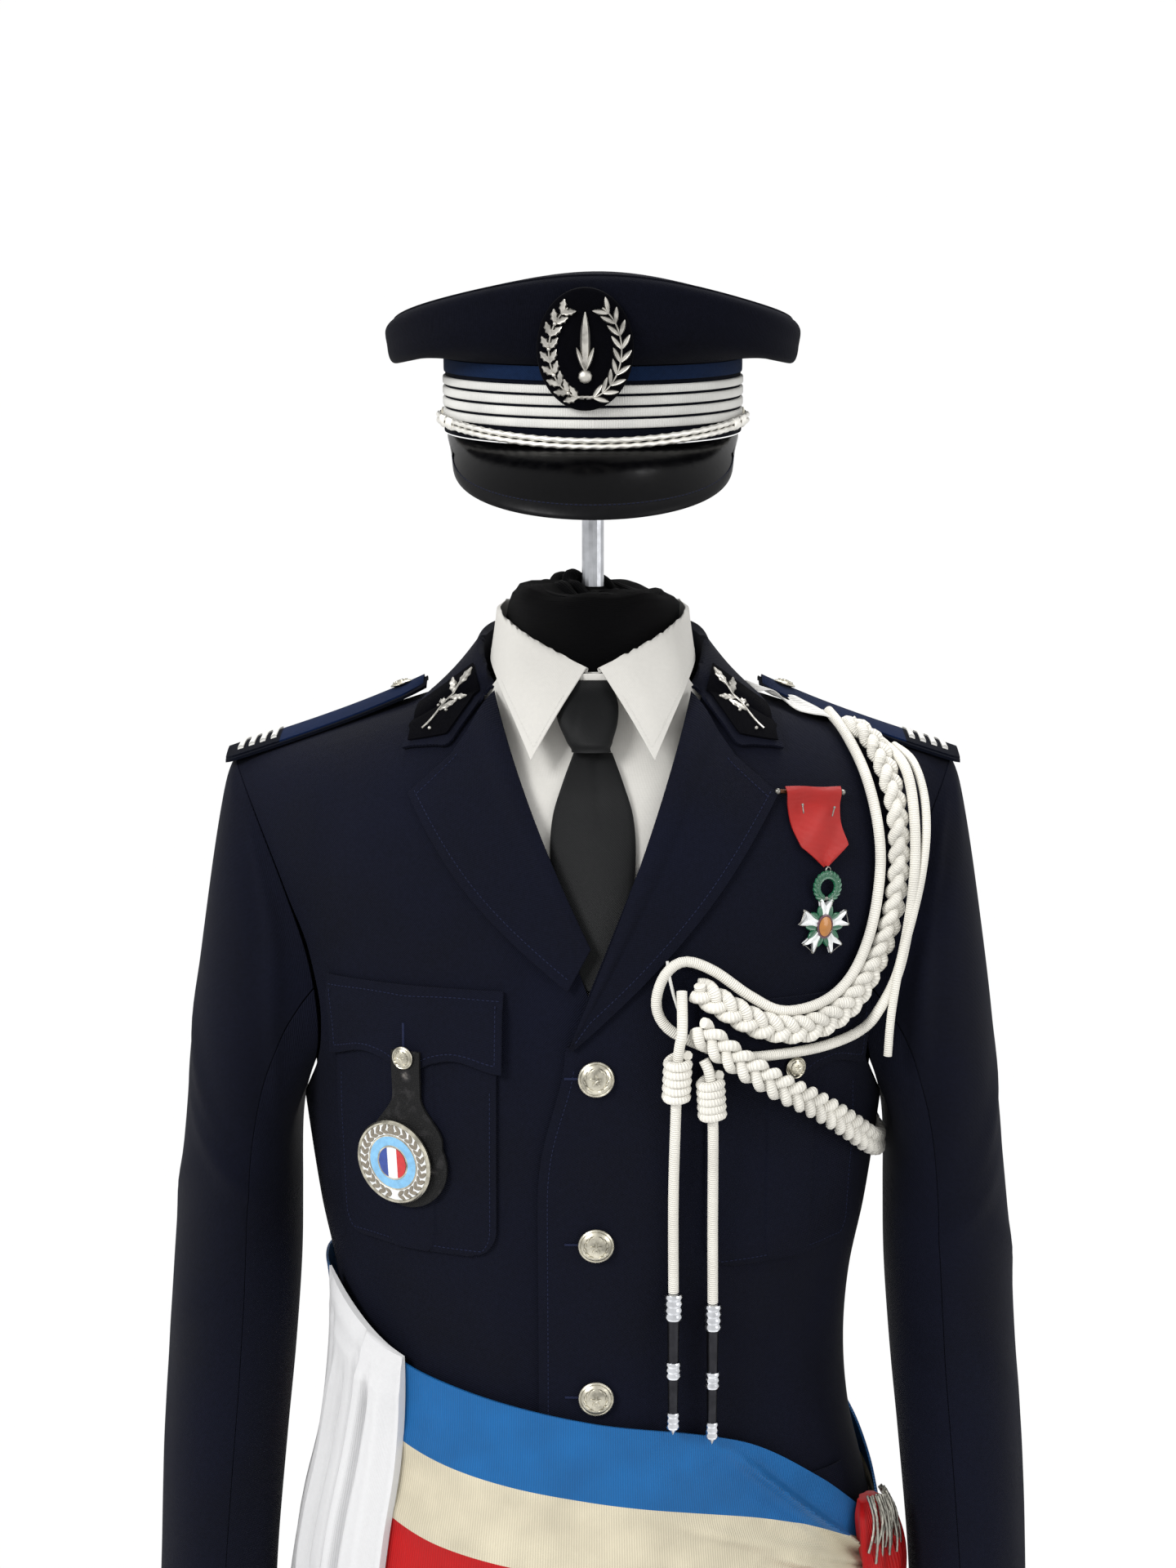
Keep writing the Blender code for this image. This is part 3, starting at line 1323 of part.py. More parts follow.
def make_pendant():
    """The wreath and the five-armed star, one hard piece that swings on the ribbon's ring."""
    normal = outward(MEDAL_X, 1.33)
    across = Vector((0, 0, 1)).cross(normal).normalized()
    hinge = on_torso(MEDAL_X, MEDAL_HINGE_Z, -1, 0.0042)
    outline = []
    for arm in range(5):
        for turn, reach in ((-36, STAR_VALLEY), (-16, STAR_REACH), (0, STAR_NOTCH), (16, STAR_REACH)):
            angle = math.radians(72 * arm + turn)
            outline.append((reach * math.sin(angle), STAR_DROP + reach * math.cos(angle)))
    faces = [[hinge + across * x + Vector((0, 0, y)) + normal * out for x, y in outline]
             for out in (0.0, PENDANT_WALL)]
    star = loft("medal_pendant", faces, "enamel")
    wreath_ring = bmesh.new()
    facing = normal.to_track_quat("Z", "Y").to_matrix().to_4x4()
    middle = hinge + Vector((0, 0, WREATH_DROP)) + normal * PENDANT_WALL / 2
    rims = []
    for k in range(WREATH_STEPS):
        turn = 2 * math.pi * k / WREATH_STEPS
        spoke = Vector((math.cos(turn), math.sin(turn), 0.0))
        rim = []
        for m in range(WREATH_SIDES):
            around_rim = 2 * math.pi * m / WREATH_SIDES
            reach = WREATH_RADIUS + WREATH_WALL * math.cos(around_rim)
            spot = spoke * reach + Vector((0, 0, WREATH_WALL * math.sin(around_rim)))
            rim.append(wreath_ring.verts.new(middle + facing.to_3x3() @ spot))
        rims.append(rim)
    for k in range(WREATH_STEPS):
        here, there = rims[k], rims[(k + 1) % WREATH_STEPS]
        for m in range(WREATH_SIDES):
            n = (m + 1) % WREATH_SIDES
            wreath_ring.faces.new((here[m], there[m], there[n], here[n]))
    join(star, bmesh_object("medal_wreath", wreath_ring, HELPERS))
    stem = bmesh.new()
    size = Vector((0.0026, 0.0048, PENDANT_WALL - 0.0006))
    centre = hinge - Vector((0, 0, size.y / 2)) + normal * PENDANT_WALL / 2
    frame = Matrix((across, Vector((0, 0, 1)), normal)).transposed().to_4x4()
    box = Matrix.Translation(centre) @ frame @ Matrix.Diagonal(size).to_4x4()
    bmesh.ops.create_cube(stem, size=1.0, matrix=box)
    join(star, bmesh_object("medal_stem", stem, HELPERS))


def make_fob():
    """The leather fob on the right pocket's button, and the enamelled badge on it."""
    x0, z0 = FOB_MIDDLE

    def place(u, v):
        z = mix(POCKET_BUTTON_Z + 0.004, z0 - FOB_RADIUS, v)
        round_part = math.sqrt(max(FOB_RADIUS**2 - (z - z0) ** 2, 0.0))
        x = mix(pocket_middle(False) - 0.001, x0, smooth_step(v, 0.1, 0.5))
        return walk(x, z, u * max(round_part, 0.0095 if z > z0 else 0.003)), z

    def under(u, v):
        return mix(FLAP_LIFT + CLOTH + 0.0008, 0.0042, smooth_step(v, 0.10, 0.34))

    down = (0, 0.12, 0.25, 0.36, 0.42, 0.50, 0.64, 0.78, 0.90, 0.97, 1.0)
    patch(
        "fob_leather", place, spread(-1, 1, 6), down,
        under, lambda u, v: under(u, v) + FOB_WALL, "fob_leather", False,
    )
    place = on_torso(-BADGE_MIDDLE[0], BADGE_MIDDLE[1], -1, 0.0042 + FOB_WALL + 0.0007)
    profile = [(0.0, 0.0026), (0.0245, 0.0026), (0.0262, 0.0032), (0.0272, 0.0018), (0.0268, 0.0), (0.0, 0.0)]
    normal = on_torso(-BADGE_MIDDLE[0], BADGE_MIDDLE[1], -1, 1.0) - place
    stand_on(turned("fob_badge", profile, "enamel", 28), place, normal)


# Cap
CAP_STEPS = 24


def cap_frame(place):
    """From the cap's own frame to the uniform's: it sits tilted forward."""
    return Matrix.Rotation(CAP_TILT, 3, "X") @ place + Vector(CAP_CENTRE)


def cap_oval(angle, half_x, front, back, z):
    deep = front if math.cos(angle) > 0 else back
    return Vector((half_x * math.sin(angle), -deep * math.cos(angle), z))


Crown = namedtuple("Crown", "half_x front back z raise_front")
CROWN = (
    Crown(0.0955, 0.1090, 0.1090, 0.0470, 0.000),
    Crown(0.1120, 0.1150, 0.1200, 0.0490, 0.006),
    Crown(0.1270, 0.1200, 0.1310, 0.0520, 0.018),
    Crown(0.1310, 0.1215, 0.1350, 0.0570, 0.030),
    Crown(0.1270, 0.1170, 0.1310, 0.0640, 0.038),
    Crown(0.0950, 0.0880, 0.1000, 0.0730, 0.028),
    Crown(0.0450, 0.0420, 0.0470, 0.0790, 0.009),
    Crown(0.0000, 0.0000, 0.0000, 0.0800, 0.000),
)


def crown_ring(row, depth):
    """A ring of the crown, or of its inner face at a depth under it."""
    inward = max(1 - depth / 0.10, 0.0) if row.half_x > 0.05 else 1.0
    ring = []
    for k in range(CAP_STEPS):
        angle = 2 * math.pi * k / CAP_STEPS
        rise = row.raise_front * (0.5 + 0.5 * math.cos(angle)) ** 2.5
        drop = depth if row.z > 0.060 else (-depth if 0.048 < row.z < 0.053 else 0.0)
        place = cap_oval(angle, row.half_x * inward, row.front * inward, row.back * inward, 0)
        place.z = row.z + rise - drop
        ring.append(cap_frame(place))
    return ring


def crown_place(x, y, depth):
    return cap_frame(Vector((x, y, CROWN[-1].z - depth)))


def make_cap():
    outer = [crown_ring(row, 0.0) for row in CROWN]
    inner = [crown_ring(row, CROWN_WALL) for row in CROWN]
    wall("cap_crown", outer, inner, "navy_cloth", wrap=True)
    grids = []
    for inset in (0.0, 0.0028):
        grid = []
        for z, grow in ((0.0, 0.0), (0.023, 0.0004), (CAP_BAND_HEIGHT, 0.0008)):
            half_x, half_y = CAP_BAND_RADIUS + grow - inset, CAP_BAND_DEPTH + grow - inset
            turns = [2 * math.pi * k / CAP_STEPS for k in range(CAP_STEPS)]
            grid.append([cap_frame(cap_oval(a, half_x, half_y, half_y, z)) for a in turns])
        grids.append(grid)
    wall("cap_band", grids[0], grids[1], "navy_cloth", wrap=True)
    make_visor()
    make_cap_cord()
    make_cap_badge()


def visor_place(u, v, drop):
    """The visor: u runs across it from -1 to 1, v from the band to its edge."""
    inner_turn, outer_turn = math.radians(76) * u, math.radians(88) * u
    near = Vector((CAP_BAND_RADIUS * math.sin(inner_turn), -CAP_BAND_DEPTH * math.cos(inner_turn), 0))
    far = Vector((0.0865 * math.sin(outer_turn), -0.062 - 0.092 * math.cos(outer_turn), 0))
    near.z = -0.0006
    far.z = -0.005 - 0.031 * math.cos(outer_turn) ** 0.6
    place = near.lerp(far, v)
    place.z += 0.006 * math.sin(math.pi * v) * (1 - u * u)
    return cap_frame(place + Vector((0, 0, -drop)))


def make_visor():
    across = spread(-1, 1, 17)
    outer = [[visor_place(u, v, 0.0) for u in across] for v in (0.0, 0.3, 0.65, 0.94, 1.0)]
    inner = [[visor_place(u, v, 0.0022) for u in across] for v in (0.0, 0.3, 0.65, 0.94, 1.0)]
    wall("cap_visor", outer, inner, "patent_leather")


def make_cap_cord():
    """A twisted chin cord from button to button, round the front of the band."""
    reach = CHIN_CORD_LIFT
    route = []
    for turn in spread(-math.radians(80), math.radians(80), 33):
        x, y = (CAP_BAND_RADIUS + reach) * math.sin(turn), -(CAP_BAND_DEPTH + reach) * math.cos(turn)
        route.append(cap_frame(Vector((x, y, 0.0045 + 0.004 * math.sin(turn) ** 2))))

    def radius(i):
        edge = min(i, 32 - i)
        return 0.0042 if 2 <= edge <= 4 else (0.0027 + 0.0004 * (i % 2))

    tube("cap_chin_cord", route, radius, radius, lambda p: Vector((p.x, p.y, 0)), "silver_lace", 5)
    for left in (True, False):
        turn = math.radians(85) * (1 if left else -1)
        x, y = (CAP_BAND_RADIUS + 0.0005) * math.sin(turn), -(CAP_BAND_DEPTH + 0.0005) * math.cos(turn)
        place = cap_frame(Vector((x, y, 0.0085)))
        name = "cap_button_left" if left else "cap_button_right"
        button(name, place, Vector((x, y * 0.8, 0)), SMALL_BUTTON_RADIUS * 0.9)


def make_cap_badge():
    """The oval velvet plate on the front of the cap."""
    rings = []
    for scale, out in ((0.98, 0.0), (1.0, 0.0015), (0.96, 0.0040), (0.55, 0.0048)):
        ring = []
        for k in range(24):
            turn = 2 * math.pi * k / 24
            x, z = 0.0285 * scale * math.sin(turn), 0.0360 * scale * math.cos(turn)
            y = -CAP_BADGE_FRONT - out + 1.0 * x * x - CAP_BADGE_LEAN * z
            ring.append(cap_frame(Vector((x, y, 0.054 + z))))
        rings.append(ring)
    loft("cap_badge", rings, "black_cloth")


def main():
    make_form()
    make_stand()
    make_back()
    make_collar()
    make_shirt_front()
    make_shirt_collar()
    make_tie()
    for left in (True, False):
        make_front(left)
        make_sleeve(left)
        make_lapel(left)
        make_pocket(left)
        make_pocket_flap(left)
        make_lower_flap(left)
        make_epaulette(left)
    make_collar_patches()
    make_buttons()
    make_sash()
    make_sash_end()
    make_gloves()
    make_shoulder_cord()
    make_medal()
    make_fob()
    make_cap()


clear_scene()
UNIFORM = bpy.data.collections.new("police_uniform")
bpy.context.scene.collection.children.link(UNIFORM)
HELPERS = bpy.data.collections.new("helpers")
bpy.context.scene.collection.children.link(HELPERS)
main()
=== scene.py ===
"""The looks of a police dress uniform on a limbless display form.

The cloth is built as thin shells on the frame's own sizes, with its main creases placed one by one.
Metres, +Z up, the wearer faces -Y and the wearer's left is +X.
"""

import math
from collections import namedtuple

import bmesh
import bpy
from mathutils import Matrix, Vector


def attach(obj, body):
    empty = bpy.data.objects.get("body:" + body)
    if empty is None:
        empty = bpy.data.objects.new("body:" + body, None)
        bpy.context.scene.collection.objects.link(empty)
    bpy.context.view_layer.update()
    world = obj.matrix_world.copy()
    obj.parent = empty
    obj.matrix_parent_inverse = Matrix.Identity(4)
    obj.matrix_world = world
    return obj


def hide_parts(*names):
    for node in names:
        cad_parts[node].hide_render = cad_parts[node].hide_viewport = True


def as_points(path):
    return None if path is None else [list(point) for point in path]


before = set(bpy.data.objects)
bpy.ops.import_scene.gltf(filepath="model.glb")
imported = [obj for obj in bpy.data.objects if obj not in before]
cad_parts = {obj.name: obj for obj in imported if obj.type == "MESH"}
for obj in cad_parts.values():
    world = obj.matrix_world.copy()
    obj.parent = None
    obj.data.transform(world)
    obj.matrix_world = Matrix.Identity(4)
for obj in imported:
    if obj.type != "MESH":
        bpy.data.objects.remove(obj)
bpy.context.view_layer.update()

# Sizes that the pieces share with the frame
SEAM_GAP = 0.0005
ARMPIT_GAP = 0.0018
LAYER_GAP = 0.0004
CLOTH = 0.0016
SHIRT_CLOTH = 0.0012
SASH_CLOTH = 0.0016
STEP = 0.0005
HEM_HEIGHT = 0.720
ARMPIT_HEIGHT = 1.190
NECK_HALF_WIDTH = 0.072
NECK_POINT_HEIGHT = 1.467
SHOULDER_SLOPE = 0.318
SHOULDER_ROUND = 0.130
RIDGE_POWER = 2.2
BREAK_X, BREAK_Z = -0.017, 1.246
GORGE_X, GORGE_Z = 0.062, 1.462
LAPEL_TIP_X, LAPEL_TIP_Z = 0.1150, 1.4030
OVERLAP_LEFT, OVERLAP_RIGHT = -0.034, 0.030
RIGHT_BREAK_X = 0.010
LAPEL_FOOT_INNER = (-0.0010, 1.3075)
LAPEL_FOOT_OUTER = (0.0110, 1.2830)
FRONT_BUTTONS = ((1.233, 0.0003), (1.126, 0.0006), (1.0235, 0.0012))
FRONT_BUTTON_X, FRONT_BUTTON_RADIUS, SMALL_BUTTON_RADIUS = 0.002, 0.0112, 0.0072
FORM_BOTTOM, FORM_MARGIN = 0.765, 0.010
COLLAR_LIFT, COLLAR_WALL, COLLAR_FOOT = 0.0014, 0.0022, 1.4685
POCKET_LEFT_X, POCKET_RIGHT_X = 0.1220, 0.1130
POCKET_HALF_WIDTH, PLEAT_SHARE = 0.058, 0.30
FLAP_HALF_WIDTH, FLAP_TOP, FLAP_LIFT, POCKET_LIFT = 0.062, 1.2860, 0.0038, 0.0008
POCKET_BUTTON_Z = FLAP_TOP - 0.044
EPAULETTE_START, EPAULETTE_STOP, EPAULETTE_Y = 0.1080, 0.2385, 0.002
EPAULETTE_LIFT, UNDERLAY_TOP, EPAULETTE_WALL, BOARD_CROWN = 0.0016, 0.0035, 0.0052, 0.0005
RANK_BARS, BAR_HALF, BAR_REACH, BLACK_END = (0.760, 0.815, 0.870, 0.925), 0.014, (-0.60, 0.84), 0.72
SASH_LIFT = 0.0048
GLOVE_LIFT = SASH_LIFT + SASH_CLOTH + 0.0010
HIP_ANGLE = 68
FOB_WALL, FOB_MIDDLE, FOB_RADIUS = 0.0020, (0.1130, 1.1720), 0.0275
BADGE_MIDDLE = (0.1195, 1.1740)
MEDAL_X, MEDAL_HINGE_Z = 0.1427, 1.3560
CAP_TILT, CAP_CENTRE = math.radians(6), (0.0, 0.0, 1.625)
CAP_BAND_RADIUS, CAP_BAND_DEPTH, CAP_BAND_HEIGHT = 0.0945, 0.108, 0.046
CAP_BADGE_FRONT, CAP_BADGE_LEAN, CHIN_CORD_LIFT = 0.1180, 0.19, 0.0045
BADGE_HALF_WIDTH, BADGE_HALF_HEIGHT = 0.0285, 0.0360
CORD_RADIUS = 0.0033


def rows_of(kind, *rows):
    """A table whose rows have the named columns of a kind."""
    return tuple(kind(*row) for row in rows)


Section = namedtuple("Section", "at half_width front back")
TUNIC = rows_of(
    Section,
    (0.640, 0.216, 0.136, 0.130), (0.720, 0.210, 0.134, 0.128), (0.800, 0.204, 0.132, 0.125),
    (0.860, 0.197, 0.130, 0.122), (0.920, 0.186, 0.127, 0.115), (0.970, 0.174, 0.123, 0.105),
    (1.020, 0.1695, 0.120, 0.098), (1.070, 0.1725, 0.122, 0.100), (1.120, 0.1820, 0.128, 0.107),
    (1.190, 0.1915, 0.134, 0.115), (1.240, 0.197, 0.135, 0.118), (1.290, 0.206, 0.132, 0.119),
    (1.330, 0.219, 0.127, 0.119), (1.380, 0.240, 0.120, 0.118), (1.430, 0.262, 0.114, 0.116),
    (1.520, 0.290, 0.106, 0.112),
)
Edge = namedtuple("Edge", "at front back")
ARMHOLE = rows_of(
    Edge,
    (0.00, 0.1915, 0.1915), (0.06, 0.1835, 0.1860), (0.20, 0.1740, 0.1800), (0.40, 0.1790, 0.1850),
    (0.60, 0.1945, 0.1990), (0.80, 0.2130, 0.2160), (1.00, 0.2325, 0.2325),
)
Ring = namedtuple("Ring", "at outer_x outer_z inner_x inner_z depth middle cling")
SLEEVE = rows_of(
    Ring,
    (0, 0.2340, 1.4150, 0.1926, 1.189, 0.078, 0.000, 1.00),
    (1, 0.2400, 1.4000, 0.1945, 1.181, 0.079, 0.000, 0.80),
    (2, 0.2460, 1.3680, 0.1958, 1.171, 0.080, -0.001, 0.50),
    (3, 0.2535, 1.3180, 0.1962, 1.158, 0.079, -0.002, 0.24),
    (4, 0.2625, 1.2500, 0.1958, 1.140, 0.077, -0.004, 0.08),
    (5, 0.2690, 1.1800, 0.1955, 1.115, 0.073, -0.006, 0.00),
    (6, 0.2775, 1.1000, 0.1965, 1.070, 0.069, -0.008, 0.00),
    (7, 0.2825, 1.0200, 0.2010, 1.010, 0.066, -0.013, 0.00),
    (8, 0.2870, 0.9500, 0.2070, 0.950, 0.064, -0.019, 0.00),
    (9, 0.2905, 0.8700, 0.2140, 0.870, 0.062, -0.027, 0.00),
    (10, 0.2930, 0.7900, 0.2170, 0.790, 0.060, -0.036, 0.00),
)
Place = namedtuple("Place", "at x y z")
COLLAR_FOLD = rows_of(
    Place,
    (0.00, 0.0625, -0.0480, 1.4630), (0.15, 0.0685, -0.0350, 1.4740), (0.35, 0.0725, -0.0050, 1.4880),
    (0.55, 0.0655, 0.0340, 1.4960), (0.75, 0.0410, 0.0590, 1.5020), (1.00, 0.0000, 0.0700, 1.5050),
)
COLLAR_EDGE = rows_of(
    Place,
    (0.00, 0.1185, -0.0680, 0.0), (0.15, 0.1130, -0.0450, 0.0), (0.35, 0.0985, -0.0050, 0.0),
    (0.55, 0.0870, 0.0390, 0.0), (0.75, 0.0570, 0.0740, 0.0), (1.00, 0.0000, 0.0870, 0.0),
)
SHIRT_FOLD = rows_of(
    Place,
    (0.00, 0.0035, -0.0690, 1.4775), (0.12, 0.0220, -0.0640, 1.4860), (0.30, 0.0480, -0.0440, 1.5000),
    (0.50, 0.0608, -0.0050, 1.5110), (0.70, 0.0500, 0.0370, 1.5145), (0.85, 0.0280, 0.0550, 1.5160),
    (1.00, 0.0000, 0.0610, 1.5160),
)
SHIRT_EDGE = rows_of(
    Place,
    (0.00, 0.0375, -0.1080, 1.4240), (0.12, 0.0440, -0.0950, 1.4380), (0.30, 0.0570, -0.0640, 1.4640),
    (0.50, 0.0650, -0.0100, 1.4800), (0.70, 0.0555, 0.0385, 1.4790), (0.85, 0.0315, 0.0580, 1.4760),
    (1.00, 0.0000, 0.0650, 1.4740),
)
Knot = namedtuple("Knot", "at half_width middle half_depth shift")
TIE_KNOT = rows_of(
    Knot,
    (1.4281, 0.0124, -0.0965, 0.0058, -0.001), (1.4340, 0.0140, -0.0945, 0.0082, -0.002),
    (1.4450, 0.0182, -0.0880, 0.0090, -0.003), (1.4560, 0.0196, -0.0798, 0.0066, -0.004),
    (1.4640, 0.0180, -0.0730, 0.0046, -0.005), (1.4700, 0.0150, -0.0712, 0.0034, -0.005),
)
Blade = namedtuple("Blade", "at half_width")
TIE_BLADE = rows_of(
    Blade,
    (1.285, 0.0215), (1.320, 0.0235), (1.365, 0.0265), (1.390, 0.0250), (1.410, 0.0190),
    (1.4275, 0.0122),
)
Stripe = namedtuple("Stripe", "at top bottom")
SASH = rows_of(
    Stripe,
    (-105, 1.0790, 0.944), (-90, 1.0775, 0.934), (-73, 1.0700, 0.920), (-47, 1.0377, 0.888),
    (-30, 1.0255, 0.870), (0, 1.0085, 0.858), (22, 0.9980, 0.846), (37, 0.9832, 0.842),
    (54, 0.9505, 0.846), (68, 0.9180, 0.852), (78, 0.9040, 0.864), (88, 0.9180, 0.862),
    (100, 0.9520, 0.856), (125, 0.9900, 0.858), (180, 1.0300, 0.885), (225, 1.0600, 0.922),
    (255, 1.0790, 0.944),
)
Bulge = namedtuple("Bulge", "at half_width half_depth shift")
SASH_KNOT = rows_of(
    Bulge,
    (0.854, 0.013, 0.005, 0.000), (0.864, 0.020, 0.008, 0.000), (0.882, 0.026, 0.0095, 0.000),
    (0.900, 0.026, 0.0095, 0.000), (0.918, 0.020, 0.008, 0.000), (0.926, 0.010, 0.005, 0.000),
)
SASH_TAIL = rows_of(
    Bulge,
    (0.650, 0.042, 0.0050, 0.002), (0.690, 0.040, 0.0055, 0.002), (0.740, 0.034, 0.0055, 0.001),
    (0.790, 0.027, 0.0050, 0.000), (0.835, 0.020, 0.0050, 0.000), (0.8535, 0.012, 0.0045, 0.000),
)
Crown = namedtuple("Crown", "at half_x front back z raise_front")
CROWN = rows_of(
    Crown,
    (0, 0.0955, 0.1090, 0.1090, 0.0465, 0.000), (1, 0.1120, 0.1150, 0.1200, 0.0475, 0.006),
    (2, 0.1255, 0.1195, 0.1305, 0.0490, 0.018), (3, 0.1305, 0.1215, 0.1350, 0.0545, 0.029),
    (4, 0.1280, 0.1170, 0.1310, 0.0625, 0.035), (5, 0.0950, 0.0880, 0.1000, 0.0730, 0.026),
    (6, 0.0450, 0.0420, 0.0470, 0.0790, 0.009), (7, 0.0000, 0.0000, 0.0000, 0.0800, 0.000),
)
Route = namedtuple("Route", "x z lift")
CORD_LOOP = rows_of(
    Route,
    (0.1490, 1.4400, 0.0065), (0.1585, 1.4300, 0.0050), (0.1690, 1.4075, 0.0050),
    (0.1755, 1.3790, 0.0050), (0.1765, 1.3500, 0.0050), (0.1700, 1.3150, 0.0060),
    (0.1565, 1.2885, 0.0080), (0.1375, 1.2745, 0.0095), (0.1125, 1.2715, 0.0095),
    (0.0930, 1.2820, 0.0090), (0.0712, 1.2985, 0.0070), (0.0538, 1.3045, 0.0070),
    (0.0420, 1.2960, 0.0070), (0.0375, 1.2790, 0.0060), (0.0440, 1.2650, 0.0060),
    (0.0600, 1.2555, 0.0085), (0.0840, 1.2460, 0.0100), (0.1130, 1.2450, 0.0100),
    (0.1390, 1.2465, 0.0100), (0.1600, 1.2520, 0.0110),
)
CORD_LOOP_END = (
    (0.1790, -0.0870, 1.2640),
    (0.1925, -0.0810, 1.2907),
    (0.2005, -0.0770, 1.3393),
    (0.2015, -0.0700, 1.3813),
    (0.1970, -0.0560, 1.4130),
    (0.1850, -0.0290, 1.4265),
)
PLAIT_UPPER = rows_of(
    Route,
    (0.1600, 1.4345, 0.0055), (0.1745, 1.4230, 0.0080), (0.1850, 1.3950, 0.0080),
    (0.1872, 1.3590, 0.0080), (0.1825, 1.3230, 0.0080), (0.1700, 1.2930, 0.0090),
    (0.1510, 1.2705, 0.0120), (0.1265, 1.2600, 0.0125), (0.1000, 1.2640, 0.0125),
    (0.0790, 1.2760, 0.0115), (0.0610, 1.2885, 0.0090),
)
PLAIT_LOWER = rows_of(
    Route,
    (0.0590, 1.2660, 0.0180), (0.0790, 1.2480, 0.0200), (0.1040, 1.2290, 0.0200),
    (0.1290, 1.2120, 0.0160), (0.1520, 1.1930, 0.0115), (0.1690, 1.1760, 0.0085),
)
PLAIT_UNDER = ((72, 1.1660, 0.0056), (84, 1.1590, 0.0042), (96, 1.1590, 0.0042), (108, 1.1680, 0.0056))
PLAIT_BACK = rows_of(
    Route,
    (0.1700, 1.1860, 0.0080), (0.1640, 1.2300, 0.0080), (0.1680, 1.2900, 0.0080),
    (0.1740, 1.3500, 0.0080), (0.1740, 1.4000, 0.0080), (0.1640, 1.4300, 0.0080),
)
PENDANT_CORDS = (
    rows_of(
        Route,
        (0.0516, 1.2875, 0.0115), (0.0503, 1.2660, 0.0190), (0.0488, 1.2540, 0.0175),
        (0.0483, 1.2360, 0.0120), (0.0484, 1.2200, 0.0110), (0.0480, 1.1600, 0.0070),
        (0.0484, 1.0965, 0.0075),
    ),
    rows_of(
        Route,
        (0.0635, 1.2465, 0.0150), (0.0660, 1.2400, 0.0165), (0.0672, 1.2300, 0.0170),
        (0.0674, 1.2180, 0.0165), (0.0690, 1.2030, 0.0150), (0.0712, 1.1400, 0.0090),
        (0.0720, 1.0875, 0.0085),
    ),
)
KNOT_SPANS = ((1.2225, 1.2505), (1.2090, 1.2360))


# Curves through the tables
CURVES = {}


def curve(table, column, at):
    """A column of a table at a place between its rows, along a smooth cubic."""
    key = (id(table), column)
    if key not in CURVES:
        places = [row.at for row in table]
        values = [getattr(row, column) for row in table]
        slopes = []
        for k in range(len(places)):
            low, high = max(k - 1, 0), min(k + 1, len(places) - 1)
            slopes.append((values[high] - values[low]) / (places[high] - places[low]))
        CURVES[key] = (places, values, slopes)
    places, values, slopes = CURVES[key]
    at = min(max(at, places[0]), places[-1])
    i = 0
    while i < len(places) - 2 and at > places[i + 1]:
        i += 1
    span = places[i + 1] - places[i]
    u = (at - places[i]) / span
    return (
        (2 * u**3 - 3 * u**2 + 1) * values[i]
        + (u**3 - 2 * u**2 + u) * span * slopes[i]
        + (3 * u**2 - 2 * u**3) * values[i + 1]
        + (u**3 - u**2) * span * slopes[i + 1]
    )


def spread(low, high, count):
    return [low + (high - low) * i / (count - 1) for i in range(count)]


def turns(count):
    """The angles of a full round in even steps."""
    return [2 * math.pi * k / count for k in range(count)]


def running(points):
    """The length run at each point of a line."""
    run = [0.0]
    for a, b in zip(points, points[1:]):
        run.append(run[-1] + (b - a).length)
    return run


def mix(a, b, share):
    return a + (b - a) * share


def smooth_step(value, low, high):
    u = min(max((value - low) / (high - low), 0.0), 1.0)
    return u * u * (3 - 2 * u)


def table_place(table, at):
    return Vector((curve(table, "x", at), curve(table, "y", at), curve(table, "z", at)))


# Creases placed one by one: middle, turn in degrees, half length, half width and depth in metres
Crease = namedtuple("Crease", "a b turn length width depth")
FRONT_CREASES = rows_of(
    Crease,
    (0.150, 1.100, 78, 0.080, 0.010, -0.0016), (0.112, 1.060, 84, 0.060, 0.008, -0.0011),
    (-0.135, 1.085, 96, 0.075, 0.010, -0.0015), (-0.085, 1.050, 92, 0.045, 0.007, -0.0008),
    (0.165, 1.215, 60, 0.055, 0.011, -0.0018), (-0.158, 1.240, 118, 0.060, 0.011, -0.0020),
    (-0.175, 1.330, 74, 0.070, 0.012, -0.0016), (0.186, 1.340, 104, 0.060, 0.012, -0.0014),
    (-0.040, 1.170, 100, 0.040, 0.009, 0.0006), (0.060, 1.175, 82, 0.050, 0.010, 0.0007),
    (-0.120, 1.400, 20, 0.045, 0.010, -0.0007), (0.100, 0.800, 88, 0.070, 0.016, 0.0018),
    (-0.090, 0.790, 93, 0.060, 0.018, 0.0016),
)
BACK_CREASES = rows_of(
    Crease,
    (0.000, 1.020, 90, 0.200, 0.004, -0.0012), (0.120, 1.080, 76, 0.080, 0.012, -0.0018),
    (-0.125, 1.060, 103, 0.090, 0.012, -0.0020), (0.070, 1.030, 15, 0.050, 0.010, -0.0014),
    (-0.060, 1.012, 168, 0.060, 0.009, -0.0013), (0.150, 1.250, 62, 0.070, 0.012, -0.0018),
    (-0.150, 1.240, 119, 0.065, 0.012, -0.0020), (0.090, 1.380, 35, 0.050, 0.012, -0.0009),
    (-0.085, 1.390, 146, 0.055, 0.012, -0.0010), (0.095, 0.800, 92, 0.080, 0.018, 0.0018),
    (-0.105, 0.790, 87, 0.070, 0.016, 0.0020),
)
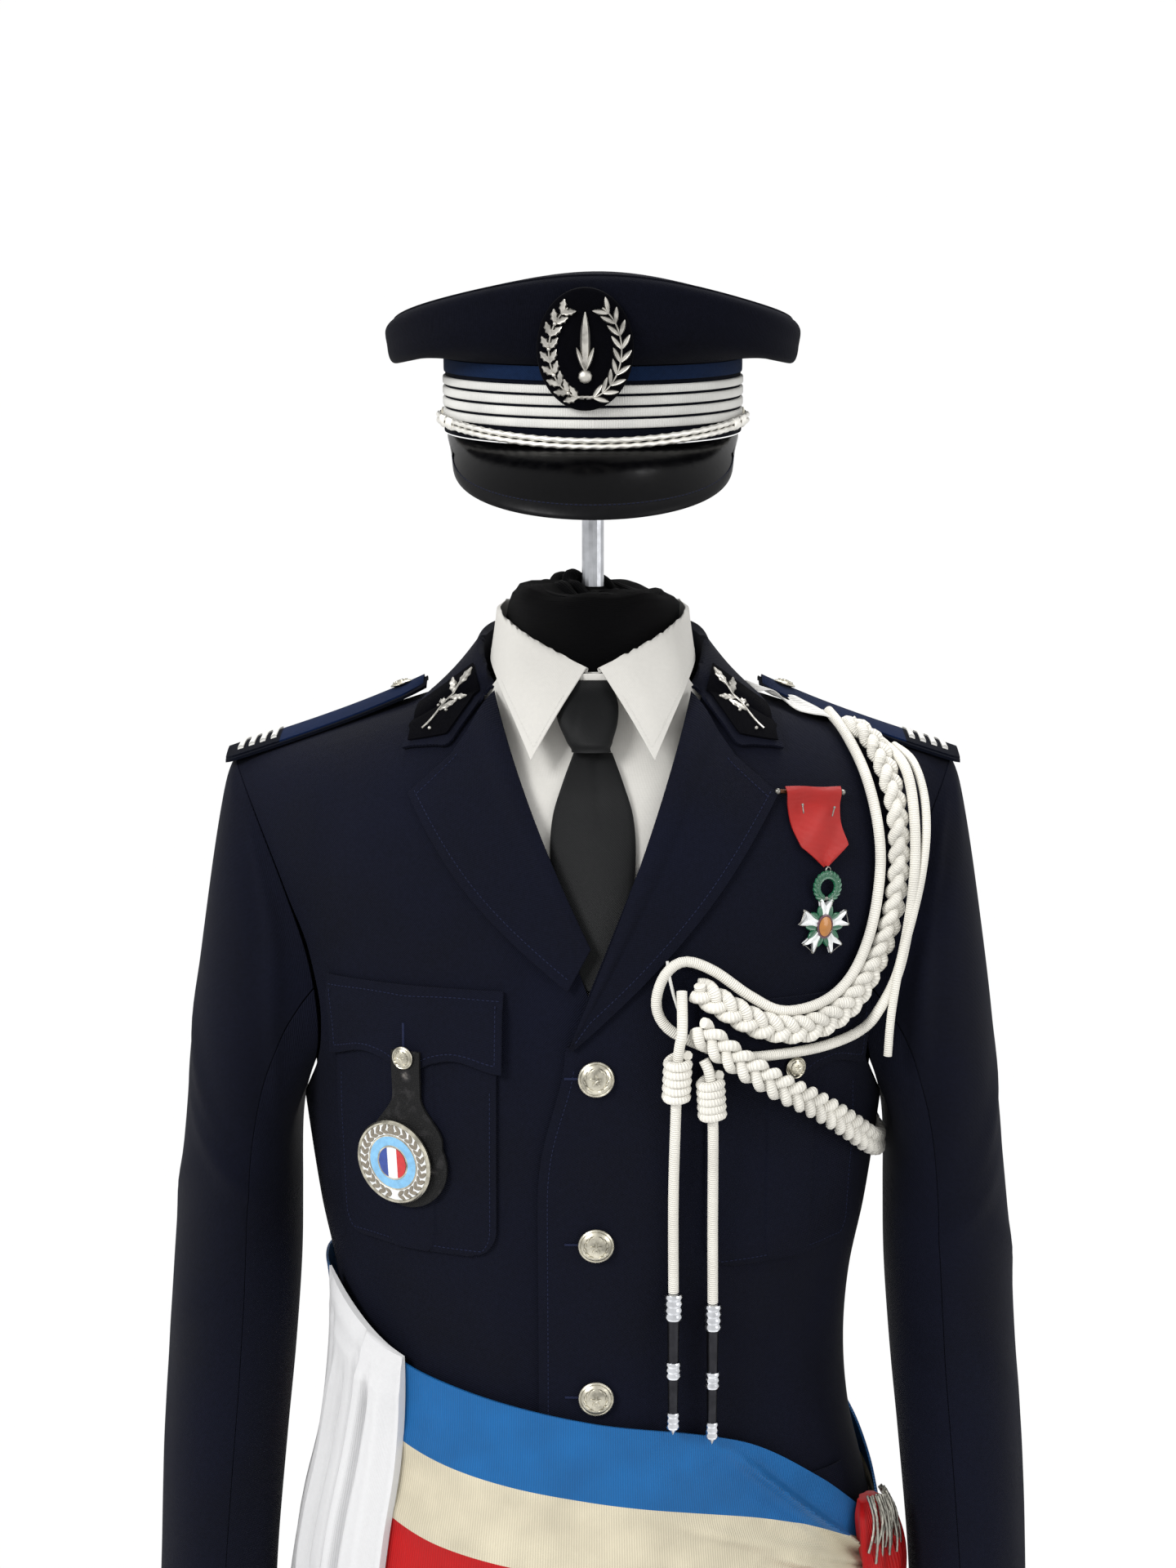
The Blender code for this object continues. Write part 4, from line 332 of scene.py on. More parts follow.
# On a sleeve: a is the length round it from the shoulder line, b the length down it
SLEEVE_CREASES = rows_of(
    Crease,
    (0.070, 0.060, 62, 0.060, 0.010, -0.0022), (0.030, 0.045, 84, 0.050, 0.009, -0.0014),
    (0.115, 0.130, 70, 0.080, 0.012, -0.0030), (0.060, 0.300, 28, 0.050, 0.011, -0.0022),
    (0.095, 0.335, 12, 0.055, 0.010, -0.0026), (0.040, 0.370, 150, 0.045, 0.010, -0.0018),
    (0.085, 0.430, 164, 0.050, 0.012, -0.0020), (0.020, 0.500, 80, 0.080, 0.014, -0.0014),
    (-0.070, 0.070, 112, 0.060, 0.011, -0.0022), (-0.100, 0.180, 98, 0.080, 0.012, -0.0022),
    (-0.060, 0.340, 158, 0.055, 0.010, -0.0020), (-0.040, 0.480, 96, 0.080, 0.014, -0.0014),
)


def creased(table, a, b):
    """The sum of a table's creases at a place of the cloth."""
    total = 0.0
    for crease in table:
        da, db = a - crease.a, b - crease.b
        if abs(da) + abs(db) > 3 * (crease.length + crease.width):
            continue
        turn = math.radians(crease.turn)
        along = (da * math.cos(turn) + db * math.sin(turn)) / crease.length
        bend = 0.25 * crease.length * along * along * (1 if crease.a > 0 else -1)
        across = (-da * math.sin(turn) + db * math.cos(turn) + bend * 0.3) / crease.width
        total += crease.depth * math.exp(-along * along - across * across)
    return total


# The torso's surface
def shoulder_height(x):
    return NECK_POINT_HEIGHT - (abs(x) - NECK_HALF_WIDTH) * SHOULDER_SLOPE


def torso(x, z, side=-1):
    half = curve(TUNIC, "half_width", z)
    depth = curve(TUNIC, "front" if side < 0 else "back", z)
    dome = math.sqrt(1 - min(abs(x) / half, 1.0) ** 2)
    fall = min(max((shoulder_height(x) - z) / SHOULDER_ROUND, 0.0), 1.0)
    ridge = (1 - (1 - fall) ** RIDGE_POWER) ** (1 / RIDGE_POWER)
    return Vector((x, side * (SEAM_GAP / 2 + depth * dome * ridge), z))


def on_torso(x, z, side=-1, lift=0.0):
    """A point of the torso's smooth surface, moved out along its normal."""
    along = torso(x + STEP, z, side) - torso(x - STEP, z, side)
    up = torso(x, z + STEP, side) - torso(x, z - STEP, side)
    normal = along.cross(up).normalized() * -side
    return torso(x, z, side) + normal * lift


def skin(x, z, side=-1, lift=0.0):
    """The same with the cloth's creases, which die out towards the shoulder seam and the sides."""
    table = FRONT_CREASES if side < 0 else BACK_CREASES
    edge = 1 - smooth_step(abs(x) / curve(TUNIC, "half_width", z), 0.90, 0.99)
    ease = edge * smooth_step(shoulder_height(x) - z, 0.005, 0.05)
    return on_torso(x, z, side, lift + creased(table, x, z) * ease)


def outward(x, z):
    normal = on_torso(x, z, -1, 1.0) - torso(x, z)
    normal.z = 0.0
    return normal.normalized()


def around(angle, z, lift=0.0):
    """A point round the torso: 0 degrees is the front, 90 the wearer's left, 180 the back."""
    turn = math.radians(angle)
    half, front = curve(TUNIC, "half_width", z), curve(TUNIC, "front", z)
    deep = front if math.cos(turn) > 0 else curve(TUNIC, "back", z)
    normal = Vector((deep * math.sin(turn), -half * math.cos(turn), 0.0)).normalized()
    return Vector((half * math.sin(turn), -deep * math.cos(turn), z)) + normal * lift


def walk(x, z, distance):
    """The x that lies a distance along the front from x, measured on the cloth."""
    parts = 8
    for _ in range(parts):
        slope = (torso(x + STEP, z).y - torso(x - STEP, z).y) / (2 * STEP)
        x += distance / parts / math.hypot(1.0, slope)
    return x


def shoulder_place(x, y, lift=0.0):
    """The point of the shoulder above a place of the plan, moved up."""
    side = -1 if y < 0 else 1
    low, high = 1.30, shoulder_height(x)
    for _ in range(20):
        middle = (low + high) / 2
        if abs(torso(x, middle, side).y) > abs(y):
            low = middle
        else:
            high = middle
    return Vector((x, y, low + lift))


# Grids of points and the shells made of them
def flipped(grid):
    return [[Vector((-p.x, p.y, p.z)) for p in row] for row in grid]


def mirrored(grid, left):
    return grid if left else flipped(grid)


def grid_normals(grid, inside, wrap=False):
    """The normal at each point of a grid, on the side that mostly faces away from what inside gives."""
    rows, columns = len(grid), len(grid[0])
    normals, agreed = [], 0.0
    for r in range(rows):
        row = []
        for c in range(columns):
            if wrap:
                across = grid[r][(c + 1) % columns] - grid[r][c - 1]
            else:
                across = grid[r][min(c + 1, columns - 1)] - grid[r][max(c - 1, 0)]
            down = grid[min(r + 1, rows - 1)][c] - grid[max(r - 1, 0)][c]
            normal = across.cross(down)
            agreed += normal.dot(grid[r][c] - inside(grid[r][c]))
            row.append(normal.normalized())
        normals.append(row)
    return normals if agreed > 0 else [[-normal for normal in row] for row in normals]


def body_axis(place):
    """A point inside the body, level with a place and well behind its surface."""
    return Vector((place.x * 0.35, 0.0, min(place.z, 1.40)))


def moved(grid, normals, distance):
    return [[p + n * distance for p, n in zip(row, way)] for row, way in zip(grid, normals)]


def cloth_sizes(grid, wrap=False):
    """The width, length and area of a grid, as the cloth was cut."""
    rows, columns = len(grid), len(grid[0])
    across = columns if wrap else columns - 1
    widths = [sum((row[(c + 1) % columns] - row[c]).length for c in range(across)) for row in grid]
    lengths = [
        sum((grid[r + 1][c] - grid[r][c]).length for r in range(rows - 1)) for c in range(columns)
    ]
    area = 0.0
    for r in range(rows - 1):
        for c in range(across):
            d = (c + 1) % columns
            a = (grid[r][d] - grid[r][c]).cross(grid[r + 1][c] - grid[r][c]).length / 2
            b = (grid[r + 1][c] - grid[r + 1][d]).cross(grid[r][d] - grid[r + 1][d]).length / 2
            area += a + b
    return max(widths), max(lengths), area


def finish_piece(made, body="uniform", nodes=()):
    """Says which body a piece moves with and which nodes it stands for."""
    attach(made, body)
    if nodes:
        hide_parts(*nodes)
    return made


def new_object(name, mesh, materials):
    for material in materials if isinstance(materials, (list, tuple)) else [materials]:
        mesh.materials.append(material)
    made = bpy.data.objects.new(name, mesh)
    bpy.context.scene.collection.objects.link(made)
    return made


def mesh_object(name, points, faces, uvs, colours, sharp, materials):
    """A mesh with even outward normals, its UVs in metres and edges sharp above an angle."""
    mesh = bpy.data.meshes.new(name)
    mesh.from_pydata([tuple(p) for p in points], [], faces)
    layer = mesh.uv_layers.new(name="cloth")
    layer.data.foreach_set("uv", [value for uv in uvs for value in uv])
    mesh.polygons.foreach_set("material_index", colours)
    fixed = bmesh.new()
    fixed.from_mesh(mesh)
    bmesh.ops.recalc_face_normals(fixed, faces=fixed.faces)
    fixed.to_mesh(mesh)
    fixed.free()
    mesh.shade_smooth()
    mesh.set_sharp_from_angle(angle=math.radians(sharp))
    return new_object(name, mesh, materials)


def shell(name, grid, inside, thickness, materials, wrap=False, colour_of=None, rim=0.0004):
    """A thin closed shell whose outer face is the grid. Its UVs are lengths on the cloth in metres."""
    rows, columns = len(grid), len(grid[0])
    inner = moved(grid, grid_normals(grid, inside, wrap), -thickness)
    points = [p for row in grid for p in row] + [p for row in inner for p in row]
    back = rows * columns
    along = running([row[columns // 2] for row in grid])
    round_row = running(grid[rows // 2] + grid[rows // 2][:1])
    faces, uvs, colours = [], [], []

    def add(quad, spots, row):
        faces.append(quad)
        uvs.extend((round_row[c], along[r]) for r, c in spots)
        colours.append(colour_of(row, rows) if colour_of else 0)

    across = columns if wrap else columns - 1
    for r in range(rows - 1):
        for c in range(across):
            d = (c + 1) % columns
            quad = (r * columns + c, r * columns + d, (r + 1) * columns + d, (r + 1) * columns + c)
            spots = [(r, c), (r, c + 1), (r + 1, c + 1), (r + 1, c)]
            add(quad, spots, r)
            add(tuple(back + k for k in reversed(quad)), spots[::-1], r)
    for c in range(across):
        d = (c + 1) % columns
        last = (rows - 1) * columns
        add((c, back + c, back + d, d), [(0, c), (0, c), (0, c + 1), (0, c + 1)], 0)
        foot = [(rows - 1, c + 1), (rows - 1, c + 1), (rows - 1, c), (rows - 1, c)]
        add((last + d, back + last + d, back + last + c, last + c), foot, rows - 2)
    if not wrap:
        for r in range(rows - 1):
            a, b = r * columns, (r + 1) * columns
            add((b, back + b, back + a, a), [(r + 1, 0), (r + 1, 0), (r, 0), (r, 0)], r)
            a, b, c = a + columns - 1, b + columns - 1, columns - 1
            add((a, back + a, back + b, b), [(r, c), (r, c), (r + 1, c), (r + 1, c)], r)
    made = mesh_object(name, points, faces, uvs, colours, 50, materials)
    if rim:
        bevel = made.modifiers.new("Rim", "BEVEL")
        bevel.width = rim
        bevel.segments = 1
        bevel.limit_method = "ANGLE"
        bevel.angle_limit = math.radians(60)
    return made


def cloth_piece(
    name, grid, inside, thickness, material, nodes=(), held="hung", rests=("form_torso",), **kwargs
):
    """A shell of cloth that moves with the uniform and stands for its nodes."""
    made = finish_piece(shell(name, grid, inside, thickness, material, **kwargs), nodes=nodes)
    width, length, area = cloth_sizes(grid, kwargs.get("wrap", False))
    min(area, width * length)
    return made


def smooth_route(points, spacing=0.001, count=None):
    """Points at even spacing, or a number of them, along a smooth curve through given ones."""
    fine = []
    for i in range(len(points) - 1):
        before, start = points[max(i - 1, 0)], points[i]
        stop, after = points[i + 1], points[min(i + 2, len(points) - 1)]
        for k in range(12):
            u = k / 12
            square, cube = 2 * before - 5 * start + 4 * stop - after, 3 * start - before - 3 * stop + after
            fine.append(0.5 * (2 * start + (stop - before) * u + square * u**2 + cube * u**3))
    fine.append(points[-1])
    lengths = running(fine)
    count = count - 1 if count else max(int(round(lengths[-1] / spacing)), 2)
    route, k = [], 0
    for i in range(count + 1):
        goal = lengths[-1] * i / count
        while k < len(fine) - 2 and lengths[k + 1] < goal:
            k += 1
        share = (goal - lengths[k]) / (lengths[k + 1] - lengths[k])
        route.append(fine[k].lerp(fine[k + 1], share))
    return route


def route_length(route):
    return running(route)[-1]


class Shape:
    """Points and faces of one piece, gathered before its mesh is made. UVs are in metres."""

    def __init__(self):
        self.points, self.faces, self.uvs, self.colours = [], [], [], []

    def grid(self, rows, wrap=True, ends=True, colour=0, u_scale=1.0):
        """A tube or a patch through rows of points."""
        first, size = len(self.points), len(rows[0])
        steps = running([row[0] for row in rows])
        for row in rows:
            self.points.extend(row)
        for r in range(len(rows) - 1):
            for c in range(size if wrap else size - 1):
                d = (c + 1) % size
                a, b = first + r * size, first + (r + 1) * size
                self.faces.append((a + c, b + c, b + d, a + d))
                u, v = c / size * u_scale, (c + 1) / size * u_scale
                self.uvs += [(u, steps[r]), (u, steps[r + 1]), (v, steps[r + 1]), (v, steps[r])]
                self.colours.append(colour)
        if ends and wrap:
            last = first + (len(rows) - 1) * size
            self.faces.append(tuple(range(first, first + size)))
            self.faces.append(tuple(range(last + size - 1, last - 1, -1)))
            self.uvs += [(0.0, 0.0)] * size + [(0.0, steps[-1])] * size
            self.colours += [colour, colour]

    def make(self, name, materials, sharp=45):
        return mesh_object(name, self.points, self.faces, self.uvs, self.colours, sharp, materials)


def frames_along(route, out_at):
    """The place, its way across and its way out at each point of a route."""
    found = []
    for i, place in enumerate(route):
        ahead = (route[min(i + 1, len(route) - 1)] - route[max(i - 1, 0)]).normalized()
        across = ahead.cross(out_at(place)).normalized()
        found.append((place, across, across.cross(ahead).normalized()))
    return found


def lean(place):
    """Outward from the body's axis, for a flat cord's broad side."""
    out = Vector((place.x * 0.55, place.y, 0.0))
    out.z = 0.35 * smooth_step(place.z, 1.38, 1.44)
    return out.normalized()


def add_tube(shape, route, radius, out_at, sides=10, colour=0, flat=1.0):
    """A round tube; radius is a number or a function of the point's index."""
    rows = []
    for i, (place, across, out) in enumerate(frames_along(route, out_at)):
        size = radius(i) if callable(radius) else radius
        row = []
        for turn in turns(sides):
            row.append(place + across * size * math.cos(turn) + out * size * flat * math.sin(turn))
        rows.append(row)
    shape.grid(rows, colour=colour, u_scale=0.02)


def add_rope(shape, route, radius, pitch, out_at, plies=2, colour=0, sides=12):
    """A twisted rope whose plies show as helical lobes."""
    rows = []
    for run, (place, across, out) in zip(running(route), frames_along(route, out_at)):
        row = []
        for turn in turns(sides):
            lobe = 1 - 0.30 * abs(math.sin(plies * (turn - 2 * math.pi * run / pitch / plies) / 2)) ** 0.7
            size = radius * lobe
            row.append(place + across * size * math.cos(turn) + out * size * math.sin(turn))
        rows.append(row)
    shape.grid(rows, colour=colour, u_scale=0.02)


def add_lathe(shape, profile, place, normal, steps=32, colour=0):
    """A profile of (radius, height) turned about a normal."""
    side = normal.orthogonal().normalized()
    other = normal.cross(side)
    rows = []
    for radius, height in profile:
        row = []
        for turn in turns(steps):
            spoke = side * math.cos(turn) + other * math.sin(turn)
            row.append(place + normal * height + spoke * max(radius, 0.00002))
        rows.append(row)
    shape.grid(rows, colour=colour, u_scale=0.05)


def add_leaf(shape, base, ahead, normal, length, half_width, height, colour=0, lobes=0):
    """A raised embroidered or cast leaf with a vein down its middle."""
    side = ahead.cross(normal).normalized()
    rows = []
    for s in spread(0, 1, 9 if not lobes else 13):
        wave = 1 + 0.20 * math.cos(2 * math.pi * lobes * s) if lobes else 1.0
        half = half_width * max(math.sin(math.pi * (0.04 + 0.94 * s)), 0.03) ** 0.75 * wave
        middle = base + ahead * length * s
        row = []
        for u, rise in ((-1, 0.0), (-0.62, 0.85), (0, 0.55), (0.62, 0.85), (1, 0.0)):
            dome = height * rise * min(half / half_width, 1.0) ** 0.5
            row.append(middle + side * half * u + normal * dome)
        rows.append(row)
    under = [[p - normal * 0.0002 for p in row] for row in rows]
    ring = [row + low[::-1] for row, low in zip(rows, under)]
    shape.grid(ring, colour=colour, u_scale=0.01)


def add_bead(shape, place, radius, colour=0, normal=Vector((0, 0, 1)), flat=1.0):
    profile = [
        (radius * math.cos(math.radians(a)), radius * flat * math.sin(math.radians(a)))
        for a in (-88, -60, -30, 0, 30, 60, 88)
    ]
    add_lathe(shape, profile, place, normal, 10, colour)


STITCHES = Shape()
WHITE_STITCHES = Shape()


def stitch_along(shape, route, normal_at, pitch=0.0030, length=0.0022, radius=0.00032):
    """A row of thread stitches along a route, half sunk in the cloth."""
    spots = smooth_route(route, pitch)
    for a, b in zip(spots, spots[1:]):
        way = (b - a).normalized()
        middle = (a + b) / 2
        normal = normal_at(middle)
        side = way.cross(normal).normalized()
        half = way * length / 2
        ring = [side * radius, normal * radius, -side * radius, -normal * radius]
        rows = [
            [middle - half + r * 0.25 for r in ring],
            [middle - half * 0.5 + r for r in ring],
            [middle + half * 0.5 + r for r in ring],
            [middle + half + r * 0.25 for r in ring],
        ]
        shape.grid(rows)


# Materials
def shade(red, green, blue):
    """A linear colour from the 0-255 values seen in even light."""
    def part(value):
        value /= 255
        return value / 12.92 if value <= 0.04045 else ((value + 0.055) / 1.055) ** 2.4

    return (part(red), part(green), part(blue), 1.0)


def plain(name, colour, roughness, metallic=0.0, sheen=0.0, coat=0.0, gloss=0.5):
    """A material with its shader's own values set, and the nodes that a caller adds to."""
    material = bpy.data.materials.new(name)
    material.use_nodes = True
    nodes, links = material.node_tree.nodes, material.node_tree.links
    shader = nodes["Principled BSDF"]
    shader.inputs["Base Color"].default_value = colour
    shader.inputs["Roughness"].default_value = roughness
    shader.inputs["Metallic"].default_value = metallic
    shader.inputs["Sheen Weight"].default_value = sheen
    shader.inputs["Sheen Roughness"].default_value = 0.45
    shader.inputs["Coat Weight"].default_value = coat
    shader.inputs["Coat Roughness"].default_value = 0.08
    shader.inputs["Specular IOR Level"].default_value = gloss
    return material, nodes, links, shader


def mapped(nodes, links, source, turn=0.0, scale=(1, 1, 1)):
    coordinates = nodes.new("ShaderNodeTexCoord")
    mapping = nodes.new("ShaderNodeMapping")
    mapping.inputs["Rotation"].default_value = (0.0, 0.0, math.radians(turn))
    mapping.inputs["Scale"].default_value = scale
    links.new(coordinates.outputs[source], mapping.inputs["Vector"])
    return mapping.outputs["Vector"]


def add_wave(nodes, links, vector, period, direction="X"):
    """Even bands whose period is in metres."""
    wave = nodes.new("ShaderNodeTexWave")
    wave.bands_direction = direction
    wave.inputs["Scale"].default_value = 0.314 / period
    links.new(vector, wave.inputs["Vector"])
    return wave.outputs["Fac"]


def add_noise(nodes, links, vector, scale, detail=3.0):
    grain = nodes.new("ShaderNodeTexNoise")
    grain.inputs["Scale"].default_value = scale
    grain.inputs["Detail"].default_value = detail
    links.new(vector, grain.inputs["Vector"])
    return grain.outputs["Fac"]


def add_math(nodes, links, operation, first, second):
    step = nodes.new("ShaderNodeMath")
    step.operation = operation
    for socket, value in zip(step.inputs, (first, second)):
        if isinstance(value, (int, float)):
            socket.default_value = value
        else:
            links.new(value, socket)
    return step.outputs[0]


def add_ramp(nodes, links, factor, stops):
    ramp = nodes.new("ShaderNodeValToRGB")
    while len(ramp.color_ramp.elements) < len(stops):
        ramp.color_ramp.elements.new(0.5)
    for element, (place, colour) in zip(ramp.color_ramp.elements, stops):
        element.position = place
        element.color = colour
    links.new(factor, ramp.inputs["Fac"])
    return ramp.outputs["Color"]


def add_bump(nodes, links, shader, height, distance):
    bump = nodes.new("ShaderNodeBump")
    bump.inputs["Distance"].default_value = distance
    links.new(height, bump.inputs["Height"])
    links.new(bump.outputs["Normal"], shader.inputs["Normal"])


def scaled(colour, share):
    return tuple(channel * share for channel in colour[:3]) + (1.0,)


def grey(value):
    return (value, value, value, 1)


def drive(nodes, links, factor, socket, low, high):
    """Drives a shader's socket between two stops of a ramp."""
    links.new(add_ramp(nodes, links, factor, [low, high]), socket)


def fabric(name, colour, pitch=0.0008, turn=60, relief=0.00012, roughness=0.8, sheen=0.15, vary=0.18,
           gloss=0.12):
    """Woven cloth: fine ribs, a second set across them, uneven dye and light wear."""
    material, nodes, links, shader = plain(name, colour, roughness, sheen=sheen, gloss=gloss)
    vector = mapped(nodes, links, "UV", turn)
    warp = add_wave(nodes, links, vector, pitch)
    weft = add_wave(nodes, links, mapped(nodes, links, "UV", turn + 90), pitch * 1.6)
    ribs = add_math(nodes, links, "ADD", warp, add_math(nodes, links, "MULTIPLY", weft, 0.35))
    place = mapped(nodes, links, "Object")
    cloud = add_noise(nodes, links, place, 14.0)
    fibre = add_noise(nodes, links, place, 420.0, 2.0)
    soft = add_math(nodes, links, "MULTIPLY", cloud, 0.6)
    fine = add_math(nodes, links, "MULTIPLY", fibre, 0.4)
    tone = add_math(nodes, links, "ADD", soft, fine)
    drive(nodes, links, tone, shader.inputs["Base Color"],
          (0.30, scaled(colour, 1 - vary)), (0.70, scaled(colour, 1 + vary)))
    drive(nodes, links, cloud, shader.inputs["Roughness"],
          (0.3, grey(roughness - 0.06)), (0.7, grey(min(roughness + 0.06, 1))))
    height = add_math(nodes, links, "ADD", ribs, add_math(nodes, links, "MULTIPLY", fibre, 1.2))
    add_bump(nodes, links, shader, height, relief)
    return material


def ribbed(name, colour, pitch, direction="X", relief=0.00025, roughness=0.45, sheen=0.2):
    """Silk rep: even ribs one way, with a slight gloss, uneven dye, and painted shade that darkens the rib
    grooves and lightens the crests.
    """
    material, nodes, links, shader = plain(name, colour, roughness, sheen=sheen, gloss=0.25)
    ribs = add_wave(nodes, links, mapped(nodes, links, "UV"), pitch, direction=direction)
    cloud = add_noise(nodes, links, mapped(nodes, links, "Object"), 30.0)
    # Painted shade: the colour follows the ribs, darker in their grooves and lighter on their crests; the
    # cloud adds uneven dye.
    tone = add_math(nodes, links, "ADD", add_math(nodes, links, "MULTIPLY", ribs, 0.35), cloud)
    drive(nodes, links, tone, shader.inputs["Base Color"],
          (0.35, scaled(colour, 0.80)), (0.95, scaled(colour, 1.14)))
    fibre = add_noise(nodes, links, mapped(nodes, links, "Object"), 500.0, 2.0)
    height = add_math(nodes, links, "ADD", ribs, add_math(nodes, links, "MULTIPLY", fibre, 0.5))
    add_bump(nodes, links, shader, height, relief)
    return material


def metal(name, colour, roughness=0.22, wear=0.10, tarnish=0.5, grain=900.0):
    """Metal with fine scratches and darker tarnish in patches."""
    material, nodes, links, shader = plain(name, colour, roughness, metallic=1.0)
    place = mapped(nodes, links, "Object")
    cloud = add_noise(nodes, links, place, 160.0)
    drive(nodes, links, cloud, shader.inputs["Base Color"],
          (0.34, scaled(colour, 1 - tarnish)), (0.62, colour))
    drive(nodes, links, cloud, shader.inputs["Roughness"],
          (0.3, grey(roughness + wear)), (0.7, grey(roughness)))
    add_bump(nodes, links, shader, add_noise(nodes, links, place, grain), 0.00004)
    return material


def glossy(name, colour, roughness=0.25, coat=0.6, relief=0.00006, grain=260.0, gloss=0.5):
    """Enamel, lacquer or patent leather, with slight waviness and dust in its gloss."""
    material, nodes, links, shader = plain(name, colour, roughness, coat=coat, gloss=gloss)
    place = mapped(nodes, links, "Object")
    cloud = add_noise(nodes, links, place, grain)
    drive(nodes, links, cloud, shader.inputs["Base Color"],
          (0.35, scaled(colour, 0.88)), (0.65, scaled(colour, 1.08)))
    drive(nodes, links, cloud, shader.inputs["Roughness"],
          (0.3, grey(roughness)), (0.7, grey(roughness + 0.10)))
    add_bump(nodes, links, shader, cloud, relief)
    return material


def cracked_leather(name):
    """Black leather with fine cracks and patches worn to grey."""
    colour = shade(10, 10, 11)
    material, nodes, links, shader = plain(name, colour, 0.62, gloss=0.20)
    place = mapped(nodes, links, "Object")
    cells = nodes.new("ShaderNodeTexVoronoi")
    cells.feature = "DISTANCE_TO_EDGE"
    cells.inputs["Scale"].default_value = 520.0
    links.new(place, cells.inputs["Vector"])
    worn = add_noise(nodes, links, place, 90.0, 6.0)
    stops = [(0.54, colour), (0.66, shade(34, 33, 34)), (0.76, shade(104, 100, 96))]
    links.new(add_ramp(nodes, links, worn, stops), shader.inputs["Base Color"])
    height = add_math(nodes, links, "MINIMUM", cells.outputs["Distance"], 0.12)
    add_bump(nodes, links, shader, height, 0.0016)
    return material


tunic_cloth = fabric("tunic_twill", shade(9, 11, 23), 0.0011, 63, 0.00022, 0.8, 0.01, 0.30, 0.07)
cap_cloth = fabric("cap_felt", shade(7, 8, 16), 0.0009, 20, 0.00014, 0.9, 0.01, 0.35, 0.04)
velvet = fabric("black_velvet", shade(3, 3, 6), 0.0006, 0, 0.00010, 0.95, 0.01, 0.4, 0.03)
underlay = fabric("underlay_felt", shade(6, 8, 16), 0.0008, 10, 0.00012, 0.92, 0.01, 0.3, 0.04)
board_felt = fabric("board_felt", shade(5, 20, 48), 0.0009, 35, 0.00018, 0.9, 0.02, 0.24, 0.06)
band_blue = fabric("band_blue", shade(12, 26, 50), 0.0009, 35, 0.00012, 0.9, 0.02, 0.25, 0.05)
shirt_cotton = fabric("shirt_poplin", shade(186, 184, 179), 0.0006, 0, 0.00006, 0.75, 0.02, 0.04, 0.15)
glove_cotton = fabric("glove_cotton", shade(196, 196, 197), 0.0007, 0, 0.00008, 0.85, 0.02, 0.04, 0.1)
tie_satin = fabric("tie_satin", shade(11, 12, 13), 0.0007, 45, 0.00012, 0.5, 0.02, 0.2, 0.16)
jersey = fabric("form_jersey", shade(4, 4, 5), 0.0010, 0, 0.00030, 0.9, 0.02, 0.35, 0.04)
cord_white = ribbed("cord_white", shade(216, 213, 204), 0.0014, "Y", 0.00045, 0.6, 0.03)
white_lace = ribbed("white_lace", shade(196, 195, 191), 0.0011, "X", 0.00025, 0.6, 0.05)
loop_satin = ribbed("loop_satin", shade(190, 189, 186), 0.0016, "X", 0.00012, 0.35, 0.1)
silk_blue = ribbed("silk_blue", shade(6, 82, 138), 0.0016, "X", 0.00025, 0.5, 0.04)
silk_cream = ribbed("silk_cream", shade(186, 178, 156), 0.0016, "X", 0.00025, 0.5, 0.04)
silk_red = ribbed("silk_red", shade(158, 1, 4), 0.0016, "X", 0.00025, 0.5, 0.04)
ribbon_red = ribbed("ribbon_red", shade(152, 28, 24), 0.0006, "Y", 0.00014, 0.38, 0.03)
silver = metal("silver_bright", shade(206, 201, 184), 0.26, 0.10, 0.55)
silver_old = metal("silver_old", shade(150, 148, 142), 0.34, 0.14, 0.65)
bullion = metal("bullion_silver", shade(196, 193, 186), 0.40, 0.12, 0.50, 1400.0)
bright_bullion = metal("bullion_bright", shade(232, 230, 224), 0.5, 0.10, 0.15, 1400.0)
grey_bullion = metal("bullion_grey", shade(168, 166, 156), 0.42, 0.12, 0.55, 1400.0)
steel = metal("chrome_steel", shade(214, 216, 220), 0.12, 0.08, 0.25)
dark_steel = metal("dark_steel", shade(56, 56, 60), 0.30, 0.10, 0.3)
aluminium = metal("aluminium_tube", shade(178, 180, 184), 0.32, 0.08, 0.15)
bronze = metal("bronze_bar", shade(96, 62, 44), 0.36, 0.12, 0.45)
patent = glossy("patent_leather", shade(2, 2, 3), 0.16, 0.0, 0.00006, 260.0, 0.10)
binding = glossy("visor_binding", shade(4, 4, 6), 0.36, 0.0, 0.00006, 260.0, 0.10)
enamel_white = glossy("enamel_white", shade(212, 214, 214), 0.22)
enamel_green = glossy("enamel_green", shade(20, 84, 56), 0.24)
enamel_amber = glossy("enamel_amber", shade(160, 100, 26), 0.25)
enamel_plum = glossy("enamel_plum", shade(74, 40, 56), 0.25)
enamel_blue = glossy("enamel_blue", shade(22, 54, 130), 0.22)
enamel_sky = glossy("enamel_sky", shade(110, 164, 200), 0.22)
enamel_red = glossy("enamel_red", shade(176, 18, 24), 0.22)
enamel_grey = glossy("enamel_grey", shade(112, 104, 90), 0.30)
base_paint = glossy("base_paint", shade(48, 48, 50), 0.42, 0.2)
leather = cracked_leather("fob_leather")
thread_dark = fabric("thread_navy", shade(24, 29, 52), 0.0004, 0, 0.00004, 0.7, 0.02, 0.1, 0.1)
thread_white = fabric("thread_white", shade(196, 195, 190), 0.0004, 0, 0.00004, 0.7, 0.02, 0.05, 0.1)


# The camera stands where the photograph was taken from
PHOTO_WIDTH, PHOTO_HEIGHT, FOCAL_PIXELS, MIDDLE_PIXEL = 1440, 1920, 2750, 726
CAMERA_PLACE, CAMERA_PITCH, SENSOR_HEIGHT = (0.0, -1.46, 1.60), 90 - 8, 36.0


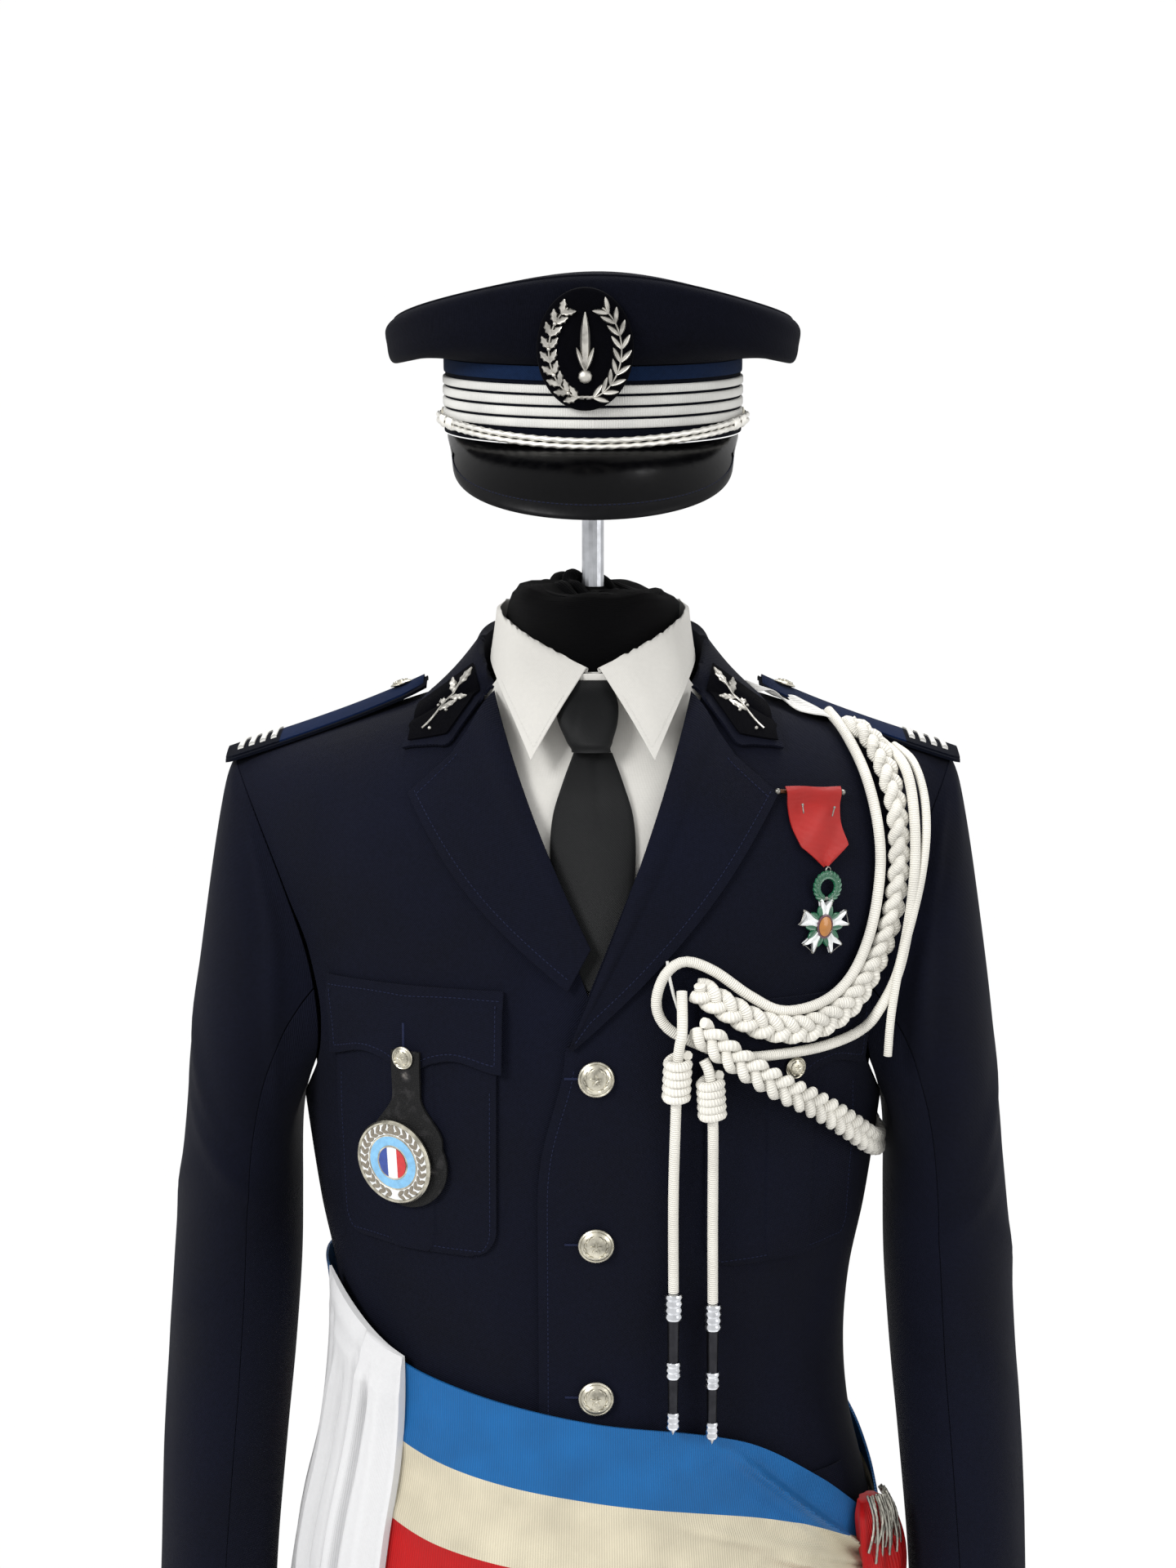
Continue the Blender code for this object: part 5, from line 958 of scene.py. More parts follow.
def make_camera():
    data = bpy.data.cameras.new("Camera")
    data.sensor_fit = "VERTICAL"
    data.sensor_height = SENSOR_HEIGHT
    data.lens = FOCAL_PIXELS * SENSOR_HEIGHT / PHOTO_HEIGHT
    data.shift_x = -(MIDDLE_PIXEL - PHOTO_WIDTH / 2) / PHOTO_HEIGHT
    data.clip_start = 0.05
    made = bpy.data.objects.new("Camera", data)
    made.location = CAMERA_PLACE
    made.rotation_euler = (math.radians(CAMERA_PITCH), 0.0, 0.0)
    bpy.context.scene.collection.objects.link(made)
    bpy.context.scene.camera = made


# The shoulder cord
def on_front(row):
    return on_torso(row.x, row.z, -1, row.lift)


def add_plait(shape, route, amplitude, radius, pitch, squeeze=None):
    """Three strands woven along a route."""
    placed = frames_along(route, lean)
    run = running(route)
    for strand in range(3):
        line = []
        for i, (place, across, out) in enumerate(placed):
            turn = 2 * math.pi * (run[i] / pitch + strand / 3)
            flat = squeeze(place) if squeeze else 1.0
            wide = across * amplitude * math.sin(turn)
            line.append(place + wide + out * amplitude * 0.42 * flat * math.sin(2 * turn))
        add_tube(shape, line, radius, lean, 10, flat=0.92)


def declare_cord(made, route, diameter, far_end="object", **more):
    route_length(route)
    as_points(coarse(route))


def make_cords():
    loop = smooth_route([on_front(row) for row in CORD_LOOP] + [Vector(p) for p in CORD_LOOP_END], 0.004)
    shape = Shape()
    add_tube(shape, loop, CORD_RADIUS, lean, 12)
    made = finish_piece(shape.make("cord_loop_cord", cord_white), nodes=["cord_loop"])
    declare_cord(made, loop, 0.007)

    upper = smooth_route([on_front(row) for row in PLAIT_UPPER], 0.002)
    shape = Shape()
    add_plait(shape, upper, 0.0054, 0.0037, 0.034)
    made = finish_piece(shape.make("plait_upper_cord", cord_white), nodes=["plait_upper"])
    declare_cord(made, upper, 0.017)

    points = [on_front(row) for row in PLAIT_LOWER] + [around(*stop) for stop in PLAIT_UNDER]
    points += [on_torso(row.x, row.z, 1, row.lift) for row in PLAIT_BACK]
    lower = smooth_route(points, 0.002)

    def squeeze(place):
        return mix(0.40, 1.0, smooth_step(abs(place.y - 0.008), 0.045, 0.085))

    shape = Shape()
    add_plait(shape, lower, 0.0060, 0.0034, 0.034, squeeze)
    made = finish_piece(shape.make("plait_lower_cord", cord_white), nodes=["plait_lower"])
    declare_cord(made, lower, 0.018)

    for number, (table, span) in enumerate(zip(PENDANT_CORDS, KNOT_SPANS), 1):
        route = smooth_route([on_front(row) for row in table], 0.003)
        shape = Shape()
        add_tube(shape, route, CORD_RADIUS, lean, 12)
        cord = shape.make(f"pendant_{number}_cord", cord_white)
        finish_piece(cord, nodes=[f"pendant_cord_{number}"])
        knot = make_barrel_knot(number, route, span)
        end = make_ferrule(number, route[-1])
        declare_cord(cord, route, 0.007, "fitting", with_pieces=[knot, end])
    make_outer_cord()


def coarse(route):
    """Every third point of the route, and its last."""
    kept = route[::3]
    return [tuple(p) for p in (kept if kept[-1] is route[-1] else kept + [route[-1]])]


def make_barrel_knot(number, route, span):
    """Five slanted wraps of the cord round itself."""
    part = [p for p in route if span[0] < p.z < span[1]]
    low, high = part[-1], part[0]
    way = (high - low).normalized()
    out = lean(low)
    across = way.cross(out).normalized()
    out = across.cross(way)
    shape = Shape()
    wraps = 5
    line = []
    for i in range(wraps * 24 + 1):
        turn = 2 * math.pi * i / 24
        place = low.lerp(high, i / (wraps * 24)) + across * 0.0060 * math.cos(turn)
        line.append(place + out * 0.0050 * math.sin(turn) + way * 0.0012 * math.cos(turn))
    add_tube(shape, line, 0.0031, lean, 8)
    return finish_piece(shape.make(f"barrel_knot_{number}", cord_white))


def make_ferrule(number, top):
    """A metal end: ribbed collars at its top, middle and tip on a dark rod."""
    place = top + Vector((0, 0, -0.0008))
    down = Vector((0, 0, -1))
    shape = Shape()

    def collar(first, last, radius, rings):
        profile = [(radius * 0.72, first)]
        for k in range(rings):
            a, b = mix(first, last, (k + 0.12) / rings), mix(first, last, (k + 0.88) / rings)
            profile += [(radius * 0.90, a - 0.0002), (radius, (a * 2 + b) / 3), (radius, (a + 2 * b) / 3)]
            profile += [(radius * 0.90, b + 0.0002)]
        profile.append((radius * 0.72, last))
        add_lathe(shape, profile, place, down, 20, 0)

    collar(0.0, 0.017, 0.0058, 4)
    collar(0.044, 0.055, 0.0050, 3)
    collar(0.077, 0.088, 0.0043, 3)
    add_lathe(shape, [(0.0046, 0.016), (0.0038, 0.019), (0.0034, 0.045)], place, down, 20, 1)
    add_lathe(shape, [(0.0034, 0.054), (0.0031, 0.078)], place, down, 20, 1)
    add_lathe(shape, [(0.0034, 0.087), (0.0020, 0.0895), (0.0004, 0.092)], place, down, 20, 0)
    made = shape.make(f"ferrule_{number}_metal", [steel, dark_steel])
    return finish_piece(made, nodes=[f"ferrule_{number}"])


OUTER_CORD = (
    (0.1930, -0.0290, 1.4240), (0.2025, -0.0480, 1.4165), (0.2080, -0.0620, 1.3980),
    (0.2090, -0.0700, 1.3740),
    (0.2060, -0.0750, 1.3480), (0.2000, -0.0800, 1.3220), (0.1920, -0.0850, 1.2930),
    (0.1868, -0.0880, 1.2620),
    (0.1850, -0.0880, 1.2350),
)


def make_outer_cord():
    """The thinner cord outside the loop, which falls along the armhole."""
    route = smooth_route([Vector(p) for p in OUTER_CORD], 0.003)
    shape = Shape()
    add_tube(shape, route, 0.0027, lean, 10)
    made = finish_piece(shape.make("outer_cord", cord_white))
    declare_cord(made, route, 0.0054)


# The display form and its stand
def form_ring(z, sides=96):
    level = z + 0.014 * smooth_step(z, 1.24, 1.36)
    widest = NECK_HALF_WIDTH + (NECK_POINT_HEIGHT - level) / SHOULDER_SLOPE
    half = min(curve(TUNIC, "half_width", level), widest)
    ring = []
    for angle in turns(sides):
        side = -1 if math.cos(angle) >= 0 else 1
        surface = torso(half * math.sin(angle), level, side)
        deepest = abs(torso(0.0, level, side).y)
        shrink = (deepest - FORM_MARGIN) / deepest
        ring.append(Vector((surface.x * (half - FORM_MARGIN) / half, surface.y * shrink, z)))
    return ring


def oval(half_x, half_y, z, sides=96, ripple=0.0):
    ring = []
    for turn in turns(sides):
        grow = 1 - ripple * (0.5 + 0.5 * math.cos(16 * turn))
        ring.append(Vector((half_x * grow * math.sin(turn), -half_y * grow * math.cos(turn), z)))
    return ring


def make_form():
    heights = spread(FORM_BOTTOM, 1.43, 60)
    rings = [form_ring(z) for z in heights]
    neck = (
        (0.0640, 0.0600, 1.452), (0.0572, 0.0575, 1.474), (0.0565, 0.0565, 1.500), (0.0552, 0.0552, 1.514),
    )
    rings += [oval(*ring) for ring in neck]
    for share, z in (
        (0.95, 1.5190), (0.87, 1.5225), (0.74, 1.5238), (0.55, 1.5240), (0.35, 1.5238), (0.20, 1.5234),
    ):
        rings.append(oval(0.0552 * share, 0.0552 * share, z, ripple=0.06 * (1.05 - share)))
    for ring in rings[60:]:
        for k, p in enumerate(ring):
            turn = 2 * math.pi * k / len(ring)
            fold = math.sin(3 * turn + 210 * p.z) + 0.6 * math.sin(7 * turn - 160 * p.z + 1.0)
            p.z += (0.0016 * fold + 0.0030 * math.cos(turn - 3.9)) * smooth_step(p.z, 1.505, 1.523)
            grow = 1 + 0.016 * fold * smooth_step(p.z, 1.485, 1.510)
            p.x, p.y = p.x * grow, p.y * grow
    shape = Shape()
    shape.grid(rings)
    finish_piece(shape.make("form_cover", jersey, 60), nodes=["form_torso"])
    gather = Shape()
    for radius, reach, high, tilt in ((0.0050, 0.038, 1.5185, 0.0040), (0.0048, 0.025, 1.5205, 0.0060),
                                      (0.0040, 0.0150, 1.5225, 0.0070)):
        line = []
        for a in spread(0, 2 * math.pi, 97):
            wide = reach * (1 + 0.10 * math.sin(3 * a + 90 * reach))
            z = high + tilt * math.cos(a - 3.9) + 0.0014 * math.sin(5 * a)
            line.append(Vector((wide * math.sin(a), -wide * math.cos(a), z)))
        swell = [radius * (1 + 0.22 * math.sin(4 * k / 15 + 200 * reach)) for k in range(97)]
        add_tube(gather, line, lambda i, swell=swell: swell[i], lambda p: Vector((p.x, p.y, 0)), 12)
    finish_piece(gather.make("neck_gather", jersey))


# The tunic's panels
def front_edge(z, left):
    edge = OVERLAP_LEFT if left else -OVERLAP_RIGHT
    start = BREAK_X if left else -RIGHT_BREAK_X
    if z <= BREAK_Z:
        return mix(edge, start, smooth_step(z, BREAK_Z - 0.110, BREAK_Z) ** 2)
    share = (z - BREAK_Z) / (NECK_POINT_HEIGHT - BREAK_Z)
    return mix(start, NECK_HALF_WIDTH + SEAM_GAP, share**0.93)


def front_drop(x, z):
    low = smooth_step(-x, -0.062, -0.037)
    return (CLOTH + 0.0010) * low * (1 - smooth_step(z, 1.290, 1.340))


def make_front(left):
    grid = []
    for z in spread(HEM_HEIGHT, ARMPIT_HEIGHT - 0.005, 70):
        half = curve(TUNIC, "half_width", z)
        first = math.asin(front_edge(z, left) / half)
        grid.append([(half * math.sin(mix(first, math.pi / 2, s)), z) for s in spread(0, 1, 72)])
    for share in spread(0, 1, 46):
        start = front_edge(mix(ARMPIT_HEIGHT, NECK_POINT_HEIGHT, share), left)
        stop = curve(ARMHOLE, "front", share)
        row = []
        for s in spread(0, 1, 72):
            x = mix(start, stop, mix(math.sin(s * math.pi / 2), s, smooth_step(share, 0, 0.5)))
            row.append((x, mix(ARMPIT_HEIGHT, shoulder_height(x), share)))
        grid.append(row)
    side = 1 if left else -1
    places = []
    for row in grid:
        places.append([skin(x * side, z, -1, 0.0 if left else -front_drop(x, z)) for x, z in row])
    if not left:
        places = [row[::-1] for row in places]
    name = "front_left" if left else "front_right"
    cloth_piece(name, places, body_axis, CLOTH, tunic_cloth, nodes=[f"tunic_{name}"])


def make_back():
    grid = []
    for z in spread(HEM_HEIGHT, ARMPIT_HEIGHT - 0.005, 70):
        half = curve(TUNIC, "half_width", z)
        grid.append([skin(half * math.sin(s * math.pi / 2), z, 1) for s in spread(-1, 1, 121)])
    for share in spread(0, 1, 46):
        row = []
        for s in spread(-1, 1, 121):
            even = smooth_step(share, 0, 0.5)
            x = curve(ARMHOLE, "back", share) * mix(math.sin(s * math.pi / 2), s, even)
            row.append(skin(x, mix(ARMPIT_HEIGHT, min(shoulder_height(x), NECK_POINT_HEIGHT), share), 1))
        grid.append(row)
    cloth_piece("back", grid, body_axis, CLOTH, tunic_cloth, nodes=["tunic_back"])


# Sleeves
def armhole_angle(share):
    return math.degrees(math.acos(2 * share - 1))


def armhole(angle):
    turn = math.radians(angle)
    share = (1 + math.cos(turn)) / 2
    side = -1 if math.sin(turn) >= 0 else 1
    x = curve(ARMHOLE, "front" if side < 0 else "back", share)
    return torso(x, mix(ARMPIT_HEIGHT, shoulder_height(x), share), side)


def sleeve_oval(angle, row):
    turn = math.radians(angle)
    outer = Vector((curve(SLEEVE, "outer_x", row), 0, curve(SLEEVE, "outer_z", row)))
    inner = Vector((curve(SLEEVE, "inner_x", row), 0, curve(SLEEVE, "inner_z", row)))
    place = (outer + inner) / 2 + (outer - inner) / 2 * math.cos(turn)
    place.y = curve(SLEEVE, "middle", row) - curve(SLEEVE, "depth", row) * math.sin(turn)
    return place


def sleeve(angle, row):
    low = (1 - math.cos(math.radians(angle))) / 2
    away = Vector((mix(SEAM_GAP, ARMPIT_GAP, low**2), 0.0, 0.0))
    off = armhole(angle) - sleeve_oval(angle, 0) + away
    return sleeve_oval(angle, row) + off * curve(SLEEVE, "cling", row)


def sleeve_skin(angle, row, turned_by=0.0):
    """A sleeve's surface with its creases, which fade at the armhole and beside the body."""
    along = sleeve(angle + 1, row) - sleeve(angle - 1, row)
    down = sleeve(angle, min(row + 0.05, 10)) - sleeve(angle, max(row - 0.05, 0))
    normal = down.cross(along).normalized()
    signed = (angle + 180) % 360 - 180
    ease = smooth_step(row, 0.15, 1.2) * (1 - smooth_step(abs(signed), 120, 165))
    lift = creased(SLEEVE_CREASES, math.radians(signed) * 0.074, row / 10 * 0.62 + turned_by)
    return sleeve(angle, row) + normal * lift * ease


def make_sleeve(left):
    side = "left" if left else "right"
    front, back = armhole_angle(0.34), armhole_angle(0.18)
    parts = {
        "top": spread(0.25 - back, front - 0.25, 64),
        "under": spread(front + 0.25, 360 - back - 0.25, 40),
    }
    for part, angles in parts.items():
        rows = [10 * s**1.15 for s in spread(0, 1, 96)]
        grid = mirrored([[sleeve_skin(a, row, 0.0 if left else 0.035) for a in angles] for row in rows], left)

        def inside(place, sign=1 if left else -1):
            return Vector((sign * 0.235, place.y * 0.2, place.z))

        name = f"sleeve_{part}_{side}"
        cloth_piece(name, grid, inside, CLOTH, tunic_cloth, nodes=[f"sleeve_{side}_{part}"])


# Collar, lapels, shirt and tie
def clear_of_torso(place, lift):
    if place.z >= shoulder_height(place.x):
        return place
    side = -1 if place.y < 0 else 1
    surface = on_torso(place.x, place.z, side, lift)
    return surface if abs(place.y) < abs(surface.y) else place


def collar_place(at, share):
    fold = table_place(COLLAR_FOLD, at)
    edge = table_place(COLLAR_EDGE, at)
    edge = shoulder_place(edge.x, edge.y, COLLAR_LIFT)
    place = fold.lerp(edge, share)
    bend = (1 - abs(2 * share - 1)) * (1 - smooth_step(at, 0.0, 0.14))
    place += Vector((-0.0015, 0.0, -0.0155)) * bend
    return clear_of_torso(place, COLLAR_LIFT)


def both_sides(stations, place_at):
    left = [place_at(at) for at in stations]
    return left + flipped(left[-2::-1])


def collar_grid():
    def row(at):
        fold = table_place(COLLAR_FOLD, at)
        foot = fold.copy()
        foot.z = min(fold.z - 0.003, mix(fold.z - 0.003, COLLAR_FOOT, smooth_step(at, 0.10, 0.40)))
        shares = (0.0, 0.08, 0.2, 0.35, 0.5, 0.65, 0.8, 0.9, 1.0)
        return smooth_route([foot] + [collar_place(at, share) for share in shares], count=34)

    return both_sides(spread(0, 1, 64), row)


def make_collar():
    grid = collar_grid()
    outer = moved(grid, grid_normals(grid, body_axis), COLLAR_WALL)
    cloth_piece("collar_cloth", outer, body_axis, COLLAR_WALL, tunic_cloth, nodes=["collar"], held="folded",
                rests=("tunic_back", "tunic_front_left", "tunic_front_right"), rim=0.0006)


def shirt_collar_grid():
    def row(at):
        fold, edge = table_place(SHIRT_FOLD, at), table_place(SHIRT_EDGE, at)
        bulge = 0.0035 * (1 - smooth_step(at, 0.1, 0.4))
        out = Vector((edge.x, edge.y, 0.0)).normalized()
        fall = [fold.lerp(edge, s) + out * bulge * math.sin(math.pi * s) for s in (0.2, 0.4, 0.6, 0.8, 1)]
        foot = fold + Vector((0.0, 0.0, -0.004 - 0.022 * smooth_step(at, 0.05, 0.4)))
        return smooth_route([foot, fold] + fall, count=26)

    return both_sides(spread(0, 1, 56), row)


def make_shirt_collar():
    grid = shirt_collar_grid()
    outer = moved(grid, grid_normals(grid, body_axis), SHIRT_CLOTH)
    cloth_piece("shirt_collar_cloth", outer, body_axis, SHIRT_CLOTH, shirt_cotton, nodes=["shirt_collar"],
                held="folded", rests=("form_torso", "shirt_front"))
    for side in (1, -1):
        run = [row[-3] for row in outer[: len(outer) // 2 + 1]]
        leaf = [outer[1][c] for c in range(10, 24)]
        for line in (run[1:], leaf):
            line = [Vector((p.x * side, p.y, p.z)) for p in line]
            stitch_along(WHITE_STITCHES, [p + lean(p) * 0.0001 for p in line], lean, 0.0026, 0.0018, 0.0002)


def shirt(x, z):
    flat = torso(x, z).y + 0.0095
    neck = -0.073 * math.sqrt(max(1 - (x / 0.085) ** 2, 0.0))
    fold = 0.0011 * math.sin(95 * abs(x) + 14 * z) * smooth_step(abs(x), 0.018, 0.034)
    fold *= 1 - smooth_step(z, 1.400, 1.440)
    return Vector((x, mix(flat, neck, smooth_step(z, 1.400, 1.475)) + fold, z))


def make_shirt_front():
    grid = []
    for z in spread(1.275, 1.474, 64):
        half = mix(0.052, 0.071, smooth_step(z, 1.36, 1.45)) - 0.012 * smooth_step(z, 1.452, 1.474)
        grid.append([shirt(x, z) for x in spread(-half, half, 48)])
    cloth_piece("shirt_front_cloth", grid, body_axis, SHIRT_CLOTH, shirt_cotton, nodes=["shirt_front"])


def make_neckband():
    """The band that closes the shirt at the throat, behind the knot."""
    grid = []
    for z in spread(1.4560, 1.4745, 10):
        turns = spread(-0.62, 0.62, 30)
        grid.append([Vector((0.0585 * math.sin(a), -0.0685 * math.cos(a) + 0.0012, z)) for a in turns])
    cloth_piece("shirt_neckband", grid, body_axis, SHIRT_CLOTH, shirt_cotton, rests=("form_torso",))


def make_tie():
    rings = []
    for z in spread(1.4281, 1.4700, 34):
        half, deep = curve(TIE_KNOT, "half_width", z), curve(TIE_KNOT, "half_depth", z)
        middle, shift = curve(TIE_KNOT, "middle", z), curve(TIE_KNOT, "shift", z)
        tuck = 0.0009 * math.exp(-((z - 1.4300) / 0.0018) ** 2)
        ring = []
        for turn in turns(56):
            fold = 0.0007 * math.exp(-((math.sin(turn) + 0.45 - (z - 1.445) * 22) / 0.10) ** 2)
            fold *= 1 if math.cos(turn) > 0 else 0
            x = shift + (half - tuck) * math.sin(turn)
            ring.append(Vector((x, middle - (deep - tuck - fold) * math.cos(turn), z)))
        rings.append(ring)
    shape = Shape()
    shape.grid(rings, u_scale=0.09)
    finish_piece(shape.make("tie_knot_silk", tie_satin, 60), nodes=["tie_knot"])
    grid = []
    for z in spread(1.285, 1.4275, 56):
        half = curve(TIE_BLADE, "half_width", z)
        row = []
        for u in spread(-1, 1, 34):
            rise = 0.0038 + 0.0012 * (1 - u * u) + 0.002 * smooth_step(z, 1.39, 1.42)
            rise -= 0.0016 * math.exp(-((u - 0.1) / 0.22) ** 2) * smooth_step(z, 1.375, 1.425)
            rise -= 0.0010 * smooth_step(abs(u), 0.90, 1.0)
            row.append(shirt(u * half, z) - Vector((0, rise, 0)))
        grid.append(row)
    cloth_piece("tie_blade_silk", grid, body_axis, 0.0030, tie_satin, nodes=["tie_blade"], rim=0.0008,
                rests=("shirt_front",))


def roll_point(t, left):
    start_x, start_z = (BREAK_X, BREAK_Z) if left else LAPEL_FOOT_INNER
    bow = 0.003 * math.sin(math.pi * t)
    return mix(start_x, GORGE_X, t) + bow, mix(start_z, GORGE_Z, t)


def lapel_edge(t, left):
    start_x, start_z = (BREAK_X, BREAK_Z) if left else LAPEL_FOOT_OUTER
    bow = 0.010 * math.sin(math.pi * t)
    return mix(start_x, LAPEL_TIP_X, t) + bow, mix(start_z, LAPEL_TIP_Z, t) - bow * 0.3


def lapel_place(s, t, left):
    roll_x, roll_z = roll_point(t, left)
    edge_x, edge_z = lapel_edge(t, left)
    bend = (1 - abs(2 * s - 1)) * t**8
    return mix(roll_x, edge_x, s), mix(roll_z, edge_z, s) - 0.0075 * bend


def lapel_lift(s, t):
    roll = math.sin(math.pi * min(s / 0.30, 1.0)) * 0.0022 * min(t * 4, 1.0)
    return LAYER_GAP + 0.0026 + roll


def lapel_point(s, t, left, above=0.0):
    x, z = lapel_place(s, t, left)
    return skin(x if left else -x, z, -1, lapel_lift(s, t) + above)


def out_front(place):
    """The outward direction of the front at a place."""
    return (on_torso(place.x, place.z, -1, 1.0) - on_torso(place.x, place.z, -1, 0.0)).normalized()


def make_lapel(left):
    grid = [[lapel_point(s, t, left) for s in spread(0, 1, 40)] for t in spread(0.03, 0.985, 70)]
    side = "left" if left else "right"
    cloth_piece(f"lapel_{side}_cloth", grid, body_axis, 0.0022, tunic_cloth, nodes=[f"lapel_{side}"],
                held="folded", rests=(f"tunic_front_{side}",), rim=0.0006)
    line = []
    for t in spread(0.05, 0.975, 60):
        width = (lapel_point(1, t, left) - lapel_point(0, t, left)).length
        line.append(lapel_point(1 - min(0.006 / width, 0.5), t, left, 0.0001))
    top = [lapel_point(s, 0.955, left, 0.0001) for s in spread(0.93, 0.45, 12)]
    stitch_along(STITCHES, line, out_front)
    stitch_along(STITCHES, top, out_front)


def collar_surface(at, share, above):
    """A point over the collar's outer face and the face's normal there."""
    base = collar_place(at, share)
    along = collar_place(at + 0.02, share) - collar_place(max(at - 0.015, 0.0), share)
    across = collar_place(at, min(share + 0.03, 1.0)) - collar_place(at, share - 0.03)
    normal = along.cross(across).normalized()
    normal = normal if normal.y < 0 else -normal
    return base + normal * (COLLAR_WALL + above), normal


def make_collar_patches():
    """Velvet patches with an embroidered oak sprig, on the collar's front ends."""
    for left in (True, False):
        side = 1 if left else -1
        name = "left" if left else "right"

        def face(u, v, above):
            place, normal = collar_surface(mix(0.0, 0.16, v) + 0.012 + 0.03 * (1 - u), u, above)
            return Vector((place.x * side, place.y, place.z)), Vector((normal.x * side, normal.y, normal.z))

        grid = [[face(mix(0.12, 0.93, s), v, 0.0020)[0] for v in spread(0, 1, 18)] for s in spread(0, 1, 26)]
        patch = shell(f"patch_{name}_velvet", grid, body_axis, 0.0010, velvet)
        finish_piece(patch, nodes=[f"collar_patch_{name}"])
        sprig = Shape()

        def on_stem(s, aside, above):
            return face(mix(0.78, 0.22, s), mix(0.16, 0.70, s) + aside, above)

        stem = [on_stem(s, 0.0, 0.0026)[0] for s in spread(0, 1, 12)]
        add_tube(sprig, stem, 0.0007, lean, 6)
        leaves = (
            (0.34, 34, 0.0130), (0.42, -32, 0.0125), (0.56, 36, 0.0125), (0.64, -30, 0.0120),
            (0.78, 4, 0.0150),
        )
        for s, turn, length in leaves:
            base, normal = on_stem(s, 0.0, 0.0022)
            ahead = (on_stem(s + 0.05, 0.0, 0.0022)[0] - base).normalized()
            ahead = Matrix.Rotation(math.radians(turn) * side, 3, normal) @ ahead
            add_leaf(sprig, base, ahead, normal, length, 0.0024, 0.0011, lobes=3)
        for s, aside in ((0.16, -0.12), (0.30, 0.13), (0.50, -0.14)):
            place, normal = on_stem(s, aside, 0.0026)
            add_bead(sprig, place, 0.0012, normal=normal)
        finish_piece(sprig.make(f"sprig_{name}", bullion, 60))
        collar_line = [
            Vector((p.x * side, p.y, p.z))
            for p in (collar_surface(at, 0.91, 0.0001)[0] for at in spread(0.03, 1.0, 70))
        ]
        stitch_along(STITCHES, collar_line, lean)


# Pockets and epaulettes
def pocket_middle(left):
    return POCKET_LEFT_X if left else POCKET_RIGHT_X


def panel_piece(name, place, high, left, node, across, down, wall=CLOTH, rests=None):
    side = 1 if left else -1
    grid = []
    for v in spread(0, 1, down):
        row = []
        for u in spread(-1, 1, across):
            x, z = place(u, v)
            row.append(skin(x * side, z, -1, high(u, v)))
        grid.append(row)
    front = "tunic_front_left" if left else "tunic_front_right"
    return cloth_piece(name, grid, body_axis, wall, tunic_cloth, nodes=[node], held="laid",
                       rests=(rests or front,))


def panel_stitches(places, lift, left):
    side = 1 if left else -1
    stitch_along(STITCHES, [skin(x * side, z, -1, lift) for x, z in places], out_front)


def make_pocket(left):
    middle, top, bottom = pocket_middle(left), FLAP_TOP - 0.018 - 0.008 * left, 1.115 - 0.008 * left
    side = "left" if left else "right"

    def place(u, v, inset=0.0):
        z = mix(top, bottom + inset, v)
        corner = max(0.0, (bottom + 0.018 - z) / 0.018)
        pull = POCKET_HALF_WIDTH - inset - (0.018 - inset) * (1 - math.sqrt(max(1 - corner**2, 0.0)))
        return walk(middle, z, u * pull), z

    def high(u, v):
        pleat = 0.0009 * (smooth_step(PLEAT_SHARE - abs(u), -0.012, 0.012))
        return POCKET_LIFT + CLOTH + pleat

    panel_piece(f"pocket_{side}_cloth", place, high, left, f"pocket_{side}", 120, 70)
    lift = POCKET_LIFT + CLOTH + 0.0001
    panel_stitches([place(-1, v, 0.004) for v in spread(0.30, 1, 30)], lift, left)
    panel_stitches([place(1, v, 0.004) for v in spread(0.30, 1, 30)], lift, left)
    panel_stitches([place(u, 1, 0.004) for u in spread(-1, 1, 24)], lift, left)


def flap_place(u, v, left):
    middle, top = pocket_middle(left), FLAP_TOP - 0.008 * left
    wave = -0.0065 * math.sin(math.pi * abs(u)) ** 2 + 0.004 * max(0.0, 1 - abs(u) / 0.25)
    return walk(middle, top - (0.051 + wave) * v, u * FLAP_HALF_WIDTH), top - (0.051 + wave) * v


def flap_lift(v):
    return mix(POCKET_LIFT, FLAP_LIFT, smooth_step(v, 0.0, 0.33)) + CLOTH


def make_pocket_flap(left):
    side = "left" if left else "right"
    panel_piece(f"pocket_flap_{side}_cloth", lambda u, v: flap_place(u, v, left), lambda u, v: flap_lift(v),
                left, f"pocket_flap_{side}", 80, 40, rests=f"pocket_{side}")
    top = [flap_place(u, 0.12, left) for u in spread(-0.97, 0.97, 40)]
    panel_stitches(top, flap_lift(0.12) + 0.0002, left)
    panel_stitches([flap_place(u, 0.90, left) for u in spread(-0.93, 0.93, 50)], FLAP_LIFT + CLOTH, left)
    for u in (-0.93, 0.93):
        panel_stitches([flap_place(u, v, left) for v in spread(0.16, 0.90, 12)], FLAP_LIFT + CLOTH, left)
    slit = [flap_place(0.02, v, left) for v in spread(0.42, 0.90, 10)]
    shape = Shape()
    line = [skin(x * (1 if left else -1), z, -1, FLAP_LIFT + CLOTH + 0.0002) for x, z in slit]
    add_tube(shape, line, 0.0009, out_front, 8, flat=0.5)
    finish_piece(shape.make(f"buttonhole_{side}", thread_dark))


def make_lower_flap(left):
    node = "lower_flap_left" if left else "lower_flap_right"

    def place(u, v):
        z = 0.957 - 0.006 * u - 0.052 * v
        return walk(0.112, z, u * 0.066), z

    panel_piece(f"{node}_cloth", place, lambda u, v: 0.0014 + CLOTH, left, node, 50, 24)


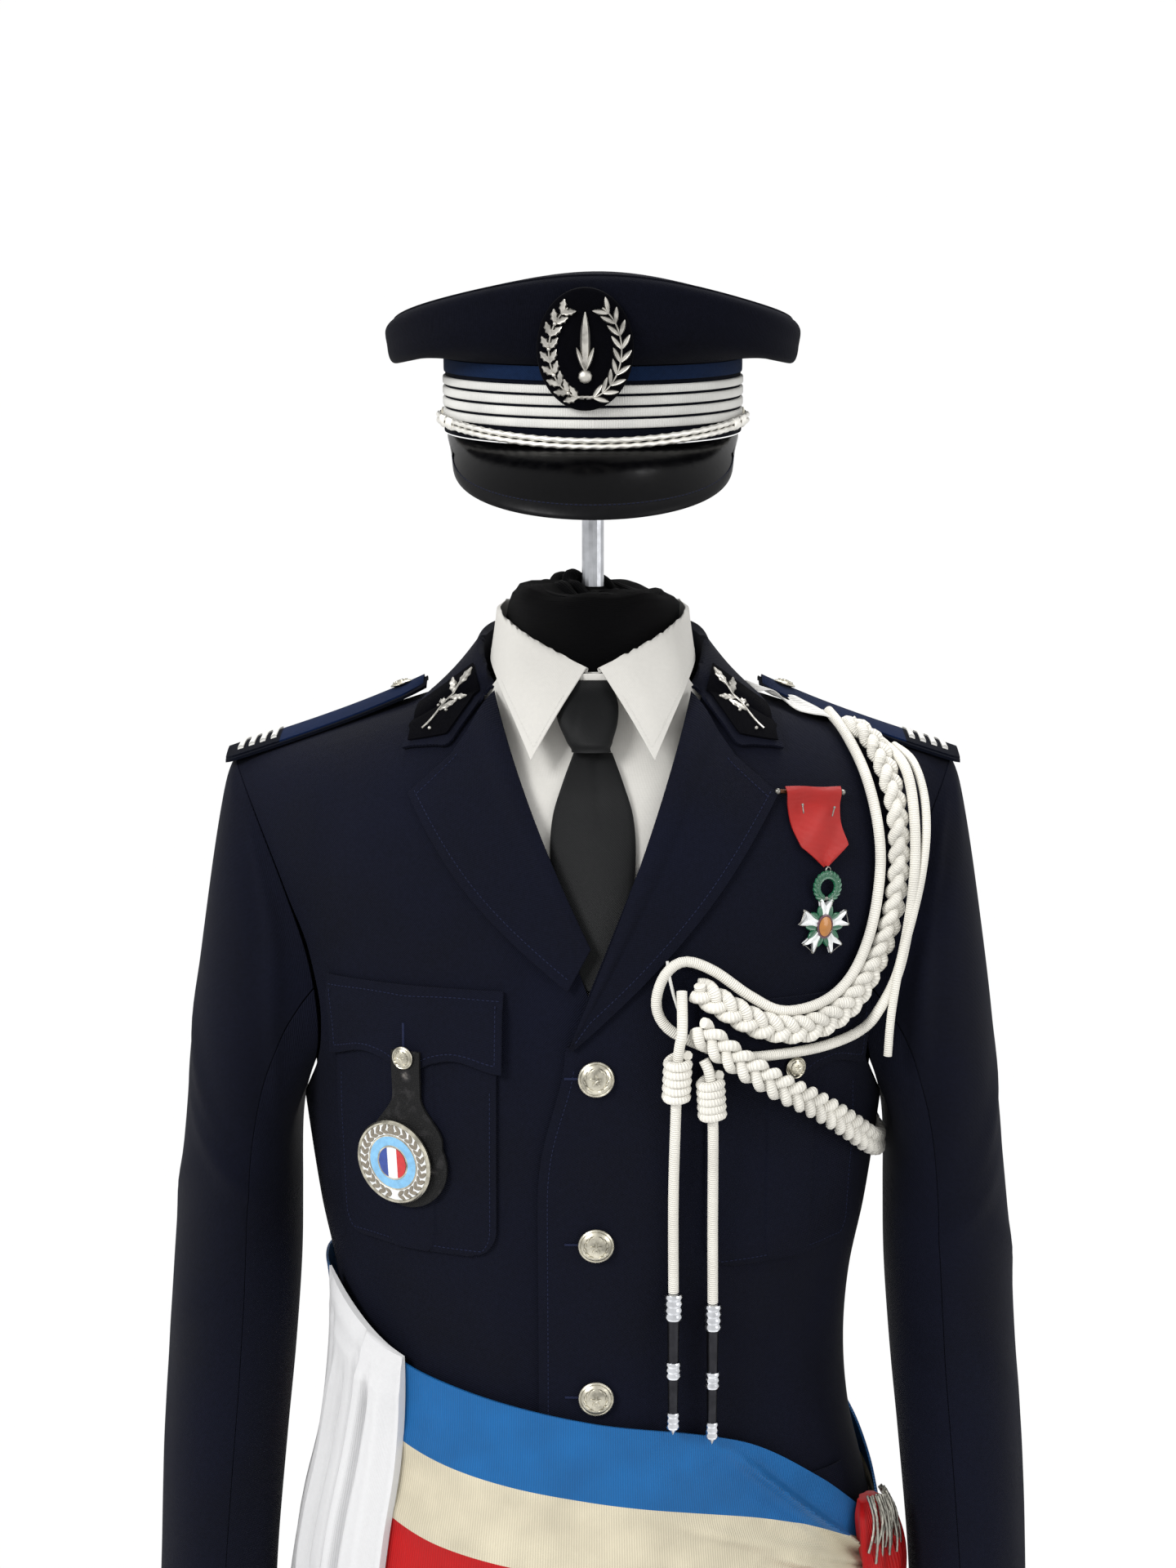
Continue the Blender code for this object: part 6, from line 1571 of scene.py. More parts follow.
def epaulette_place(along, across, lift, grow=0.0):
    x = mix(EPAULETTE_START - grow, EPAULETTE_STOP, along)
    half = mix(0.0195, 0.0260, along) + grow
    half *= 1 - 0.55 * max(0.0, 1 - along / 0.10) ** 1.5
    far = max(0.0, (along - 0.93) / 0.07)
    half *= 1 - 0.40 * far**2
    z = shoulder_height(x) + lift - 0.0014 * across**2
    z += 0.0065 * (1 - along) ** 3 - 0.0034 * max(-across, 0.0)
    return Vector((x, half * across + EPAULETTE_Y, z))


def make_epaulette(left):
    side = "left" if left else "right"

    def board(low, high, grow):
        rows = []
        for s in spread(0, 1, 90):
            over = [epaulette_place(s, t, high + BOARD_CROWN * (1 - t * t), grow) for t in spread(-1, 1, 40)]
            rows.append(over + [epaulette_place(s, t, low, grow) for t in spread(1, -1, 40)])
        return mirrored(rows, left)

    shape = Shape()
    shape.grid(board(EPAULETTE_LIFT, UNDERLAY_TOP, 0.0), colour=0, u_scale=0.09)
    shape.grid(board(UNDERLAY_TOP, EPAULETTE_WALL, -0.0022), colour=1, u_scale=0.09)
    for i, face in enumerate(shape.faces):
        middle = sum((shape.points[k] for k in face), Vector()) / len(face)
        along = (abs(middle.x) - EPAULETTE_START) / (EPAULETTE_STOP - EPAULETTE_START)
        if along > BLACK_END:
            shape.colours[i] = 0
    made = shape.make(f"epaulette_{side}_board", [underlay, board_felt], 55)
    finish_piece(made, nodes=[f"epaulette_{side}"])
    bars = Shape()
    for bar in RANK_BARS:
        rows = []
        for s in spread(bar - BAR_HALF, bar + BAR_HALF, 7):
            bow = 0.0010 * math.sin(math.pi * (s - bar + BAR_HALF) / (2 * BAR_HALF))
            row = [epaulette_place(s, t, EPAULETTE_WALL + 0.0014 + bow) for t in spread(*BAR_REACH, 14)]
            row += [epaulette_place(s, t, EPAULETTE_WALL - 0.0014) for t in spread(*BAR_REACH[::-1], 14)]
            rows.append(row)
        bars.grid(mirrored(rows, left), u_scale=0.05)
    finish_piece(bars.make(f"rank_bars_{side}", white_lace, 55))


# Buttons
def make_button(node, place, normal, radius):
    """A domed button with a raised rim and a small generic wreath and star."""
    normal = normal.normalized()
    shape = Shape()
    dome = (
        (0.30, 0.0), (0.72, 0.02), (0.98, 0.08), (1.0, 0.14), (0.97, 0.20), (0.90, 0.235), (0.86, 0.215),
        (0.83, 0.25), (0.70, 0.33), (0.50, 0.40), (0.25, 0.445), (0.0, 0.455),
    )
    add_lathe(shape, [(r * radius, h * radius) for r, h in dome], place, normal, 40)
    up = Vector((0, 0, 1)) if abs(normal.z) < 0.9 else Vector((0, 1, 0))
    side = up.cross(normal).normalized()
    up = normal.cross(side)
    for k in range(14):
        turn = 2 * math.pi * k / 14
        spoke = side * math.cos(turn) + up * math.sin(turn)
        round_way = up * math.cos(turn) - side * math.sin(turn)
        if k != 3 and k != 4:
            base = place + spoke * radius * 0.60 + normal * radius * 0.36
            ahead = (round_way * (1 if math.cos(turn) > 0 else -1) + normal * 0.05).normalized()
            add_leaf(shape, base, ahead, normal, radius * 0.32, radius * 0.085, radius * 0.07)
    for k in range(5):
        turn = 2 * math.pi * k / 5 + math.pi / 2
        spoke = side * math.cos(turn) + up * math.sin(turn)
        base = place + normal * radius * 0.43
        add_leaf(shape, base, spoke, normal, radius * 0.34, radius * 0.11, radius * 0.08)
    finish_piece(shape.make(f"{node}_silver", silver, 40), nodes=[node])


def make_buttons():
    for i, (z, lift) in enumerate(FRONT_BUTTONS, 1):
        place = on_torso(FRONT_BUTTON_X, z, -1, lift)
        normal = on_torso(FRONT_BUTTON_X, z, -1, 1.0) - place
        make_button(f"front_button_{i}", place, normal, FRONT_BUTTON_RADIUS)
        hole = Shape()
        xs = spread(FRONT_BUTTON_X - 0.0195, FRONT_BUTTON_X - 0.007, 6)
        add_tube(hole, [skin(x, z, -1, 0.0004) for x in xs], 0.0008, out_front, 8, flat=0.6)
        finish_piece(hole.make(f"front_buttonhole_{i}", thread_dark))
    for left in (True, False):
        side = "left" if left else "right"
        x = pocket_middle(left) * (1 if left else -1)
        z = FLAP_TOP - 0.044 - 0.008 * left
        lift = FLAP_LIFT + CLOTH + (0.0008 if left else FOB_WALL + 0.0012)
        place = on_torso(x, z, -1, lift)
        normal = on_torso(x, z, -1, 1.0) - place
        make_button(f"pocket_button_{side}", place, normal, SMALL_BUTTON_RADIUS)
        place = epaulette_place(0.13, 0.0, EPAULETTE_WALL + LAYER_GAP)
        normal = Vector((SHOULDER_SLOPE, 0.0, 1.0))
        if not left:
            place.x, normal.x = -place.x, -normal.x
        make_button(f"epaulette_button_{side}", place, normal, SMALL_BUTTON_RADIUS)


# Sash and gloves
# A crease of the sash runs between two angles round the body, at shares of the sash's width from its top
SashCrease = namedtuple("SashCrease", "from_angle from_share to_angle to_share width depth")
SASH_CREASES = rows_of(
    SashCrease,
    (30, 0.06, 64, 0.42, 0.0048, 0.0090), (34, 0.22, 64, 0.50, 0.0034, -0.0016),
    (14, 0.38, 64, 0.54, 0.0050, 0.0046), (36, 0.50, 64, 0.62, 0.0040, 0.0068),
    (8, 0.62, 64, 0.66, 0.0038, -0.0016), (26, 0.72, 64, 0.72, 0.0050, 0.0060),
    (24, 0.90, 64, 0.82, 0.0050, 0.0044), (-60, 0.30, -10, 0.36, 0.0070, 0.0012),
    (-74, 0.70, -30, 0.62, 0.0070, 0.0014), (74, 0.55, 112, 0.30, 0.0050, -0.0016),
    (74, 0.66, 120, 0.66, 0.0060, -0.0016), (150, 0.45, 210, 0.58, 0.0070, 0.0014),
    (170, 0.75, 235, 0.66, 0.0070, -0.0012),
)


def sash_crease(angle, share):
    total = 0.0
    for crease in SASH_CREASES:
        span = crease.to_angle - crease.from_angle
        u = (angle - crease.from_angle) / span
        if -0.2 < u < 1.2:
            middle = mix(crease.from_share, crease.to_share, u)
            fade = smooth_step(u, -0.2, 0.3) * (1 - smooth_step(u, 0.9, 1.2))
            total += crease.depth * fade * math.exp(-(((share - middle) * 0.145) / crease.width) ** 2)
    return total * smooth_step(0.5 - abs(share - 0.5), 0.0, 0.06)


def sash_place(angle, share, lift):
    z = mix(curve(SASH, "top", angle), curve(SASH, "bottom", angle), share)
    return around(angle, z, lift)


def make_sash():
    angles = [-105 + 360 * k / 300 for k in range(300)]
    shares = spread(0, 1, 61)
    grid = [[sash_place(a, s, SASH_LIFT + SASH_CLOTH + sash_crease(a, s)) for a in angles] for s in shares]
    cloth_piece(
        "sash_silk", grid, body_axis, SASH_CLOTH, [silk_blue, silk_cream, silk_red], nodes=["sash_band"],
        held="folded", rests=("tunic_front_left", "tunic_front_right", "tunic_back"), wrap=True,
        colour_of=lambda row, rows: min(row * 3 // (rows - 1), 2),
    )


def hip_frame(z, lift):
    place = around(HIP_ANGLE, max(z, HEM_HEIGHT), lift)
    place.z = z
    out = around(HIP_ANGLE, z, 1.0) - around(HIP_ANGLE, z, 0.0)
    return place, out, Vector((0, 0, 1)).cross(out).normalized()


def hip_rings(table, lift, folds, count, sides=90, twist=0.0):
    rings = []
    for z in spread(table[0].at, table[-1].at, count):
        half, deep = curve(table, "half_width", z), curve(table, "half_depth", z)
        place, out, across = hip_frame(z, lift + deep + curve(table, "shift", z))
        ring = []
        for turn in turns(sides):
            phase = folds * turn + twist * (z - table[0].at)
            fold = 1 + 0.24 * math.cos(phase) * min(half / 0.02, 1.0)
            ring.append(place + across * half * math.cos(turn) + out * deep * fold * math.sin(turn))
        rings.append(ring)
    return rings


def make_sash_end():
    lift = SASH_LIFT + SASH_CLOTH + LAYER_GAP
    shape = Shape()
    shape.grid(hip_rings(SASH_KNOT, lift, 7, 40, twist=60), u_scale=0.12)
    finish_piece(shape.make("sash_knot_silk", silk_red, 60), nodes=["sash_knot"])
    tail = Shape()
    rings = hip_rings(SASH_TAIL, lift, 8, 80, twist=6)
    tail.grid(rings, u_scale=0.20)
    size = len(rings[0])
    for i, face in enumerate(tail.faces):
        if len(face) == 4:
            column = face[0] % size
            share = (1 + math.cos(2 * math.pi * column / size)) / 2
            tail.colours[i] = 0 if share < 0.36 else (1 if share < 0.66 else 2)
    finish_piece(tail.make("sash_tail_silk", [silk_red, silk_cream, silk_blue], 60), nodes=["sash_tail"])
    make_fringe(lift + 0.0075)
    make_knot_fringe(lift)


def make_fringe(lift):
    """Two rows of twisted bullion strands under the tail."""
    top, bottom, half = 0.6495, 0.575, 0.040
    place, out, across = hip_frame(top, lift)
    shape = Shape()
    strip = [place + across * x - Vector((0, 0, 0.0028)) for x in spread(-0.041, 0.041, 24)]
    add_rope(shape, strip, 0.0036, 0.006, lambda p: out, 2)
    for row in range(2):
        for k in range(18):
            at = (k + 0.5 * row + 0.25) / 18
            root = place + across * mix(-half, half, at) + out * (row - 0.5) * 0.0040
            sway = 0.0012 * math.sin(k * 2.3 + row)
            line = [root + Vector((sway * s, 0, -(top - bottom) * s - 0.002)) for s in spread(0, 1, 26)]
            add_rope(shape, line, 0.0015, 0.0042, lambda p: out, 2, sides=8)
    finish_piece(shape.make("sash_fringe_bullion", grey_bullion, 60), nodes=["sash_fringe"])


def make_knot_fringe(lift):
    """A bunch of short bullion strands over the knot."""
    shape = Shape()
    for k in range(22):
        share = (k + 0.5) / 22
        line = []
        for s in spread(0, 1, 24):
            z = mix(0.934, 0.900 - 0.008 * math.sin(k * 1.9), s)
            place, out, across = hip_frame(z, lift + 0.0195 + 0.0030 * math.sin(math.pi * s))
            sway = 0.0016 * math.sin(k * 2.1 + 4 * s)
            wide = (share - 0.5) * mix(0.020, 0.044, s) + sway - 0.004
            line.append(place + across * wide + out * (0.0014 * (k % 2) - 26 * (share - 0.5) ** 2 * 0.0011))
        add_rope(shape, line, 0.0012, 0.0040, lambda p, out=out: out, 2, sides=8)
    finish_piece(shape.make("knot_fringe", grey_bullion, 60))


GloveFold = namedtuple("GloveFold", "at drift width depth top")
GLOVE_FOLDS = rows_of(
    GloveFold,
    (0.18, 0.06, 0.040, -0.0045, 0.02), (0.31, 0.02, 0.030, 0.0030, 0.10),
    (0.43, -0.03, 0.030, -0.0045, 0.12), (0.56, 0.05, 0.028, -0.0035, 0.00),
    (0.74, -0.04, 0.026, -0.0085, 0.04), (0.86, 0.02, 0.050, 0.0035, 0.04),
    (0.08, 0.03, 0.030, -0.0030, 0.06),
)


def glove_surface(u, v, height):
    """The pair of gloves: u runs round the hip, v from the fold over the sash to the fingertips."""
    angle = mix(-80 + 9 * (1 - smooth_step(v, 0.0, 0.40)), -43, u)
    top = curve(SASH, "top", angle) + 0.006 + 0.008 * (1 - u) ** 2
    tips = 0.800 + 0.010 * abs(2 * u - 1.1) + 0.004 * math.cos(8 * math.pi * u)
    z = mix(top, tips, v)
    groove = 1 - 0.55 * smooth_step(v, 0.66, 0.80) * (0.5 + 0.5 * math.cos(8 * math.pi * u))
    ease = min(1.0, 0.35 + 6 * v) * min(1.0, 0.4 + 8 * (1 - v))
    side = math.sin(math.pi * min(max(u, 0.03), 0.97)) ** 0.4
    fold = sum(
        f.depth * math.exp(-(((u - f.at - f.drift * v) / f.width) ** 2)) * smooth_step(v, f.top, f.top + 0.16)
        for f in GLOVE_FOLDS
    )
    fold += 0.0060 * smooth_step(u, 0.62 - 0.03 * v, 0.65 - 0.03 * v)
    roll = 0.0030 * math.exp(-(((v - 0.035) / 0.030) ** 2))
    raised = (height * groove + fold + roll) * ease * side if height else 0.0
    return around(angle, z, GLOVE_LIFT + raised)


def make_gloves():
    """A pair of gloves folded over the sash, fingers down."""
    rows = []
    for v in [s**1.25 for s in spread(0, 1, 120)]:
        front = [glove_surface(u, v, 0.0118) for u in spread(0, 1, 150)]
        rows.append(front + [glove_surface(u, v, 0.0) for u in spread(1, 0, 150)])
    shape = Shape()
    shape.grid(rows, u_scale=0.25)
    finish_piece(shape.make("gloves_cotton", glove_cotton, 60), nodes=["gloves"])


# Medal and fob
def make_medal():
    bar_places = ((0.1130, 1.4015), (0.1340, 1.4000), (0.1545, 1.3985))
    line = smooth_route([on_torso(x, z, -1, 0.0030) for x, z in bar_places], 0.002)
    shape = Shape()
    add_tube(shape, line, 0.0014, lean, 12, colour=0)
    for place in (line[0], line[-1]):
        add_bead(shape, place, 0.0020, 1, normal=lean(place))
    finish_piece(shape.make("medal_bar_metal", [bronze, silver_old], 60), nodes=["medal_bar"])

    def place(u, v):
        x_left = mix(0.1160, 0.1262, min(v / 0.74, 1.0))
        x_right = mix(0.1508, 0.1560, min(v / 0.74, 1.0))
        close = max(0.0, (v - 0.74) / 0.26)
        edge = 0.0007 * math.sin(8.5 * v + 1.0) * (1 - close)
        x = mix(mix(x_left, x_right, u) + edge, MEDAL_X, 0.90 * close)
        return x, 1.4030 - 0.0020 * u * (1 - v) - 0.0463 * v

    grid = []
    for v in spread(0, 1, 44):
        row = []
        for u in spread(0, 1, 34):
            x, z = place(u, v)
            lift = 0.0046 * (1 - smooth_step(v, 0.03, 0.22)) + 0.0018 + 0.0024 * v
            row.append(on_torso(x, z, -1, lift + 0.0008 * math.sin(7 * u + 9 * v)))
        grid.append(row)
    cloth_piece("medal_ribbon_silk", grid, body_axis, 0.0010, ribbon_red, nodes=["medal_ribbon"], held="hung",
                rests=("medal_bar",))
    pins = Shape()
    for u, v, tilt in ((0.24, 0.22, 0.0004), (0.84, 0.26, -0.0016)):
        x, z = place(u, v)
        ends = [on_torso(x + tilt * t, z - 0.0048 * t, -1, 0.0058) for t in (0.0, 1.0)]
        add_tube(pins, smooth_route(ends, 0.0008), 0.00045, lean, 8)
        add_bead(pins, ends[0], 0.0009, normal=lean(ends[0]))
    finish_piece(pins.make("ribbon_pins", silver_old))
    make_pendant()


def make_pendant():
    """The green wreath and the white five-armed star, which swing on the ribbon's ring."""
    normal = outward(MEDAL_X, 1.33)
    across = Vector((0, 0, 1)).cross(normal).normalized()
    up = Vector((0, 0, 1))
    hinge = on_torso(MEDAL_X, MEDAL_HINGE_Z, -1, 0.0042)
    shape = Shape()

    def at(x, y, out):
        return hinge + across * x + up * y + normal * out

    reach, notch = 0.0172, 0.0125
    for arm in range(5):
        turn = math.radians(72 * arm)
        ahead = across * math.sin(turn) + up * math.cos(turn)
        wide = ahead.cross(normal).normalized()
        centre = at(0, -0.0365, 0.0)
        rows = []
        for s in spread(0.10, 1.0, 14):
            half = mix(0.0014, 0.0050, s**1.2)
            row = []
            for u in spread(-1, 1, 17):
                length = mix(0.0, mix(notch, reach, min(abs(u) * 1.35, 1.0) if abs(u) < 0.75 else 1.0), s)
                crown = 0.0024 + 0.0008 * (1 - abs(abs(u) * 2 - 1))
                row.append(centre + ahead * length + wide * half * u + normal * crown)
            low = [p - normal * 0.0022 for p in row[::-1]]
            rows.append(row + low)
        shape.grid(rows, colour=0, u_scale=0.02)
        rim = [r[0] for r in rows] + [r[16] for r in rows[::-1]]
        add_tube(shape, rim, 0.00028, lambda p: normal, 6, 1)
        for u in (-0.75, 0.75):
            add_bead(shape, centre + ahead * reach + wide * 0.0042 * u * 1.33 + normal * 0.0018, 0.0010, 1)
        between = math.radians(72 * arm + 36)
        spoke = across * math.sin(between) + up * math.cos(between)
        for turn_leaf in (-26, 26):
            lead = Matrix.Rotation(math.radians(turn_leaf), 3, normal) @ spoke
            foot = centre + spoke * 0.0050 + normal * 0.0020
            add_leaf(shape, foot, lead, normal, 0.0088, 0.0021, 0.0012, 2)
    middle = at(0, -0.0365, 0.0022)
    first = len(shape.points)
    rim_profile = [(0.0056, 0.0), (0.0056, 0.0014), (0.0049, 0.0018), (0.0046, 0.0014)]
    dome_profile = [(0.0046, 0.0010), (0.0045, 0.0016), (0.0030, 0.0024), (0.0, 0.0027)]
    add_lathe(shape, rim_profile, middle, normal, 28, 4)
    add_lathe(shape, dome_profile, middle, normal, 28, 3)
    for k in range(first, len(shape.points)):
        shape.points[k] += up * 0.36 * (shape.points[k] - middle).dot(up)
    round_trip = spread(0, 2 * math.pi, 49)
    ring = [at(0.0072 * math.sin(a), -0.0122 + 0.0072 * math.cos(a), 0.0011) for a in round_trip]
    add_tube(shape, ring, 0.0013, lambda p: normal, 8, 1)
    for k in range(20):
        turn = 2 * math.pi * (k + 0.5) / 20
        spoke = across * math.sin(turn) + up * math.cos(turn)
        round_way = (across * math.cos(turn) - up * math.sin(turn)) * (1 if math.sin(turn) < 0 else -1)
        base = at(0, -0.0122, 0.0019) + spoke * 0.0072
        for lean_by in (-28, 28):
            lead = Matrix.Rotation(math.radians(lean_by), 3, normal) @ round_way
            add_leaf(shape, base, lead, normal, 0.0048, 0.0016, 0.0011, 2)
    turned = Matrix.Rotation(math.radians(-5), 3, normal)
    for k, point in enumerate(shape.points):
        shape.points[k] = hinge + turned @ (point - hinge)
    link = [at(0.0016 * math.sin(a), -0.0022 + 0.0024 * math.cos(a), 0.0010) for a in round_trip[::2]]
    add_tube(shape, link, 0.0005, lambda p: normal, 6, 1)
    enamels = [enamel_white, silver_old, enamel_green, enamel_amber, enamel_plum]
    made = shape.make("pendant_enamel", enamels, 40)
    finish_piece(made, body="medal", nodes=["medal_pendant"])


def make_fob():
    x0, z0 = FOB_MIDDLE

    def under(v):
        return mix(FLAP_LIFT + CLOTH + 0.0008, 0.0042, smooth_step(v, 0.10, 0.34))

    grid = []
    for v in spread(0, 1, 80):
        z = mix(POCKET_BUTTON_Z + 0.004, z0 - FOB_RADIUS, v)
        round_part = math.sqrt(max(FOB_RADIUS**2 - (z - z0) ** 2, 0.0))
        x = mix(pocket_middle(False) - 0.001, x0, smooth_step(v, 0.1, 0.5))
        neck = 0.0095 + 0.0150 * smooth_step(v, 0.28, 0.56)
        half = max(round_part, neck if z > z0 else 0.003)
        grid.append([
            on_torso(-walk(x, z, u * half), z, -1, under(v) + FOB_WALL) for u in spread(-1, 1, 40)
        ])
    tab = shell("fob_leather_tab", grid, body_axis, FOB_WALL, leather, rim=0.0006)
    finish_piece(tab, nodes=["fob_leather"])
    place = on_torso(-BADGE_MIDDLE[0], BADGE_MIDDLE[1], -1, 0.0042 + FOB_WALL + 0.0007)
    normal = (on_torso(-BADGE_MIDDLE[0], BADGE_MIDDLE[1], -1, 1.0) - place).normalized()
    shape = Shape()
    side = Vector((0, 0, 1)).cross(normal).normalized()
    up = normal.cross(side)
    add_lathe(shape, [(0.0, 0.0), (0.0268, 0.0), (0.0272, 0.0018), (0.0262, 0.0032), (0.0250, 0.0030),
                      (0.0246, 0.0024)], place, normal, 64, 0)
    add_lathe(shape, [(0.0247, 0.0024), (0.0180, 0.0027)], place, normal, 64, 1)
    add_lathe(shape, [(0.0182, 0.0027), (0.0178, 0.0032), (0.0170, 0.0028)], place, normal, 64, 0)
    add_lathe(shape, [(0.0171, 0.0028), (0.0112, 0.0030)], place, normal, 64, 2)
    add_lathe(shape, [(0.0113, 0.0030), (0.0110, 0.0034), (0.0102, 0.0031)], place, normal, 64, 0)
    for number, (low, high) in enumerate(((-1.0, -0.34), (-0.34, 0.34), (0.34, 1.0))):
        rows = []
        for s in spread(-1, 1, 15):
            row = []
            for u in spread(low, high, 7):
                x = 0.0102 * u
                y = 0.0102 * s * math.sqrt(max(1 - u * u, 0.0))
                row.append(place + side * x + up * y + normal * 0.0033)
            rows.append(row)
        shape.grid(rows, wrap=False, colour=(3, 1, 4)[number], u_scale=0.02)
    for k in range(28):
        turn = 2 * math.pi * (k + 0.5) / 28
        spoke = side * math.sin(turn) + up * math.cos(turn)
        round_way = (side * math.cos(turn) - up * math.sin(turn)) * (1 if math.sin(turn) < 0 else -1)
        base = place + spoke * 0.0212 + normal * 0.0026
        for lean_by in (-30, 30):
            lead = Matrix.Rotation(math.radians(lean_by), 3, normal) @ round_way
            add_leaf(shape, base, lead, normal, 0.0056, 0.0014, 0.0006, 5)
    metals = [silver, enamel_white, enamel_sky, enamel_blue, enamel_red, enamel_grey]
    finish_piece(shape.make("fob_badge_enamel", metals, 40), nodes=["fob_badge"])


# Cap
def cap_frame(place):
    return Matrix.Rotation(CAP_TILT, 3, "X") @ place + Vector(CAP_CENTRE)


def cap_oval(angle, half_x, front, back, z):
    deep = front if math.cos(angle) > 0 else back
    return Vector((half_x * math.sin(angle), -deep * math.cos(angle), z))


def crown_ring(at, grow=0.0, sides=120):
    half, front = curve(CROWN, "half_x", at), curve(CROWN, "front", at)
    back, z, top = curve(CROWN, "back", at), curve(CROWN, "z", at), curve(CROWN, "raise_front", at)
    ring = []
    for angle in turns(sides):
        rise = top * (0.5 + 0.5 * math.cos(angle)) ** 3.0
        rise -= 0.0105 * math.sin(angle) ** 2 * math.exp(-(((at - 2.3) / 1.1) ** 2))
        wave = 0.0010 * math.sin(5 * angle + 1.2) * math.exp(-((at - 4.6) / 0.8) ** 2)
        radii = [max(size, 0.0) + grow for size in (half, front, back)]
        ring.append(cap_frame(cap_oval(angle, *radii, z + rise + wave)))
    return ring


def cap_inside(place):
    return Vector((0.0, 0.0, 1.655))


def make_cap():
    rows = [crown_ring(at) for at in spread(0, 6.97, 100)]
    crown = shell("cap_crown_felt", rows, cap_inside, 0.0022, cap_cloth, wrap=True)
    finish_piece(crown, nodes=["cap_crown"])
    lid = Shape()
    rim = crown_ring(6.97)
    lid.grid([rim, [p.lerp(cap_frame(Vector((0, 0, 0.0800))), 0.98) for p in rim]], ends=True)
    finish_piece(lid.make("cap_crown_tip", cap_cloth, 80))
    welt = crown_ring(4.1, -0.0002)
    piping = Shape()
    add_tube(piping, welt + [welt[0]], 0.0009, lambda p: (p - Vector((0, 0, 1.66))).normalized(), 8)
    finish_piece(piping.make("cap_welt", cap_cloth))
    make_band()
    make_visor()
    make_chin_cord()
    make_cap_badge()


BAND_STRIPES = ((0.0375, 0.0460, 0, 0.0006), (0.0300, 0.0350, 1, 0.0013), (0.0232, 0.0285, 1, 0.0013),
                (0.0164, 0.0217, 1, 0.0013), (0.0096, 0.0149, 1, 0.0013), (0.0000, 0.0086, 2, 0.0006))


def make_band():
    """The band: blue at its top, four white lace stripes, black at its foot."""
    shape = Shape()

    def ring(z, grow):
        half_x, half_y = CAP_BAND_RADIUS + grow, CAP_BAND_DEPTH + grow
        return [cap_frame(cap_oval(a, half_x, half_y, half_y, z)) for a in turns(120)]

    outer, inner = -0.0004, -0.0026
    wall = ((0.0, outer), (CAP_BAND_HEIGHT, outer), (CAP_BAND_HEIGHT, inner), (0.0, inner), (0.0, outer))
    shape.grid([ring(z, grow) for z, grow in wall], ends=False, colour=2, u_scale=0.64)
    for low, high, colour, grow in BAND_STRIPES:
        profile = [
            (low, outer), (low + 0.0002, grow * 0.7), (mix(low, high, 0.2), grow),
            (mix(low, high, 0.8), grow), (high - 0.0002, grow * 0.7), (high, outer),
        ]
        shape.grid([ring(z, out) for z, out in profile], ends=False, colour=colour, u_scale=0.64)
    finish_piece(shape.make("cap_band_lace", [band_blue, white_lace, underlay], 60), nodes=["cap_band"])


def visor_place(u, v, drop):
    inner_turn, outer_turn = math.radians(76) * u, math.radians(88) * u
    near = Vector((CAP_BAND_RADIUS * math.sin(inner_turn), -CAP_BAND_DEPTH * math.cos(inner_turn), 0))
    far = Vector((0.0865 * math.sin(outer_turn), -0.062 - 0.092 * math.cos(outer_turn), 0))
    near.z = -0.0006
    far.z = -0.005 - 0.031 * max(math.cos(outer_turn), 0.0) ** 0.6
    place = near.lerp(far, v)
    place.z += 0.006 * math.sin(math.pi * v) * (1 - u * u)
    return cap_frame(place + Vector((0, 0, -drop)))


def make_visor():
    rows = []
    for u in spread(-1, 1, 120):
        upper = [visor_place(u, v, 0.0) for v in spread(0, 0.985, 34)]
        edge = [visor_place(u, 0.997, 0.0003), visor_place(u, 1.0, 0.0011), visor_place(u, 0.997, 0.0019)]
        lower = [visor_place(u, v, 0.0022) for v in spread(0.985, 0, 20)]
        rows.append(upper + edge + lower)
    shape = Shape()
    shape.grid(rows, u_scale=0.2)
    finish_piece(shape.make("cap_visor_patent", patent, 50), nodes=["cap_visor"])
    bound = Shape()
    rim = []
    for u in spread(-0.995, 0.995, 120):
        a, b = visor_place(u, 0.90, 0.0), visor_place(u, 1.0, 0.0)
        up = Vector((0, 0, 1))
        out = (b - a).normalized()
        middle = a.lerp(b, 0.5)
        rim.append([
            a + up * 0.0001, a + up * 0.0007, middle + up * 0.0009, b + up * 0.0005 + out * 0.0003,
            b - up * 0.0010 + out * 0.0009, b - up * 0.0026 + out * 0.0003, middle - up * 0.0029,
            a - up * 0.0029, a - up * 0.0023,
        ])
    bound.grid(rim, u_scale=0.03)
    finish_piece(bound.make("visor_edge", binding, 60))
    line = [visor_place(u, 0.915, -0.0008) for u in spread(-0.97, 0.97, 90)]
    stitch_along(STITCHES, line, lambda p: Vector((0, -0.3, 1)).normalized(), 0.0028, 0.0020, 0.00028)


